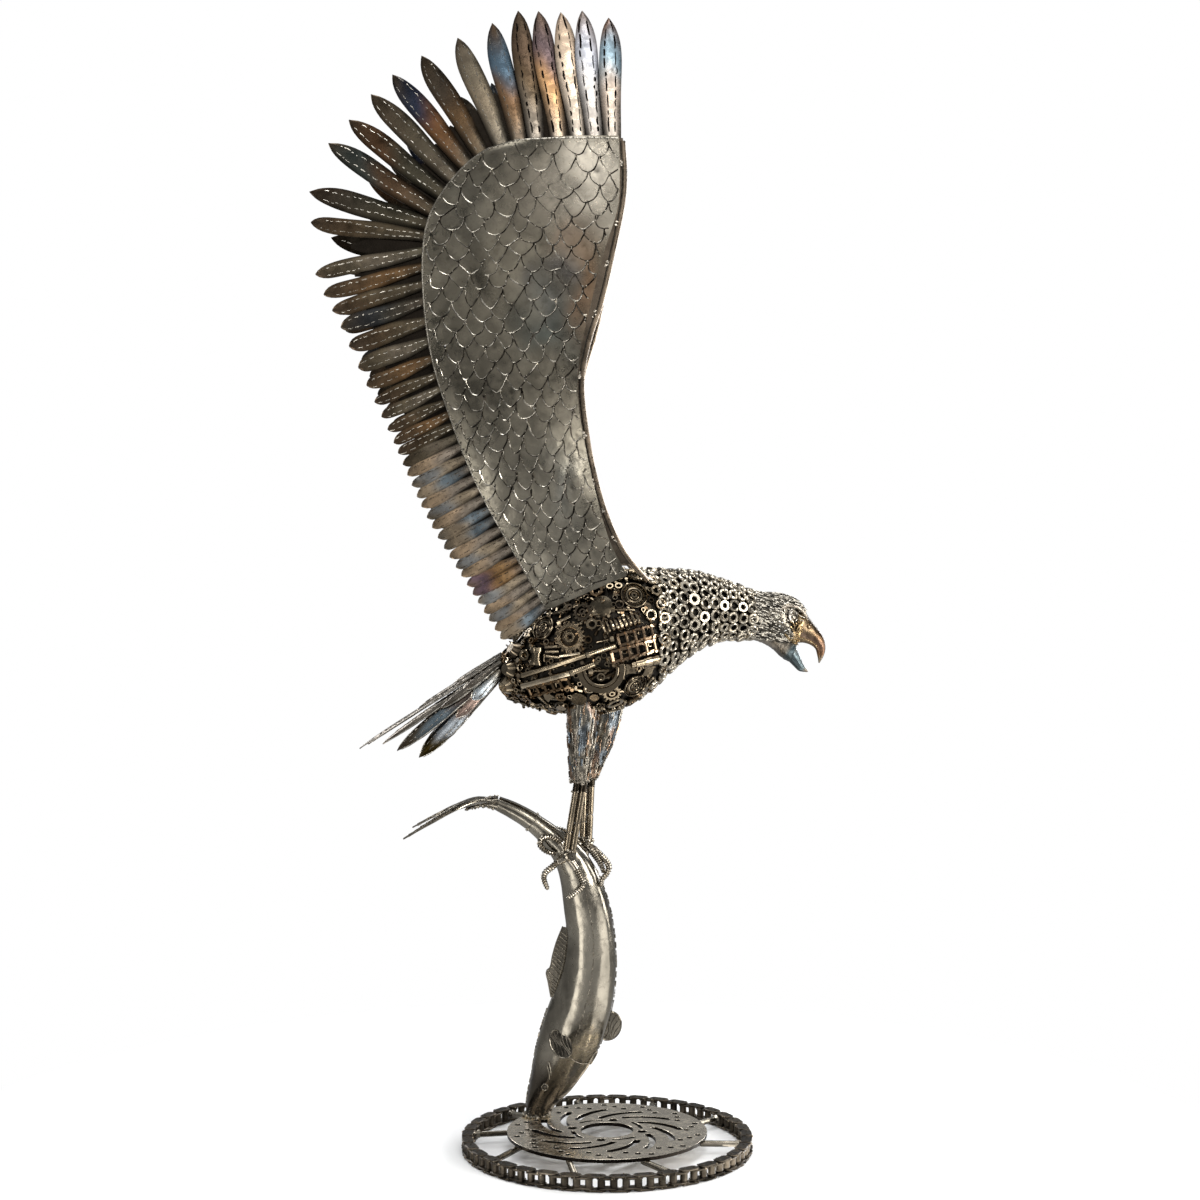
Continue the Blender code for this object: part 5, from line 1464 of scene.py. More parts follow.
def neck_rings():
    """Washers and nuts laid like feathers on the neck and breast, all round."""
    build = Build()
    rng = random.Random(41)
    angles = np.linspace(0, 2 * np.pi, 181)
    x = NECK_START
    row = 0
    while x < NECK_END:
        size = WASHER_SIZES[0] - (WASHER_SIZES[0] - WASHER_SIZES[1]) * float(fade(x, 0.12, 0.19))
        reached = travelled(body_point(np.full(181, x), angles))
        count = max(int(reached[-1] / (size * WASHER_SPACING)), 6)
        for k in range(count):
            s = (k + 0.5 * (row % 2) + rng.uniform(-0.12, 0.12)) / count % 1.0
            angle = np.interp(s * reached[-1], reached, angles)
            here = x + rng.uniform(-0.0012, 0.0012)
            point = body_point(here, angle)
            height = point[2]
            flank = abs(math.cos(angle)) > 0.45 and FLANK_LOW < height < FLANK_HIGH
            if flank and here < SCRAP_END + (0.014 if height < 0.600 else 0.006):
                continue
            normal = body_normal(point)
            lean = normal + (0.20 + rng.uniform(-0.12, 0.12), rng.uniform(-0.10, 0.10),
                             rng.uniform(-0.10, 0.10))
            r = size * rng.uniform(0.92, 1.06)
            place = point - normal * (0.0010 + rng.uniform(0.0, 0.0008))
            rotation = facing(lean, spin=rng.uniform(0, math.pi))
            tone = STEEL * rng.uniform(0.95, 1.9)
            if rng.random() < NUT_SHARE:
                shape = hex_nut(r * 1.04, r * rng.uniform(0.40, 0.46), 0.0030)
            else:
                shape = domed(r * 1.05, r * rng.uniform(0.38, 0.46), rng.uniform(0.0024, 0.0032),
                              20)
            lay(build, shape, place, rotation, tone, 1.6, 1.0)
            if rng.random() < DOUBLE_SHARE:
                lay(build, washer(r * 0.62, r * 0.36, 0.0030, 14), place, rotation, tone, 1.6,
                    1.0)
        x += size * WASHER_ROWS
        row += 1
    build.finish("neck_washers", "washer", "body_scrap")


def scrap_shape(kind, size):
    """A piece of scrap standing on z = 0."""
    if kind == "bearing":
        return bearing(size, 0.0030)
    if kind == "disc":
        return lathe(((size * 0.2, -0.003), (size, -0.003), (size, 0.0012), (size * 0.96, 0.0015),
                      (size * 0.2, 0.0015)), 32)
    if kind == "nut":
        return hex_nut(size, size * 0.48, 0.0030)
    if kind == "gear":
        return gear(size, 20 if size > 0.014 else 14, 0.0028)
    if kind == "ring":
        return washer(size, size * 0.55, 0.0022, 22)
    if kind == "star":
        return star_plate(size)
    if kind == "bolt":
        return join(washer(size, size * 0.3, 0.0010), hex_nut(size * 0.72, size * 0.05, 0.0034))
    return bead(size, size * 0.8, 10)


def lay_run(kind, length, size):
    """A rod, spring or strip of that length along X, its middle line on z = 0."""
    if kind == "screw":
        return screw(length, size, size * 1.8)
    if kind == "coil":
        return coil(length, size, size * 0.26, max(int(length / 0.0046), 2))
    if kind == "strip":
        return chain_strip(length, size, 0.0097)
    if kind == "thread":
        return screw(length, size, size * 1.01, 0.0021)
    if kind == "plug":
        return stepped(*PLUG, length, size)
    if kind == "spool":
        return stepped(*SPOOL, length, size)
    return tube([(0, 0, 0), (length / 2, 0, 0), (length, 0, 0)], size, 12)


def rubble_shape(size, length, kind):
    """A ring, a rod, a pin with a thin end or a small bolt head."""
    half = length / 2
    return (washer(size * 1.6, size * 0.8, 0.0018, 10),
            tube([(-half, 0, 0), (half, 0, 0)], size * 0.8, 7),
            tube([(-half, 0, 0), (0, 0, 0), (0.0001, 0, 0), (half, 0, 0)],
                 (size, size, size * 0.6, size * 0.6), 6),
            lathe(((size * 1.2, SUNK), (size * 1.2, 0.0012), (size * 0.9, 0.0018)), 6))[kind]


def flank_scrap(side, suffix, seed):
    """Bearings, gears, rods, chain and springs on one flank."""
    build = Build()
    rng = random.Random(seed)
    jitter = 0.0 if side == NEAR else 0.0022
    for kind, x, z, size, turn, lift, tone in FLANK:
        x += rng.uniform(-jitter, jitter)
        z += rng.uniform(-jitter, jitter)
        point, normal = flank_point(side, x, z, lift - SOCKET)
        lay(build, scrap_shape(kind, size), point, facing(normal, spin=math.radians(turn)), tone)
    for kind, start, end, size, lift, tone in FLANK_RUNS:
        middle = ((start[0] + end[0]) / 2, (start[1] + end[1]) / 2)
        (a, normal_a), (b, normal_b), (c, _) = (flank_point(side, *at, lift - RUN_SOCKET)
                                                for at in (start, end, middle))
        rotation = facing(normal_a + normal_b, b - a)
        length = float(np.linalg.norm(b - a))
        shape, faces = lay_run(kind, length, size)
        t = shape[:, 0] / length
        points = (a + np.outer(shape[:, 0], unit(b - a)) + shape[:, 1:] @ rotation[:, 1:].T
                  + np.outer(4 * t * (1 - t), c - (a + b) / 2))
        # oily tint with painted shade and highlight from the heights
        build.add((points, faces), oily_with_painted_shade(shape, tone, 1.0))
    point, normal = flank_point(side, *BOLT_MIDDLE, -0.0010)
    for *sizes, tone in HALF_RINGS:
        lay(build, arc_band(*sizes), point, facing(normal), tone)
    # rubble: small rods, pins and rings in every gap between the pieces
    for _ in range(RUBBLE):
        x = rng.uniform(*RUBBLE_ENDS)
        low, high = BODY_TRACK(x)[:2]
        z = low + (high - low) * rng.uniform(0.10, 0.92)
        point, normal = flank_point(side, x, z, -RUBBLE_DEPTH + rng.uniform(-0.0010, 0.0012))
        tone = (BRASS, STEEL, GEAR, STEEL)[rng.randrange(4)] * rng.uniform(0.5, 1.1)
        shape = rubble_shape(rng.uniform(0.0013, 0.0024), rng.uniform(0.004, 0.011),
                             rng.randrange(4))
        lean = np.array((rng.uniform(-1, 1), 0.0, rng.uniform(-0.7, 0.7)))
        lay(build, shape, point, facing(normal, lean), tone)
    build.finish(f"flank_scrap_{suffix}", "scrap", "body_scrap")


def taken_spots():
    """Middles and radii of what already lies on the flanks."""
    spots = []
    for side in (NEAR, FAR):
        spots += [(*flank_point(side, x, z)[0], size) for _, x, z, size, *_ in FLANK]
        for kind, start, end, size, *_ in FLANK_RUNS:
            wide = size / 2 if kind == "strip" else size
            steps = max(int(math.dist(start, end) / wide), 1)
            for x, z in np.linspace(start, end, steps + 1):
                spots.append((*flank_point(side, x, z)[0], wide))
    return np.array(spots)


def loose_scrap():
    """Smaller scrap that fills what is left of the flanks, the back and the belly."""
    build = Build()
    rng = random.Random(97)
    spots = taken_spots()
    for size in LOOSE_SIZES:
        for _ in range(LOOSE_TRIES):
            x = rng.uniform(BODY[0][0] + 0.004, LOOSE_END)
            point = body_point(x, rng.uniform(0, 2 * math.pi))
            if x > WASHERS_FROM and not FLANK_LOW < point[2] < FLANK_HIGH:
                continue
            gaps = np.linalg.norm(spots[:, :3] - point, axis=1) - spots[:, 3] - size
            if gaps.min() < -0.18 * size:
                continue
            spots = np.vstack([spots, (*point, size)])
            kind = rng.choice(LOOSE_KINDS)
            if kind == "bearing" and size < 0.006:
                kind = "ring"
            if kind == "gear" and size < 0.005:
                kind = "nut"
            normal = body_normal(point)
            tilt = normal + [rng.uniform(-0.15, 0.15) for _ in range(3)]
            place = point - normal * (0.0016 + rng.uniform(0.0, 0.0016))
            tone = LOOSE_TONES[rng.randrange(5)]
            lay(build, scrap_shape(kind, size), place, facing(tilt, spin=rng.uniform(0, 3)),
                tone * rng.uniform(0.7, 1.1))
    # short rods over the back and the belly
    for _ in range(BACK_RODS):
        x = rng.uniform(-0.065, 0.060)
        angle = math.radians(rng.choice((90, 270)) + rng.uniform(-34, 34))
        point = body_point(x, angle, -0.0008)
        lean = np.array((rng.uniform(-1, 1), rng.uniform(-1, 1), rng.uniform(-0.3, 0.3)))
        length = rng.uniform(0.010, 0.022)
        kind = rng.choice(("screw", "thread", "rod", "coil"))
        size = 0.0030 if kind == "coil" else rng.uniform(0.0014, 0.0022)
        lay(build, lay_run(kind, length, size), point, facing(body_normal(point), lean),
            STEEL * rng.uniform(0.6, 1.2))
    # saw teeth along the middle of the belly
    for k in range(BELLY_TEETH):
        x = -0.055 + BELLY_PITCH * k
        build.add(put(bead(0.0011, 0.0024, 4), (x, -0.014, BODY_TRACK(x)[0] + 0.0012),
                      facing((0, -0.15, -1))), STEEL * 0.8)
    build.finish("loose_scrap", "scrap", "body_scrap")


def body():
    body_shell()
    neck_rings()
    for side, suffix in SIDES:
        flank_scrap(side, suffix, 51 if side == NEAR else 52)
    loose_scrap()


# ---------------------------------------------------------------- head and beak
# Sections of the head: x, z, half height, half width, lean in degrees.
HEAD = ((0.1914, 0.5872, 0.0278, 0.0270, 0), (0.206, 0.5836, 0.0285, 0.0262, 2),
        (0.2200, 0.5798, 0.0318, 0.0258, 6), (0.234, 0.5722, 0.0340, 0.0238, 12),
        (0.2453, 0.5629, 0.0306, 0.0190, 17.5))
# Sections of the two halves of the beak: x, z, half height, half width, lean in degrees.
UPPER_BEAK = ((0.2455, 0.5735, 0.0162, 0.0135, 14), (0.2490, 0.5727, 0.0174, 0.0128, 15.3),
              (0.2556, 0.5680, 0.0130, 0.0102, 22), (0.2622, 0.5628, 0.0098, 0.0083, 31),
              (0.2676, 0.5570, 0.0077, 0.0066, 46), (0.2701, 0.5510, 0.0059, 0.0052, 68),
              (0.2706, 0.5453, 0.0047, 0.0042, 75), (0.2701, 0.5398, 0.0030, 0.0029, 80),
              (0.2686, 0.5336, 0.0006, 0.0006, 84))
LOWER_BEAK = ((0.2245, 0.5545, 0.0095, 0.0120, 56), (0.2340, 0.5486, 0.0092, 0.0120, 58),
              (0.2397, 0.5416, 0.0076, 0.0100, 53), (0.2446, 0.5345, 0.0059, 0.0075, 46),
              (0.2494, 0.5278, 0.0041, 0.0048, 42), (0.2560, 0.5240, 0.0007, 0.0008, 45))
EYE = (0.2395, 0.5855)
EYE_RADIUS = 0.0050
EYE_TONE = (0.42, 0.38, 0.32)
LID_TONE = np.array((0.62, 0.58, 0.52))
# Lids: reach from the eye, first and last degree, radius, brightness, lift off the head.
LIDS = ((0.0062, 95, 262, 0.0013, 1.25, -0.0026), (0.0082, 110, 235, 0.0009, 0.8, -0.0010),
        (0.0062, -60, 50, 0.0008, 0.55, -0.0026))
# The brow, from behind the eye down to the root of the beak: x, z, lift off the head.
BROW = ((0.2255, 0.5935, 0.0002), (0.2320, 0.5958, 0.0012), (0.2395, 0.5950, 0.0022),
        (0.2460, 0.5905, 0.0026), (0.2510, 0.5850, 0.0024), (0.2545, 0.5795, 0.0020))
BROW_TONE = (0.40, 0.35, 0.29)
GAPE = ((0.2290, 0.5655), (0.2350, 0.5600), (0.2410, 0.5580), (0.2450, 0.5590))
GAPE_GOLD = np.array((0.62, 0.48, 0.28))
LORE = np.array((0.30, 0.215, 0.115))
HOLLOW = (0.2400, 0.5735)
# painted shade in the hollow before the eye
HOLLOW_SHADE_TONE = (0.05, 0.035, 0.02)
# painted highlight on the cheek
CHEEK_HIGHLIGHT = (0.228, 0.580)
# middle of the cheek's dabs: shorter there, and brighter with a painted highlight
DAB_CHEEK = (0.229, 0.580)
EYE_CLEAR = 0.0085              # no dabs so near the eye
HOLLOW_CLEAR = 0.0040           # nor so near the hollow before it
HIGHLIGHT_BAND_HEIGHT = 0.5760            # painted highlight: the brightest dabs lie at this height
JAW = np.array((0.27, 0.235, 0.19))
JAW_BLUE = np.array((0.125, 0.160, 0.170))
NOSTRIL = (0.2568, 0.5738)
NOSTRIL_OUT = 0.0104            # from the middle plane
# painted highlight on the upper beak
BEAK_SHINE = (0.2565, 0.5705)
HEAD_SIDES = 72
HEAD_DABS = 1500
LORE_DABS = 26
HEAD_TRACK = Track(numbered(HEAD), 60)
UPPER_TONES = {"gold": (0.15, 0.108, 0.065), "copper": (0.22, 0.120, 0.062),
               "tip": (0.36, 0.30, 0.22), "purple": (0.20, 0.135, 0.11)}
LIP_GOLD = np.array((0.60, 0.46, 0.27))
LOWER_TONES = {"root": (0.20, 0.175, 0.145), "tip": (0.24, 0.20, 0.155)}


def section_point(x, z, high, wide, lean, angles):
    """Points of an ellipse in the middle plane that leans forward by lean degrees."""
    lean = math.radians(lean)
    up = high * np.sin(angles)
    return np.stack([x + math.sin(lean) * up, wide * np.cos(angles), z + math.cos(lean) * up],
                    axis=-1)


def leaning(rows, count, sides):
    """Rings through the sections, and how far along each point of them is, from 0 to 1."""
    rows = numbered(rows)
    rings = np.array([section_point(*smooth(rows, k * (len(rows) - 1) / (count - 1)),
                                    turns(sides)) for k in range(count)])
    return rings, np.repeat(np.linspace(0, 1, count), sides)


def head_width(x, z):
    """Half width of the head at (x, z), measured from its leaning sections."""
    cx, cz, high, wide, lean = HEAD_TRACK(np.arange(60) / 59 * (len(HEAD) - 1)).T
    lean = np.radians(lean)
    up = ((x - cx) * np.sin(lean) + (z - cz) * np.cos(lean)) / high
    k = np.argmin(np.abs((x - cx) * np.cos(lean) - (z - cz) * np.sin(lean)))
    return wide[k] * math.sqrt(max(1.0 - up[k] ** 2, 0.0))


def head_point(side, x, z, lift=0.0):
    """Point on one side of the head, and the outward direction there."""
    step = 0.0008
    slopes = [(head_width(x + dx, z + dz) - head_width(x - dx, z - dz)) / (2 * step)
              for dx, dz in ((step, 0), (0, step))]
    slope_x, slope_z = np.clip(slopes, -2.5, 2.5)
    normal = unit((-slope_x, side, -slope_z))
    return np.array((x, side * head_width(x, z), z)) + normal * lift, normal


def jaw_line(x):
    """Height below which the side of the head is smooth."""
    return 0.5590 - (x - 0.205) * 0.15


def skull(build):
    """The head's skin with its hollows and colours, painted shade round the eye and in the hollow
    before it, and a painted highlight on the cheek.
    """
    rings, _ = leaning(HEAD, 50, HEAD_SIDES)
    flat = rings.reshape(-1, 3)
    x, z = flat[:, 0], flat[:, 2]
    away = unit(flat - np.repeat(rings.mean(1), HEAD_SIDES, axis=0))
    from_eye = np.hypot(x - EYE[0], z - EYE[1])
    hollow = glow(flat, HOLLOW, 0.0042, 0.0055)
    lumps = -0.0010 + 0.0005 * rumple(flat, 420) + 0.0005 * rumple(flat * (1.0, 1.0, 1.6), 240, 2)
    lumps -= 0.0050 * np.exp(-(from_eye / 0.0075) ** 2) + 0.0018 * hollow
    # painted shade round the eye, and a painted highlight on the cheek
    shade = ((1 - 0.85 * np.exp(-(from_eye / 0.0085) ** 4))
             * (1 + 1.6 * glow(flat, CHEEK_HIGHLIGHT, 0.008, 0.013)))
    tones = STEEL * 0.32 * shade[:, None]
    tones = mixed(tones, LORE, fade(x - (z - 0.575) * 0.3, 0.2400, 0.2460))
    # painted shade in the hollow
    tones = mixed(tones, HOLLOW_SHADE_TONE, hollow)
    below = jaw_line(x) - z
    deep = fade(below, 0.004, 0.014)[:, None]
    blued = fade(x + (0.553 - z) * 0.6, 0.2325, 0.2400)
    jaw = mixed(JAW * (1 - 0.55 * deep), JAW_BLUE * (1 - 0.5 * deep), blued)
    tones = mixed(tones, jaw, fade(below, -0.002, 0.002))
    build.add(skin((flat + away * lumps[:, None]).reshape(rings.shape)),
              np.concatenate([tones, [STEEL * 0.3] * 2]))


def head_dabs(build, rng):
    """Dabs of weld laid like feathers, shorter on the cheek, with a painted highlight that makes them
    brighter on the cheek and in a band across the head.
    """
    for _ in range(HEAD_DABS):
        t = rng.uniform(0.02, 3.9)
        angle = rng.uniform(0, 2 * math.pi)
        x, z, high, wide, lean = HEAD_TRACK(t)
        point = section_point(x, z, high, wide, lean, angle)
        sunken = (math.hypot(point[0] - EYE[0], point[2] - EYE[1]) < EYE_CLEAR
                  or math.hypot(point[0] - HOLLOW[0], point[2] - HOLLOW[1]) < HOLLOW_CLEAR)
        if sunken and abs(math.cos(angle)) > 0.4 or point[2] < jaw_line(point[0]):
            continue
        up = math.sin(angle) / high
        normal = unit((up * math.sin(math.radians(lean)), math.cos(angle) / wide, up))
        cheek = glow(point, DAB_CHEEK, 0.007, 0.014)
        flow = (1.0, 0.0, -0.32 + rng.uniform(-0.12, 0.12) + 0.10 * (z - point[2]) / high)
        if cheek > 0.4:
            flow = (rng.uniform(-1, 1), 0.0, rng.uniform(-1, 1))
        length = rng.uniform(0.0018, 0.0042) * (1 - 0.6 * cheek)
        width = rng.uniform(0.00055, 0.00085)
        # painted highlight: brighter dabs in a band across the head and on the cheek
        band = math.exp(-((point[2] - HIGHLIGHT_BAND_HEIGHT) / 0.016) ** 2)
        tone = BRIGHT * (rng.uniform(0.8, 1.3 + 0.6 * band) if rng.random() < 0.62 else 0.14)
        tone = np.minimum(tone * (1 + 0.8 * cheek), 1.0)
        if point[0] > 0.2375 and point[2] < 0.5800:
            tone = LORE * rng.uniform(0.3, 2.0)
        size = np.array((length, width, rng.uniform(0.0004, 0.0007)))
        build.add(put(bead(1.0, 1.0), point - normal * 0.0005, facing(normal, flow), size),
                  tone, 1)


def eye(build, side):
    """Eyeball with a bright lid behind it and a smaller one before it."""
    place, _ = head_point(side, *EYE, -0.0046)
    ball = lathe(((0.1, -0.9), (0.6, -0.75), (0.95, -0.3), (1.0, 0.0), (0.95, 0.3),
                  (0.6, 0.78), (0.25, 0.95), (0.05, 1.0)), 20)
    build.add(put(ball, place, facing((-0.05, side, 0.12)), EYE_RADIUS * 0.86), EYE_TONE)
    for reach, start, end, size, tone, lift in LIDS:
        line = [head_point(side, EYE[0] + reach * 0.72 * math.cos(a),
                           EYE[1] + reach * 1.05 * math.sin(a), lift)[0]
                for a in np.radians(np.linspace(start, end, 12))]
        build.add(tube(line, size, 6), LID_TONE * tone)


def head():
    """Skull with sunken eyes, brow ridges and a coat of weld dabs."""
    build = Build()
    skull(build)
    rng = random.Random(61)
    head_dabs(build, rng)
    for side in (NEAR, FAR):
        eye(build, side)
        brow = along([head_point(side, *at)[0] for at in BROW], 24)
        build.add(tube(brow, 0.0008 + 0.0011 * np.sin(np.linspace(0.3, 2.7, 25))), BROW_TONE)
        build.add(weld(brow + (-0.001, 0.0, 0.0019), 0.0008, 71 + side, 6, 0.5), STEEL * 0.9, 1)
        # dark beads before the eye
        for _ in range(LORE_DABS):
            point, normal = head_point(side, rng.uniform(0.2350, 0.2490),
                                       rng.uniform(0.5660, 0.5790), -0.0004)
            drop(build, point, normal, rng.uniform(0.0008, 0.0014), LORE * rng.uniform(0.3, 1.7),
                 7)
        # golden beads along the gape
        for point in along([head_point(side, *at)[0] for at in GAPE], 12):
            size = rng.uniform(0.0011, 0.0019)
            spot = point + [rng.uniform(-0.0008, 0.0008) for _ in range(3)]
            drop(build, spot, (0.2, side, -0.1), size, GAPE_GOLD * rng.uniform(0.75, 1.15), 8)
    build.finish("head", "dabs dabs", "head", "eagle_head", sharp=60)


def upper_beak():
    """The hooked half, forged smooth and tinted, with nostrils and golden lips."""
    build = Build()
    rings, share = leaning(UPPER_BEAK, 40, 36)
    flat = rings.reshape(-1, 3)
    tones = mixed(UPPER_TONES["gold"], UPPER_TONES["copper"], fade(share, 0.25, 0.7))
    tones = mixed(tones, UPPER_TONES["tip"], fade(share, 0.78, 0.95))
    # painted highlight round BEAK_SHINE
    tones *= (1 + 0.5 * glow(flat, BEAK_SHINE, 0.004, 0.005))[:, None]
    tones = mixed(tones, UPPER_TONES["purple"],
                  fade(np.sin(share * 9 + flat[:, 2] * 300), 0.3, 1.0) * 0.45)
    tones *= (1 - 0.6 * fade(np.tile(np.sin(turns(36)), 40), 0.45, 0.95))[:, None]
    swell = np.sign(flat[:, 1]) * 0.0003 * rumple(flat, 300)
    build.add(skin((flat + swell[:, None] * (0, 1, 0)).reshape(rings.shape)), capped(tones))
    rng = random.Random(67)
    lips, _ = leaning(UPPER_BEAK, 41, 36)
    for side in (NEAR, FAR):
        place = (NOSTRIL[0], side * NOSTRIL_OUT, NOSTRIL[1])
        rotation = facing((0.35, side, 0.2))
        ring = lathe(((0.0016, -0.001), (0.0029, -0.001), (0.0028, 0.0006), (0.0023, 0.0009),
                      (0.0017, 0.0004)), 20, ring=True)
        build.add(put(ring, place, rotation), (0.22, 0.14, 0.075))
        build.add(put(bead(0.0016, 0.0006, 12), place, rotation), (0.60, 0.47, 0.31))
        for point in along(lips[5:24, 27 + side * 5], 22):
            drop(build, point, (0.0, side, -0.5), rng.uniform(0.0006, 0.0012),
                 LIP_GOLD * rng.uniform(0.5, 1.3))
    build.finish("upper_beak_forged", "beak weld", "upper_beak", "upper_beak", sharp=60)


def lower_beak():
    build = Build()
    rings, share = leaning(LOWER_BEAK, 30, 32)
    tones = mixed(LOWER_TONES["root"], JAW_BLUE, fade(share, 0.18, 0.42))
    tones = mixed(tones, LOWER_TONES["tip"], fade(share, 0.80, 0.95))
    tones *= (1 - 0.6 * fade(-np.tile(np.sin(turns(32)), 30), 0.1, 0.8))[:, None]
    build.add(skin(rings), capped(tones))
    build.finish("lower_beak_forged", "beak", "lower_beak", "lower_beak", sharp=60)


# ---------------------------------------------------------------- tail
TAIL_ROOT = (-0.0845, 0.5195)
TAIL_SLOPE = math.radians(38)
TAIL_FOLD = math.radians(80)
TAIL_FLARE = 0.10
TAIL_SIDE_FLARE = 0.16
TAIL_FAN = 0.15
TAIL_ROOT_RADIUS = 0.0165
TAIL_TUCK = 0.004
TAIL_CROWN = 0.28
TAIL_ALONG = np.array((-math.cos(TAIL_SLOPE), 0.0, -math.sin(TAIL_SLOPE)))
TAIL_UP = np.array((-math.sin(TAIL_SLOPE), 0.0, math.cos(TAIL_SLOPE)))
ACROSS = np.array((0.0, 1.0, 0.0))
TAIL_ROLL = math.radians(15)
TAIL_RIM = 0.00060              # radius of the bright weld along the edges of a tail feather
TAIL_STITCH = {"stitch": (0.50, 0.45, 0.38), "stitch_size": 0.0005}

# Tints of the tail's feathers: share of the length and colour.
PLAIN_TINT = ((0.0, 0.26, 0.235, 0.195), (0.55, 0.25, 0.22, 0.18), (0.8, 0.20, 0.17, 0.135),
              (1.0, 0.15, 0.12, 0.095))
BLUE_TINT = ((0.0, 0.34, 0.27, 0.23), (0.45, 0.32, 0.26, 0.23), (0.58, 0.24, 0.30, 0.34),
             (0.74, 0.22, 0.26, 0.28), (0.82, 0.15, 0.125, 0.09), (1.0, 0.13, 0.10, 0.07))
PANEL_TINT = ((0.0, 0.34, 0.26, 0.21), (0.42, 0.38, 0.28, 0.22), (0.52, 0.42, 0.46, 0.50),
              (0.72, 0.50, 0.53, 0.56), (0.77, 0.13, 0.11, 0.075), (1.0, 0.10, 0.085, 0.055))
PINK_TINT = ((0.0, 0.36, 0.28, 0.23), (0.5, 0.40, 0.29, 0.24), (1.0, 0.44, 0.32, 0.27))
SILVER_TINT = ((0.0, 0.30, 0.27, 0.22), (0.35, 0.40, 0.42, 0.42), (0.6, 0.56, 0.62, 0.66),
               (1.0, 0.60, 0.66, 0.70))
# Layers of the tail: name, solids, width of a feather, lift, brightness, then length and tint
# of the feathers from the outermost to the middle one.
TAIL_LAYERS = (
    ("tail_long", ("tail_feathers",), 0.0180, 0.0, 0.80,
     ((0.126, PANEL_TINT), (0.142, BLUE_TINT), (0.152, PLAIN_TINT), (0.168, PLAIN_TINT),
      (0.181, PLAIN_TINT))),
    ("tail_middle", (), 0.0140, 0.0026, 0.74,
     ((0.070, PINK_TINT), (0.082, PLAIN_TINT), (0.094, PLAIN_TINT), (0.104, PLAIN_TINT))),
    ("tail_short", ("tail_coverts",), 0.0150, 0.0046, 0.84,
     ((0.040, SILVER_TINT), (0.048, PLAIN_TINT), (0.056, PLAIN_TINT), (0.060, PLAIN_TINT))))


def tail_point(fold, distance, lift):
    """Point of the folded tail: fold turns round its long axis, lift is outwards."""
    s, c = math.sin(fold), math.cos(fold)
    run = (TAIL_ALONG + (ACROSS * s + TAIL_UP * c) * (TAIL_FLARE + TAIL_SIDE_FLARE * s ** 2)
           + (ACROSS * c - TAIL_UP * s) * TAIL_FAN * fold)
    radius = TAIL_ROOT_RADIUS + lift
    return np.array((TAIL_ROOT[0], radius * s, TAIL_ROOT[1] + radius * c)) + unit(run) * distance


def tail_place(fold, lift, roll):
    """Function that places points of a flat feather on the tail."""
    root = tail_point(fold, 0.0, lift)
    run = tail_point(fold, 1.0, lift) - root
    side = tail_point(fold + 0.01, 0.05, lift) - tail_point(fold - 0.01, 0.05, lift)
    side = unit(side - run * side.dot(run))
    normal = np.cross(run, side)
    if normal.dot(ACROSS * math.sin(fold) + TAIL_UP * math.cos(fold)) < 0:
        normal = -normal
    tilted = side * math.cos(roll) + normal * math.sin(roll)
    raised = normal * math.cos(roll) - side * math.sin(roll)
    return lambda a, b, c: root + run * a + tilted * b + raised * c


def tail():
    """Nine long feathers folded like a roof, with two layers of shorter ones on their roots."""
    for layer, (name, nodes, width, lift, light, feathers) in enumerate(TAIL_LAYERS):
        build = Build()
        middle = len(feathers) - 1
        rng = random.Random(200 + layer)
        for k in range(2 * middle + 1):
            length, rows = feathers[min(k, 2 * middle - k)]
            if layer:
                length *= rng.uniform(0.96, 1.03)
            place = tail_place((k - middle) / middle * TAIL_FOLD, lift + 0.0010 * (k % 2),
                               TAIL_ROLL * np.sign(k - middle))
            palette = Track(rows, 60)
            palette.values *= light * rng.uniform(0.75, 1.2)
            feather(build, length, width, place, palette, 5000 + 100 * layer + k,
                    root=TAIL_TUCK, crown=TAIL_CROWN, **TAIL_STITCH)
            at = np.linspace(0.04, 0.97, 16)
            half = FEATHER_SHAPE(at)[:, 0] * width / 2
            for edge in (-1, 1):
                rim = [place(length * t, edge * h, 0.0004) for t, h in zip(at, half)]
                build.add(weld(rim, TAIL_RIM, 5300 + 10 * k + edge, 4, 0.5), BRIGHT * 1.1, 1)
        build.finish(name, "feather weld", "tail", *nodes, sharp=40)


# ---------------------------------------------------------------- legs and feet
# Sections of the thighs, top down: x, y, z, half depth, half width.
RIGHT_THIGH = ((0.0090, -0.031, 0.512, 0.0190, 0.0180), (0.0080, -0.030, 0.478, 0.0175, 0.0170),
               (0.0070, -0.028, 0.448, 0.0150, 0.0150), (0.0055, -0.026, 0.424, 0.0122, 0.0122),
               (0.0045, -0.025, 0.4045, 0.0098, 0.0102))
LEFT_THIGH = ((0.0370, 0.031, 0.512, 0.0200, 0.0180), (0.0340, 0.030, 0.478, 0.0180, 0.0170),
              (0.0280, 0.028, 0.448, 0.0155, 0.0150), (0.0205, 0.026, 0.424, 0.0127, 0.0122),
              (0.0150, 0.025, 0.4045, 0.0096, 0.0102))
THIGH_SIDES = 72
THIGH_STATIONS = 100
THIGH_RUNS = 150
THIGH_BLUE = (0.15, 0.19, 0.23)
THIGH_COPPER = (0.36, 0.23, 0.15)
RUN_TONES = (STEEL * 1.2, BRIGHT * 0.9, np.array((0.40, 0.27, 0.18)),
             np.array((0.20, 0.24, 0.28)), DARK * 1.3, STEEL)
THIGH_END_DROPS = 26
SHANK_ROD = 0.0037
COLLAR_LENGTH = 0.008
SHANK_JOINTS = {-1: 0.68, 1: 0.55}      # where each rod is joined, as a share of its length
SHANK_TONE = np.array((0.25, 0.205, 0.145))
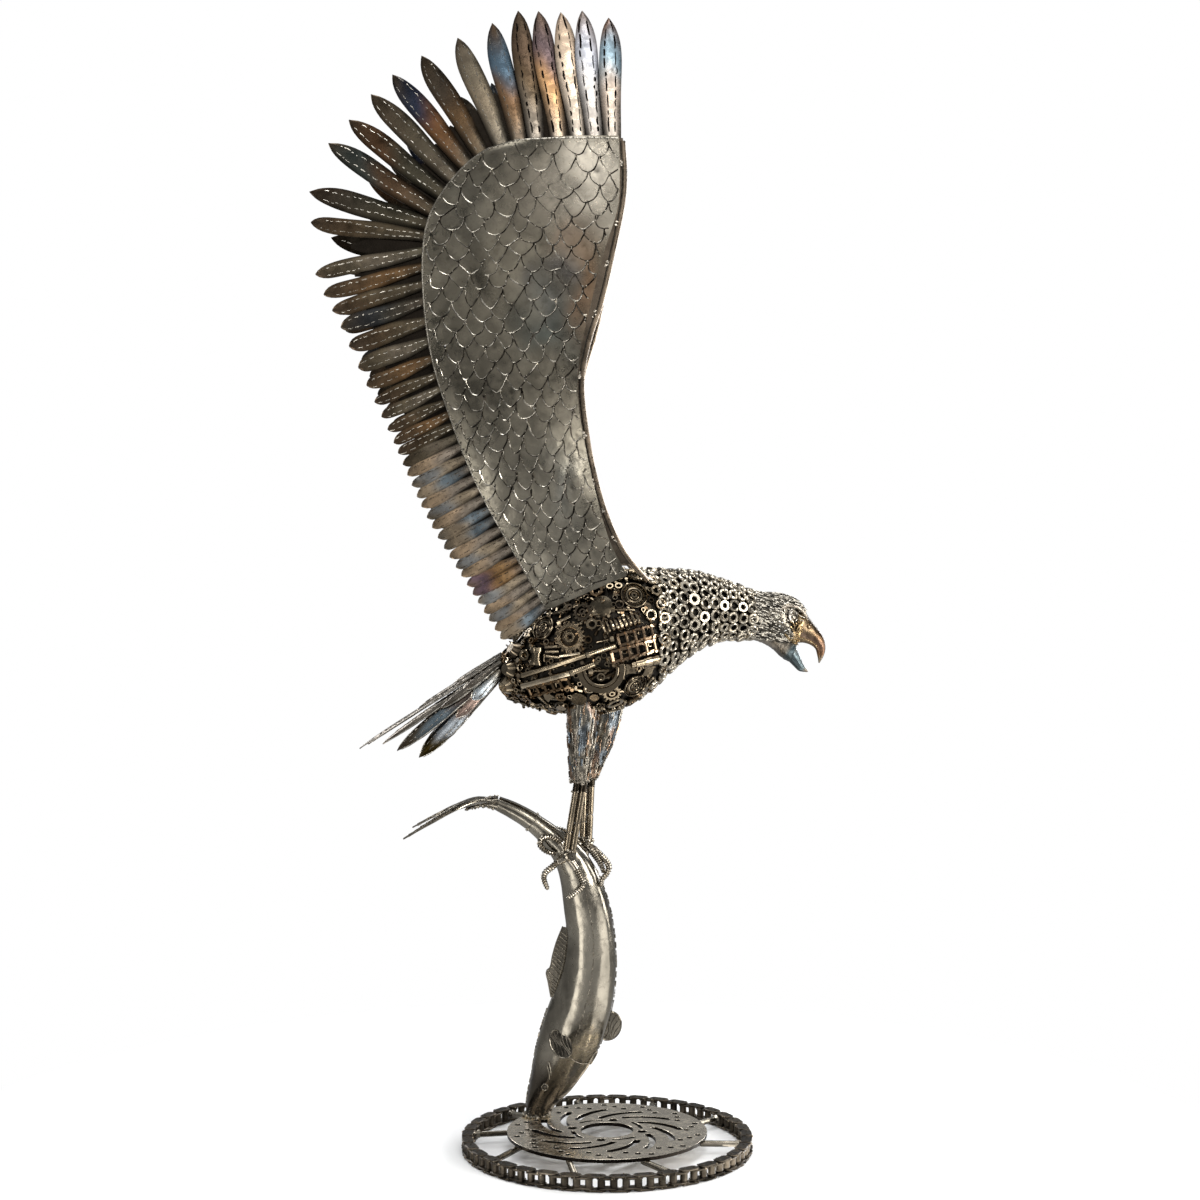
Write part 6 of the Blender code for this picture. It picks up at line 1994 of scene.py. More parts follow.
# painted shadow under the thigh
SOCKET_SHADOW_TONE = (0.035, 0.028, 0.020)
RIGHT_SHANK = ((0.0050, -0.025, 0.3974), (-0.0060, -0.0225, 0.3290))
LEFT_SHANK = ((0.0140, 0.025, 0.3974), (0.0115, 0.0195, 0.3370))
TOE_RADIUS = 0.0031
TOE_TAPER = 0.35
TOE_FAT = 1.32                  # crests of the thread, as a share of the solid rod
TOE_PITCH = 0.0027
TOE_TONE = np.array((0.42, 0.375, 0.305))
KNUCKLE_DROPS = 46
# Top and bottom of the knuckles, and the points each toe runs through from there.
RIGHT_KNUCKLE = (-0.0062, -0.0225, 0.3286)
RIGHT_ANKLE = (-0.0075, -0.0220, 0.3220)
RIGHT_TOES = (((-0.0165, -0.0215, 0.3185), (-0.0255, -0.0225, 0.3115),
               (-0.0325, -0.0215, 0.3055), (-0.0340, -0.0205, 0.2990),
               (-0.0295, -0.0200, 0.2870)),
              ((-0.0020, -0.0205, 0.3150), (0.0035, -0.0185, 0.3050), (0.0085, -0.0170, 0.2920),
               (0.0010, -0.0162, 0.2835), (-0.0085, -0.0150, 0.2765)),
              ((-0.0150, -0.0205, 0.3370), (-0.0240, -0.0190, 0.3440),
               (-0.0350, -0.0170, 0.3430), (-0.0385, -0.0155, 0.3360),
               (-0.0320, -0.0145, 0.3285), (-0.0210, -0.0165, 0.3250)))
LEFT_KNUCKLE = (0.0115, 0.0195, 0.3366)
LEFT_ANKLE = (0.0112, 0.0192, 0.3300)
LEFT_TOES = (((0.0200, 0.0170, 0.3270), (0.0275, 0.0130, 0.3205), (0.0345, 0.0080, 0.3135),
              (0.0372, 0.0040, 0.3080), (0.0345, 0.0010, 0.3010), (0.0300, -0.0020, 0.2960),
              (0.0285, -0.0040, 0.2880)),
             ((0.0155, 0.0160, 0.3270), (0.0225, 0.0110, 0.3190), (0.0285, 0.0060, 0.3105),
              (0.0315, 0.0025, 0.3020)),
             ((0.0110, 0.0235, 0.3190), (0.0070, 0.0270, 0.3050), (0.0110, 0.0300, 0.2920),
              (0.0040, 0.0320, 0.2830)),
             ((0.0010, 0.0200, 0.3360), (-0.0130, 0.0190, 0.3460), (-0.0290, 0.0170, 0.3480),
              (-0.0360, 0.0155, 0.3400), (-0.0290, 0.0150, 0.3300)))


def thigh(rows, suffix, seed):
    """Tapered thigh of long weld runs, tinted blue and copper in places."""
    build = Build()
    t = np.linspace(-0.12, len(rows) - 1, THIGH_STATIONS)
    data = Track(numbered(rows), 100)(np.clip(t, 0, None))
    data[:, 2] += np.where(t < 0, -t * 0.034, 0.0)
    around = polar(1.0, turns(THIGH_SIDES))

    def furrows(across, up):
        return np.array([[noise.noise(Vector((a * 2.2 * across, b * 2.2 * across, z * up + seed)))
                          for a, b in around] for z in data[:, 2]])
    fine = furrows(6.5, 130)
    push = 0.0012 * furrows(2.6, 26) + 0.0007 * fine - 0.0006
    plan = data[:, None, :2] + (data[:, None, 3:] + push[..., None]) * around
    height = np.repeat(data[:, 2:3], THIGH_SIDES, axis=1)
    rings = np.concatenate([plan, height[..., None]], axis=2)
    flat = rings.reshape(-1, 3)
    base = STEEL * 0.85 * (1 + 0.5 * fine.reshape(-1, 1))
    base = mixed(base, THIGH_BLUE, fade(rumple(flat * (1.0, 1.0, 0.5), 60, seed), 0.12, 0.40)
                 * 0.75)
    base = mixed(base, THIGH_COPPER,
                 fade(rumple(flat * (1.0, 1.0, 0.4), 75, seed + 5), 0.10, 0.40) * 0.7)
    build.add(skin(rings), capped(base))
    rng = random.Random(seed)
    for number in range(THIGH_RUNS):
        k = rng.randrange(0, THIGH_STATIONS - 14)
        count = rng.randrange(6, 14)
        a = rng.uniform(0, 2 * math.pi)
        line = []
        for x, y, z, deep, wide in data[k:k + count]:
            a += rng.uniform(-0.035, 0.035)
            line.append((x + (deep + 0.0001) * math.cos(a), y + (wide + 0.0001) * math.sin(a), z))
        tone = RUN_TONES[rng.randrange(6)]
        build.add(weld(line, rng.uniform(0.0005, 0.0010), seed * 300 + number, 5, 0.5),
                  tone * rng.uniform(0.7, 1.2), 1)
    # rough end where the shank goes in
    x, y, z, deep, wide = rows[-1]
    for c, s in polar(1.0, turns(THIGH_END_DROPS)):
        reach = rng.uniform(0.80, 1.02)
        size = rng.uniform(0.0012, 0.0022)
        spot = (x + deep * reach * c, y + wide * reach * s, z + rng.uniform(-0.001, 0.004))
        drop(build, spot, (c, s, -0.6), size, STEEL * rng.uniform(0.5, 1.3))
    build.finish(f"{suffix}_thigh", "dabs dabs", "thighs", f"thigh_{suffix}", sharp=60)


def shank(ends, suffix, seed):
    """Two polished rods side by side, each in two lengths, with weld at their ends."""
    build = Build()
    top, bottom = np.array(ends)
    run = bottom - top
    down = unit(run)
    rng = random.Random(seed)
    for side in (-1, 1):
        start = top + (SHANK_ROD * 0.98 * side, 0.0, 0.0)
        joint = SHANK_JOINTS[side]
        radii = np.full(14, SHANK_ROD * 0.99)
        radii[[0, -1]] = SHANK_ROD * 0.88
        for a, b in ((-0.20, joint - 0.006), (joint + 0.006, 1.05)):
            # painted light: the rod towards the tail is lighter than its twin
            build.add(tube(start + np.outer(np.linspace(a, b, 14), run), radii, 20),
                      SHANK_TONE * (1.15 if side < 0 else 0.9))
        # dark collar under the thigh: painted shadow where the rod goes in
        socket = start + np.outer((-COLLAR_LENGTH, 0.0, COLLAR_LENGTH * 0.35), down)
        build.add(tube(socket, SHANK_ROD * 1.10, 16), SOCKET_SHADOW_TONE)
        neck = start + np.outer((joint - 0.008, joint + 0.008), run)
        build.add(tube(neck, SHANK_ROD * 0.80, 14), DARK)
        for _ in range(7):
            spot = start + run * rng.choice((0.02, 0.04, 0.97, 1.0))
            out = np.array((*polar(1.0, rng.uniform(0, 6.28)), 0.0))
            drop(build, spot + out * SHANK_ROD, out, rng.uniform(0.0010, 0.0018),
                 STEEL * rng.uniform(0.7, 1.3))
    # weld in the groove between the rods, on both sides
    line = top + np.outer(np.linspace(0.02, 0.98, 30), run)
    for number, y in enumerate((-0.0016, 0.0016)):
        build.add(weld(line + (0.0, y, 0.0), 0.0005, seed + number, 6, 0.05), DARK * 0.5, 1)
    build.finish(f"{suffix}_shank", "rods weld", "shanks", f"shank_{suffix}")


def toe_line(ankle, toe):
    """Points along a toe, two for each turn of its thread."""
    line = along([ankle, *toe], 64)
    reached = travelled(line)
    at = np.linspace(0, reached[-1], int(reached[-1] / (TOE_PITCH / 2)) + 1)
    return np.column_stack([np.interp(at, reached, column) for column in line.T])


def foot(top, ankle, toes, side, suffix, seed):
    """Toes of bent threaded rod welded to a knuckle under the shank."""
    build = Build()
    rng = random.Random(seed)
    for toe in toes:
        line = toe_line(ankle, toe)
        share = np.linspace(0, 1, len(line))
        plain = share < 0.25
        odd = np.arange(len(line)) % 2
        radii = TOE_FAT * TOE_RADIUS * (1.0 - TOE_TAPER * share ** 3)
        radii *= np.where(plain, 0.95, np.where(odd, 1.0, 0.72))
        radii[-1] *= 0.5
        # painted shade in the thread's grooves and painted highlight on its crests
        thread_shade = np.where(plain, 0.8, np.where(odd, 1.15, 0.22))
        build.add(tube(line, radii, 12), capped(TOE_TONE * thread_shade[:, None], 12))
        for point in line[len(line) // 5::3]:
            away = unit((rng.uniform(-1, 1), rng.choice((-1.0, 1.0)), rng.uniform(-1, 1)))
            drop(build, point + away * TOE_RADIUS * 0.95, away, rng.uniform(0.0006, 0.0012),
                 STEEL * rng.uniform(0.6, 2.6))
    top, ankle = np.array((top, ankle))
    middle = (top + ankle) / 2
    for _ in range(KNUCKLE_DROPS):
        direction = unit([rng.gauss(0, 1) for _ in range(3)])
        drop(build, middle + direction * (0.0075, 0.0060, 0.0060), direction,
             rng.uniform(0.0014, 0.0026), STEEL * rng.uniform(0.6, 2.4), 7, 1.2)
    line = [top + (0, 0, 0.001), middle, ankle, ankle + (ankle - top) * 0.5]
    build.add(tube(line, (0.0066, 0.0074, 0.0068, 0.0035), 16), STEEL * 0.8)
    # hexagon head of a bolt, facing outwards
    build.add(put(hex_nut(0.0050, 0.0006, 0.0036), middle + (0.0035, side * 0.0062, -0.0010),
                  facing((0.2, side, 0.1))), STEEL * 1.2)
    build.finish(f"{suffix}_foot", "scrap weld", "feet", f"foot_{suffix}")


def legs():
    thigh(RIGHT_THIGH, "right", 81)
    thigh(LEFT_THIGH, "left", 82)
    shank(RIGHT_SHANK, "right", 83)
    shank(LEFT_SHANK, "left", 84)
    foot(RIGHT_KNUCKLE, RIGHT_ANKLE, RIGHT_TOES, NEAR, "right", 85)
    foot(LEFT_KNUCKLE, LEFT_ANKLE, LEFT_TOES, FAR, "left", 86)


# ---------------------------------------------------------------- fish
# Sections of the fish, head down: x, y, z, half depth, half width as a share of it.
FISH = ((-0.0440, 0.0560, 0.0198, 0.0135, 0.80), (-0.0385, 0.0530, 0.0400, 0.0180, 0.76),
        (-0.0248, 0.0490, 0.0673, 0.0268, 0.70), (-0.0130, 0.0460, 0.0950, 0.0332, 0.68),
        (-0.0014, 0.0420, 0.1253, 0.0358, 0.68), (0.0090, 0.0360, 0.1600, 0.0343, 0.70),
        (0.0155, 0.0280, 0.1960, 0.0305, 0.72), (0.0165, 0.0200, 0.2320, 0.0273, 0.76),
        (0.0120, 0.0120, 0.2650, 0.0255, 0.80), (0.0040, 0.0060, 0.2980, 0.0216, 0.84),
        (-0.0075, 0.0020, 0.3210, 0.0175, 0.90), (-0.0230, 0.0, 0.3385, 0.0140, 0.95),
        (-0.0430, 0.0, 0.3555, 0.0115, 1.0), (-0.0640, 0.0, 0.3690, 0.0100, 1.0),
        (-0.0860, 0.0, 0.3795, 0.0085, 1.0))
FISH_SIDES = 72
FISH_STATIONS = 150
FISH_TONE = (0.27, 0.247, 0.203)
FISH_HEAD_TONE = (0.080, 0.068, 0.054)
# Seams of weld along its sides: angle, first and last station, radius.
SEAMS = ((-1.45, 3.9, 8.6, 0.0005), (1.55, 3.4, 8.6, 0.0005), (0.0, 3.2, 9.0, 0.0006),
         (math.pi, 0.6, 4.2, 0.0006))
# The gill, the bump before it and the mark behind the eye: station and angle.
GILL = ((3.15, 0.22), (3.05, 0.50), (3.0, 0.85), (3.05, 1.20), (3.3, 1.55), (3.75, 1.85))
BUMP = ((2.95, 0.18), (3.2, 0.12), (3.45, 0.2), (3.5, 0.34), (3.3, 0.44), (3.02, 0.46))
MARK = ((2.45, 2.0), (2.25, 1.85), (2.0, 1.72))
FISH_EYE = (1.65, 1.75)
MOUTH_DROPS = 46
CHIN_DROPS = 60
STUB_DROPS = 110
STITCH_STATION = 12.2
STITCHES = 34
STITCH_SIZE = 0.0008
FIN_THICKNESS = 0.0018
DORSAL_FIN = ((0.006, 0.236), (-0.014, 0.240), (-0.021, 0.222), (-0.0255, 0.206),
              (-0.0285, 0.192), (-0.0325, 0.188), (-0.0305, 0.176), (-0.0275, 0.158),
              (-0.006, 0.158))
# Its notched edge again, as (height, x).
DORSAL_EDGE = ((0.158, -0.0275), (0.176, -0.0305), (0.188, -0.0325), (0.192, -0.0285),
               (0.206, -0.0255), (0.222, -0.0210), (0.240, -0.0140))
DORSAL_RAYS = 17
DORSAL_FIRST = 0.162            # height of the lowest ray, and from one to the next
DORSAL_STEP = 0.0045
# Side fins: middle, long half axis, short half axis.
NEAR_PECTORAL = ((-0.0166, 0.0200, 0.109), (-0.0075, 0.0035, 0.0150), (0.0105, -0.0005, 0.0045))
FAR_PECTORAL = ((0.0370, 0.0567, 0.121), (0.0060, 0.0, 0.0160), (0.0135, 0.004, -0.0060))
SIDE_RAYS = 7
TAIL_FIN_LOBE = ((0.0, 0.009), (0.020, 0.022), (0.045, 0.037), (0.072, 0.047), (0.112, 0.052),
                 (0.083, 0.036), (0.060, 0.020), (0.050, 0.0))
TAIL_FIN_HEIGHT = ((0.0, 0.3820), (0.025, 0.3835), (0.050, 0.3760), (0.080, 0.3630),
                   (0.112, 0.3480))
TAIL_FIN_SHORTER = 0.88
TAIL_FIN_DROOP = 0.9
TAIL_RAYS = 9
# From the body's end to the fin's root: x, z, half height, half width.
FISH_STUB = ((-0.0850, 0.3792, 0.0084, 0.0084), (-0.0920, 0.3800, 0.0068, 0.0092),
             (-0.1000, 0.3795, 0.0046, 0.0104), (-0.1100, 0.3768, 0.0028, 0.0122),
             (-0.1200, 0.3728, 0.0014, 0.0130))
FISH_TRACK = Track(numbered(FISH), 300)
FISH_LAST = len(FISH) - 1


def fish_axes(t):
    """Middle of the fish at station t and the half axes of its section."""
    *middle, half, squash = FISH_TRACK(t)
    run = unit((FISH_TRACK(min(t + 0.02, FISH_LAST)) - FISH_TRACK(max(t - 0.02, 0)))[:3])
    run = unit(mixed(run, UP, 1.0 - fade(t, 0.0, 0.35)))
    deep = unit(np.cross((0.0, 1.0, 0.0), run))
    return np.array(middle), deep * half, np.cross(run, deep) * half * squash


def fish_point(t, angle, lift=0.0):
    """Point of the fish's skin; angle 0 is its belly side (+X), 90 degrees its far side."""
    middle, deep, wide = fish_axes(t)
    c = math.cos(angle)
    s = math.sin(angle)
    normal = unit(deep * c / deep.dot(deep) + wide * s / wide.dot(wide))
    return middle + deep * c + wide * s + normal * lift, normal


def fish_line(marks, side, lift):
    """Points of the fish's skin at (station, angle) marks."""
    return [fish_point(t, side * angle, lift)[0] for t, angle in marks]


def fish_skin(build):
    """Polished welded sheet with slight facets, darker at the head."""
    angles = turns(FISH_SIDES)
    rings = []
    tones = []
    for t in FISH_LAST * np.arange(FISH_STATIONS + 1) / FISH_STATIONS:
        middle, deep, wide = fish_axes(t)
        facet = 1.0 + 0.010 * np.cos(8 * angles + 0.6 * t) * (1 - fade(t, 9, 11))
        rings.append(middle + np.outer(np.cos(angles) * facet, deep)
                     + np.outer(np.sin(angles) * facet, wide))
        tones.append(mixed(FISH_HEAD_TONE, FISH_TONE, fade(t, 1.6, 3.4)))
    rings = np.array(rings)
    flat = rings.reshape(-1, 3)
    away = unit(flat - np.repeat(rings.mean(1), FISH_SIDES, axis=0))
    push = 0.0007 * rumple(flat * (1.0, 1.0, 0.5), 34) + 0.00018 * rumple(flat, 130, 2) - 0.0006
    flat = flat + away * push[:, None]
    tones = np.repeat(tones, FISH_SIDES, axis=0)
    tones *= (1 + 0.14 * rumple(flat * (1.0, 1.0, 0.35), 55, 4))[:, None]
    build.add(skin(flat.reshape(rings.shape)), capped(tones))


def fish_stub(build, rng):
    """The end of the body narrows to the root of the tail fin, under a coat of weld."""
    stub = along(FISH_STUB, 20)

    def point(row, angle):
        x, z, high, wide = row
        return np.stack([x + 0 * angle, wide * np.cos(angle), z + high * np.sin(angle)], axis=-1)
    build.add(skin([point(row, turns(36)) for row in stub]), STEEL * 0.7)
    for _ in range(STUB_DROPS):
        row = stub[rng.randrange(len(stub))]
        a = rng.uniform(0, 2 * math.pi)
        drop(build, point(row, a), (0, math.cos(a), math.sin(a)), rng.uniform(0.0009, 0.0018),
             STEEL * rng.uniform(0.5, 1.7), 6, 0.8)


def fish_body():
    """Skin with seams, gills, a rimmed mouth and eyes."""
    build = Build()
    fish_skin(build)
    rng = random.Random(301)
    for angle, at, last, size in SEAMS:
        while at < last:
            run = rng.uniform(0.06, 0.2)
            line = [fish_point(at + run * s, angle + rng.uniform(-0.02, 0.02), -0.0002)[0]
                    for s in (0.0, 0.5, 1.0)]
            build.add(weld(line, size, int(at * 100), 5, 0.4), STEEL * rng.uniform(0.7, 1.6), 1)
            at += run * rng.uniform(1.0, 1.7)
    for side in (-1, 1):
        gill = along(fish_line(GILL, side, 0.0001), 40)
        build.add(weld(gill, 0.0006, 310 + side, 6, 0.3), STEEL * 0.7, 1)
        build.add(tube(along(fish_line(BUMP, side, 0.0004), 24), 0.0007, 6), STEEL * 1.1)
        for shift in (0.0, 0.16):
            mark = [(t + shift, angle) for t, angle in MARK]
            build.add(weld(fish_line(mark, side, 0.0002), 0.0006, 320, 5, 0.3), STEEL, 1)
        point, normal = fish_point(FISH_EYE[0], side * FISH_EYE[1], -0.0004)
        build.add(put(washer(0.0042, 0.0025, 0.0010, 18), point, facing(normal)), STEEL * 0.9)
        build.add(put(bead(0.0027, 0.0016, 12), point, facing(normal)), DARK)
    # beads round the open mouth, on the disc, and on its chin
    for a in turns(MOUTH_DROPS):
        point, normal = fish_point(0.0, a, 0.0004)
        size = rng.uniform(0.0013, 0.0025)
        spot = point + (rng.uniform(-0.001, 0.001), rng.uniform(-0.001, 0.001),
                        rng.uniform(0.0, 0.0028))
        drop(build, spot, normal + (0, 0, 0.6), size, STEEL * rng.uniform(0.5, 1.4), 7)
    for _ in range(CHIN_DROPS):
        point, normal = fish_point(rng.uniform(0.05, 0.8), rng.uniform(-2.4, -0.4))
        drop(build, point, normal, rng.uniform(0.0006, 0.0013), DARK * rng.uniform(0.6, 2.0))
    fish_stub(build, rng)
    # stitched seam before it
    for a in turns(STITCHES):
        point, normal = fish_point(STITCH_STATION + rng.uniform(-0.05, 0.05), a)
        build.add(put(bead(STITCH_SIZE * rng.uniform(0.7, 1.1), STITCH_SIZE), point,
                      facing(normal)), STEEL * rng.uniform(0.7, 1.5), 1)
    build.finish("fish", "fish weld", "fish", "fish_body", sharp=60)


def fin_sheet(build, outline, place, tone):
    """Thin fin from a closed outline of (a, b), returned as a closed loop of points;
    place(a, b, face) puts a point in space, on face 0 or 1."""
    rows, length = by_length([*outline, outline[0]])
    count = len(outline) * 6
    rows = np.array(rows)
    at = length * np.arange(count) / count
    loop = np.column_stack([np.interp(at, rows[:, 0], column) for column in rows[:, 1:].T])
    face = filled([loop])
    build.add(([place(a, b, side) for side in (0, 1) for a, b in loop],
               np.concatenate([face, shifted(face, count), band_faces(count)])), tone)
    return [*loop, loop[0]]


def ray(build, place, start, end, count, radius, seed, lumps, tone, bow=lambda s: 0.0, sides=5):
    """A run of weld from start to end on both faces of a fin."""
    for face in (0, 1):
        line = [place(start[0] + (end[0] - start[0]) * s,
                      start[1] + (end[1] - start[1]) * s + bow(s), face)
                for s in np.linspace(0, 1, count)]
        build.add(weld(line, radius, seed, sides, lumps), tone, 1)


def dorsal_fin():
    """Upright fin with slanted rays and a notched edge."""
    build = Build()
    rows = Track([(row[2], row[1]) for row in FISH[:10]], 100)

    def place(a, b, face):
        return (a, rows(b)[0] + (face - 0.5) * FIN_THICKNESS, b)
    fin_sheet(build, DORSAL_FIN, place, STEEL * 0.35)
    edge = Track(DORSAL_EDGE, 100)
    for k in range(DORSAL_RAYS):
        z = DORSAL_FIRST + DORSAL_STEP * k
        x = edge(z)[0] + 0.0006
        ray(build, place, (x, z), (x + 0.020, z - 0.018), 8, 0.0006, 330 + k, 0.2, STEEL * 0.9,
            sides=6)
    rim = [place(edge(z)[0], z, 0.5) for z in np.linspace(0.158, 0.240, 30)]
    build.add(tube(rim, 0.0011, 6), STEEL)
    build.finish("dorsal_fin", "fish weld", "fish_fins", "fish_dorsal_fin")


def pectoral_fin(axes, name, node_name, seed):
    """Oval fin with a raised rim and rays."""
    build = Build()
    centre, long_axis, short_axis = np.array(axes)
    normal = unit(np.cross(long_axis, short_axis)) * FIN_THICKNESS

    def place(a, b, face):
        return centre + long_axis * a + short_axis * b + normal * (face - 0.5)
    outline = ring_points(1.0, 28)
    fin_sheet(build, outline, place, STEEL * 0.45)
    rim = [place(0.95 * a, 0.95 * b, 0.5) for a, b in (*outline, outline[0])]
    build.add(tube(rim, 0.0012, 7), STEEL * 0.8)
    for side in (0, 1):
        for k in range(SIDE_RAYS):
            b = -0.72 + 0.24 * k
            reach = math.sqrt(1 - b * b) * 0.85
            line = [place(a, b + 0.12 * math.sin(3 * a + k), side)
                    for a in np.linspace(-reach, reach, 9)]
            build.add(weld(line, 0.0006, seed + k, 5, 0.3), STEEL * 0.7, 1)
    build.finish(name, "fish weld", "fish_fins", node_name)


def tail_fin():
    """Forked fin, nearly level, with rays that spread from its root."""
    build = Build()
    root = FISH[-1][0] - 3 * GAP
    heights = Track(TAIL_FIN_HEIGHT, 60)

    def place(a, b, face):
        z = heights(a)[0] - TAIL_FIN_DROOP * b * b
        return (root - TAIL_FIN_SHORTER * a, b, z + (face - 0.5) * FIN_THICKNESS)
    outline = [*TAIL_FIN_LOBE, *((a, -b) for a, b in reversed(TAIL_FIN_LOBE[:-1]))]
    loop = fin_sheet(build, outline, place, STEEL * 0.9)
    build.add(tube([place(a, b, 0.5) for a, b in loop], 0.0009, 6), STEEL * 1.1)
    for side in (-1, 1):
        for k in range(TAIL_RAYS):
            share = k / (TAIL_RAYS - 1)
            ray(build, place, (0.004, side * (0.008 - 0.007 * share)),
                (0.104 - 0.052 * share, side * (0.0495 - 0.046 * share)), 16, 0.0007, 350 + k,
                0.3, STEEL * 1.15, lambda s: side * 0.004 * math.sin(math.pi * s))
    build.finish("tail_fin", "fish weld", "fish_fins", "fish_tail_fin")


def fish():
    fish_body()
    dorsal_fin()
    pectoral_fin(NEAR_PECTORAL, "near_fin", "fish_pectoral_fin_right", 340)
    pectoral_fin(FAR_PECTORAL, "far_fin", "fish_pectoral_fin_left", 345)
    tail_fin()


# ---------------------------------------------------------------- base
CHAIN_PLATE = 0.012
PLATE_THICKNESS = 0.0017
CHAIN_STEEL = np.array((0.088, 0.073, 0.055))
CHAIN_SPATTER = 420
OUTER_INSET = 0.0006            # how far the outer and the inner plates lie below the pins' ends
INNER_INSET = 0.0025
DISC_STEEL = np.array((0.86, 0.77, 0.63))
# painted shade on the walls of the holes and the rim
DISC_WALL_SHADE = np.array((0.022, 0.018, 0.015))
BOLT_HOLE = 0.0052              # radius of the four bolt holes, and of their circle
BOLT_CIRCLE = 0.039
SHORT_SLOT = (0.0380, 0.0405, math.radians(36), 0.0044)
# Long slots: inner ends of the even and the odd ones, outer end, sweep, and the widths of
# every third one and of the others.
SLOT_STARTS = (0.0480, 0.0525)
SLOT_END = 0.0800
SLOT_SWEEP = math.radians(-36)
SLOT_WIDTHS = (0.0078, 0.0070, 0.0070)
SMALL_HOLES = 14                # slanting rows of three small holes each
SMALL_HOLE = 0.0035
THREADED_SPOKES = (5, 7, 8)     # threaded all along; the others only at their inner end
SPOKE_DROPS = 9


def link_plate(length, thickness):
    """Side plate of a chain link in the plane: two round ends and a waist."""
    return plate([(centre, 0.0) + polar(CHAIN_PLATE / 2, math.radians(start + 150 * k / 7))
                  for centre, start in ((length / 2, -75), (-length / 2, 105))
                  for k in range(8)], thickness)


def chain():
    """Loop of roller chain laid on its side: plates above and below, rollers between."""
    build = Build()
    rng = random.Random(401)
    reach = RING_RADIUS / math.cos(math.pi / CHAIN_LINKS)
    angles = turns(CHAIN_LINKS) + math.pi / CHAIN_LINKS
    pins = polar(reach, angles) + (RING_X, 0.0)
    side_plate = link_plate(CHAIN_PITCH - 0.0016, PLATE_THICKNESS)
    bushing = lathe(((0.0037, 0.0040), (0.0040, 0.0044), (0.0040, 0.0126), (0.0037, 0.0130)), 14)
    for k in range(CHAIN_LINKS):
        a, b = pins[k - 1], pins[k]
        rotation = facing(UP, (*(b - a), 0.0))
        inner = k % 2
        tone = CHAIN_STEEL * rng.uniform(0.55, 1.45)
        inset = INNER_INSET if inner else OUTER_INSET
        for z in (inset, CHAIN_HEIGHT - inset - PLATE_THICKNESS):
            build.add(put(side_plate, (*(a + b) / 2, z), rotation), tone)
        # bushings hold the inner plates apart; outer links stay open between the rollers
        for x, y in (a, b) if inner else ():
            build.add(put(bushing, (x, y, 0.0)), tone * 1.1)
    pin = lathe(((0.0012, 0.0), (0.0018, 0.0003), (0.0018, CHAIN_HEIGHT - 0.0003),
                 (0.0012, CHAIN_HEIGHT)), 10)
    for x, y in pins:
        build.add(put(pin, (x, y, 0.0)), CHAIN_STEEL * rng.uniform(1.0, 1.5))
    # spatter of weld that fixes the links to each other
    for _ in range(CHAIN_SPATTER):
        a = angles[rng.randrange(CHAIN_LINKS)]
        out = rng.choice((-1, 1))
        z = rng.choice((0.0022, CHAIN_HEIGHT - 0.0022)) + rng.uniform(-0.0012, 0.0012)
        x, y = polar(reach + out * (CHAIN_PLATE / 2 - 0.0002), a + rng.uniform(-0.02, 0.02))
        drop(build, (RING_X + x, y, z), (*polar(out, a), 0.0), rng.uniform(0.0006, 0.0012),
             CHAIN_STEEL * rng.uniform(1.0, 5.0), 5, 0.9)
    build.finish("chain", "chain chain", "chain", "base_chain_ring")


def curved_slot(angle, inner, outer, sweep, width):
    """Outline of one curved slot, with round ends."""
    t = np.arange(11) / 10
    middles = polar(inner + (outer - inner) * t, angle + sweep * t)
    run = unit(np.gradient(middles, axis=0)) * width / 2
    side = np.column_stack([-run[:, 1], run[:, 0]])
    c, s = polar(1.0, math.pi / 2 - math.pi * np.arange(1, 6) / 6).T
    ends = [np.outer(c, run[k]) + np.outer(s, side[k]) for k in (-1, 0)]
    return np.concatenate([middles + side, middles[-1] + ends[0], (middles - side)[::-1],
                           middles[0] - ends[1]])


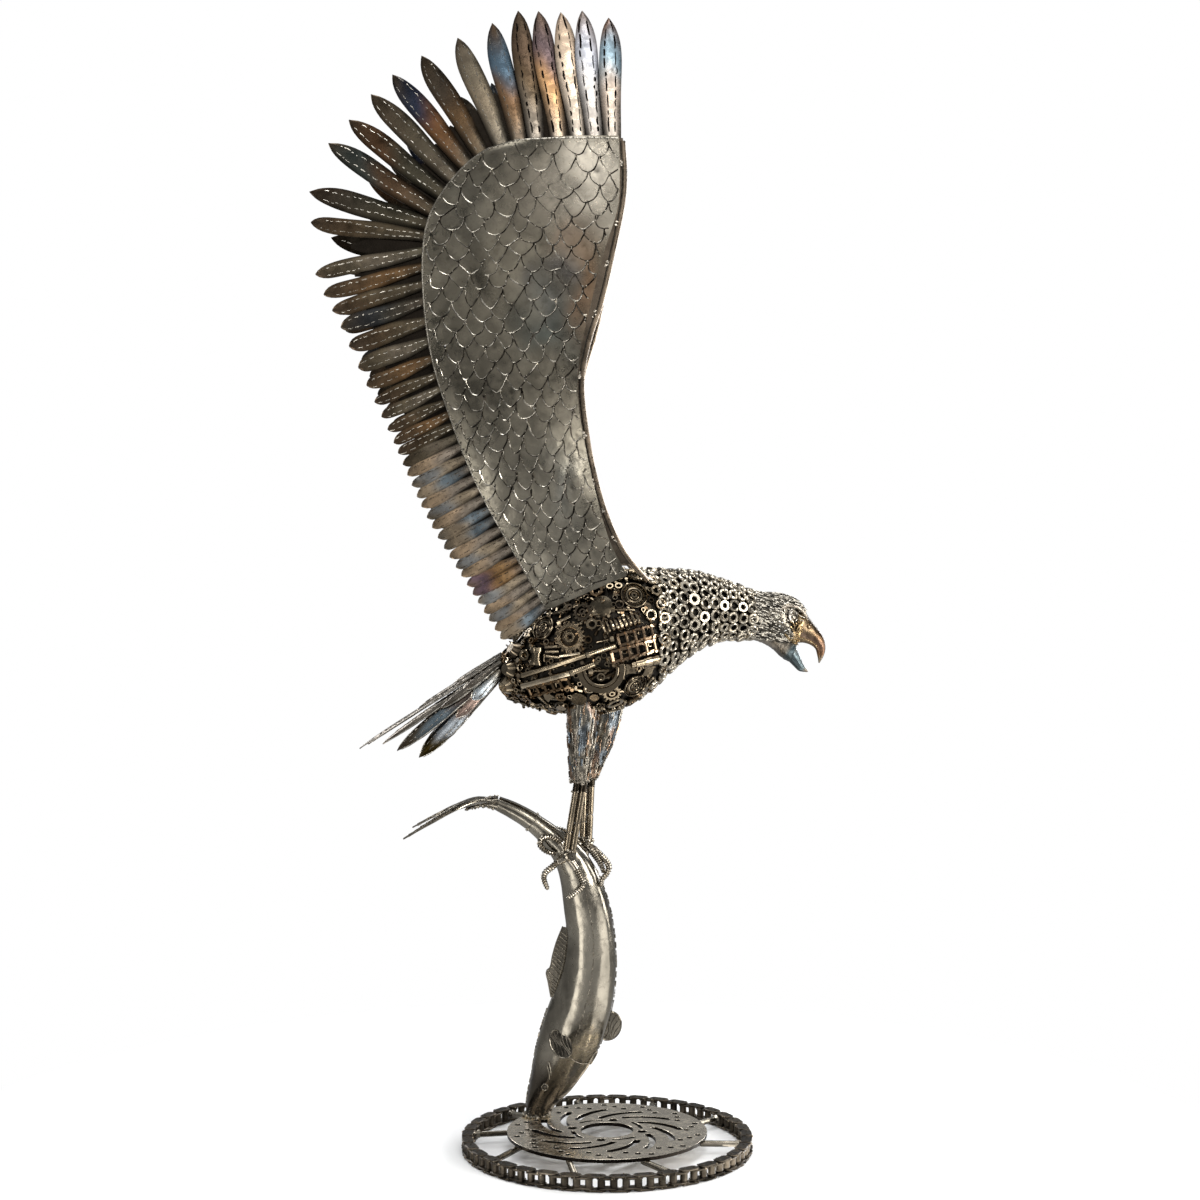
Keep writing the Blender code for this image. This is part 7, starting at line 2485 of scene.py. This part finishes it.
def disc():
    """Brake disc with its bore, bolt holes, curved slots and rows of small holes."""
    build = Build()
    holes = [ring_points(DISC_BORE, 64)]
    for k in range(4):
        holes.append(ring_points(BOLT_HOLE, 20,
                                 *polar(BOLT_CIRCLE, math.radians(80 + 90 * k))))
        holes.append(curved_slot(math.radians(100 + 90 * k), *SHORT_SLOT))
    for k in range(12):
        holes.append(curved_slot(math.radians(38 + 30 * k), SLOT_STARTS[k % 2], SLOT_END,
                                 SLOT_SWEEP, SLOT_WIDTHS[k % 3]))
    for k in range(SMALL_HOLES):
        for j in range(3):
            middle = polar(0.0875 + 0.0068 * j, math.radians(360 / SMALL_HOLES * (k + 0.28 * j)))
            holes.append(ring_points(SMALL_HOLE, 12, *middle))
    points, faces = plate(ring_points(DISC_RADIUS, 128), DISC_THICKNESS, holes, edge=0.0002)
    # painted shade: the walls of the holes and the rim are near-black
    tones = np.repeat([DISC_STEEL, DISC_WALL_SHADE, DISC_WALL_SHADE, DISC_STEEL], len(points) // 4, axis=0)
    build.add(put((points, faces), (RING_X, 0.0, DISC_TOP - DISC_THICKNESS)), tones)
    build.finish("disc", "disc", "disc", "brake_disc", sharp=30)


def spokes():
    """Bolts under the disc, each with its head where it meets the chain."""
    reach = RING_RADIUS - CHAIN_PLATE / 2 - 4 * GAP
    middle = np.array((RING_X, 0.0, DISC_TOP - DISC_THICKNESS - SPOKE_RADIUS - GAP))
    for number, angles in enumerate(SPOKES, start=1):
        build = Build()
        outer, inner = (np.array((*polar(1.0, math.radians(a)), 0.0)) for a in angles)
        run = unit(outer * reach - inner * SPOKE_INNER)
        end = outer * reach - run * SPOKE_RADIUS * np.linalg.norm(np.cross(outer, run))
        length = float(np.linalg.norm(end - inner * SPOKE_INNER))
        threaded = number in THREADED_SPOKES
        shape = screw(length, SPOKE_RADIUS * 0.84, SPOKE_RADIUS, 0.0012, 0.0 if threaded else 0.8)
        build.add(put(shape, middle + end, facing(UP, -run)), STEEL * (0.75 if threaded else 0.95))
        rng = random.Random(500 + number)
        for _ in range(SPOKE_DROPS):
            spot = middle + end - run * rng.uniform(0.0, 0.002)
            spot += [rng.uniform(-0.0032, 0.0032) for _ in range(3)]
            drop(build, spot, -run + (0, 0, 0.8), rng.uniform(0.0009, 0.0018),
                 STEEL * rng.uniform(0.6, 1.3))
        build.finish(f"spoke_{number}", "scrap weld", "bolts", f"base_spoke_{number}")


# ---------------------------------------------------------------- all of it
camera()
floor()
sky()
lights()
wings()
body()
head()
upper_beak()
lower_beak()
tail()
legs()
fish()
chain()
disc()
spokes()

bpy.context.scene.view_settings.view_transform = "Standard"
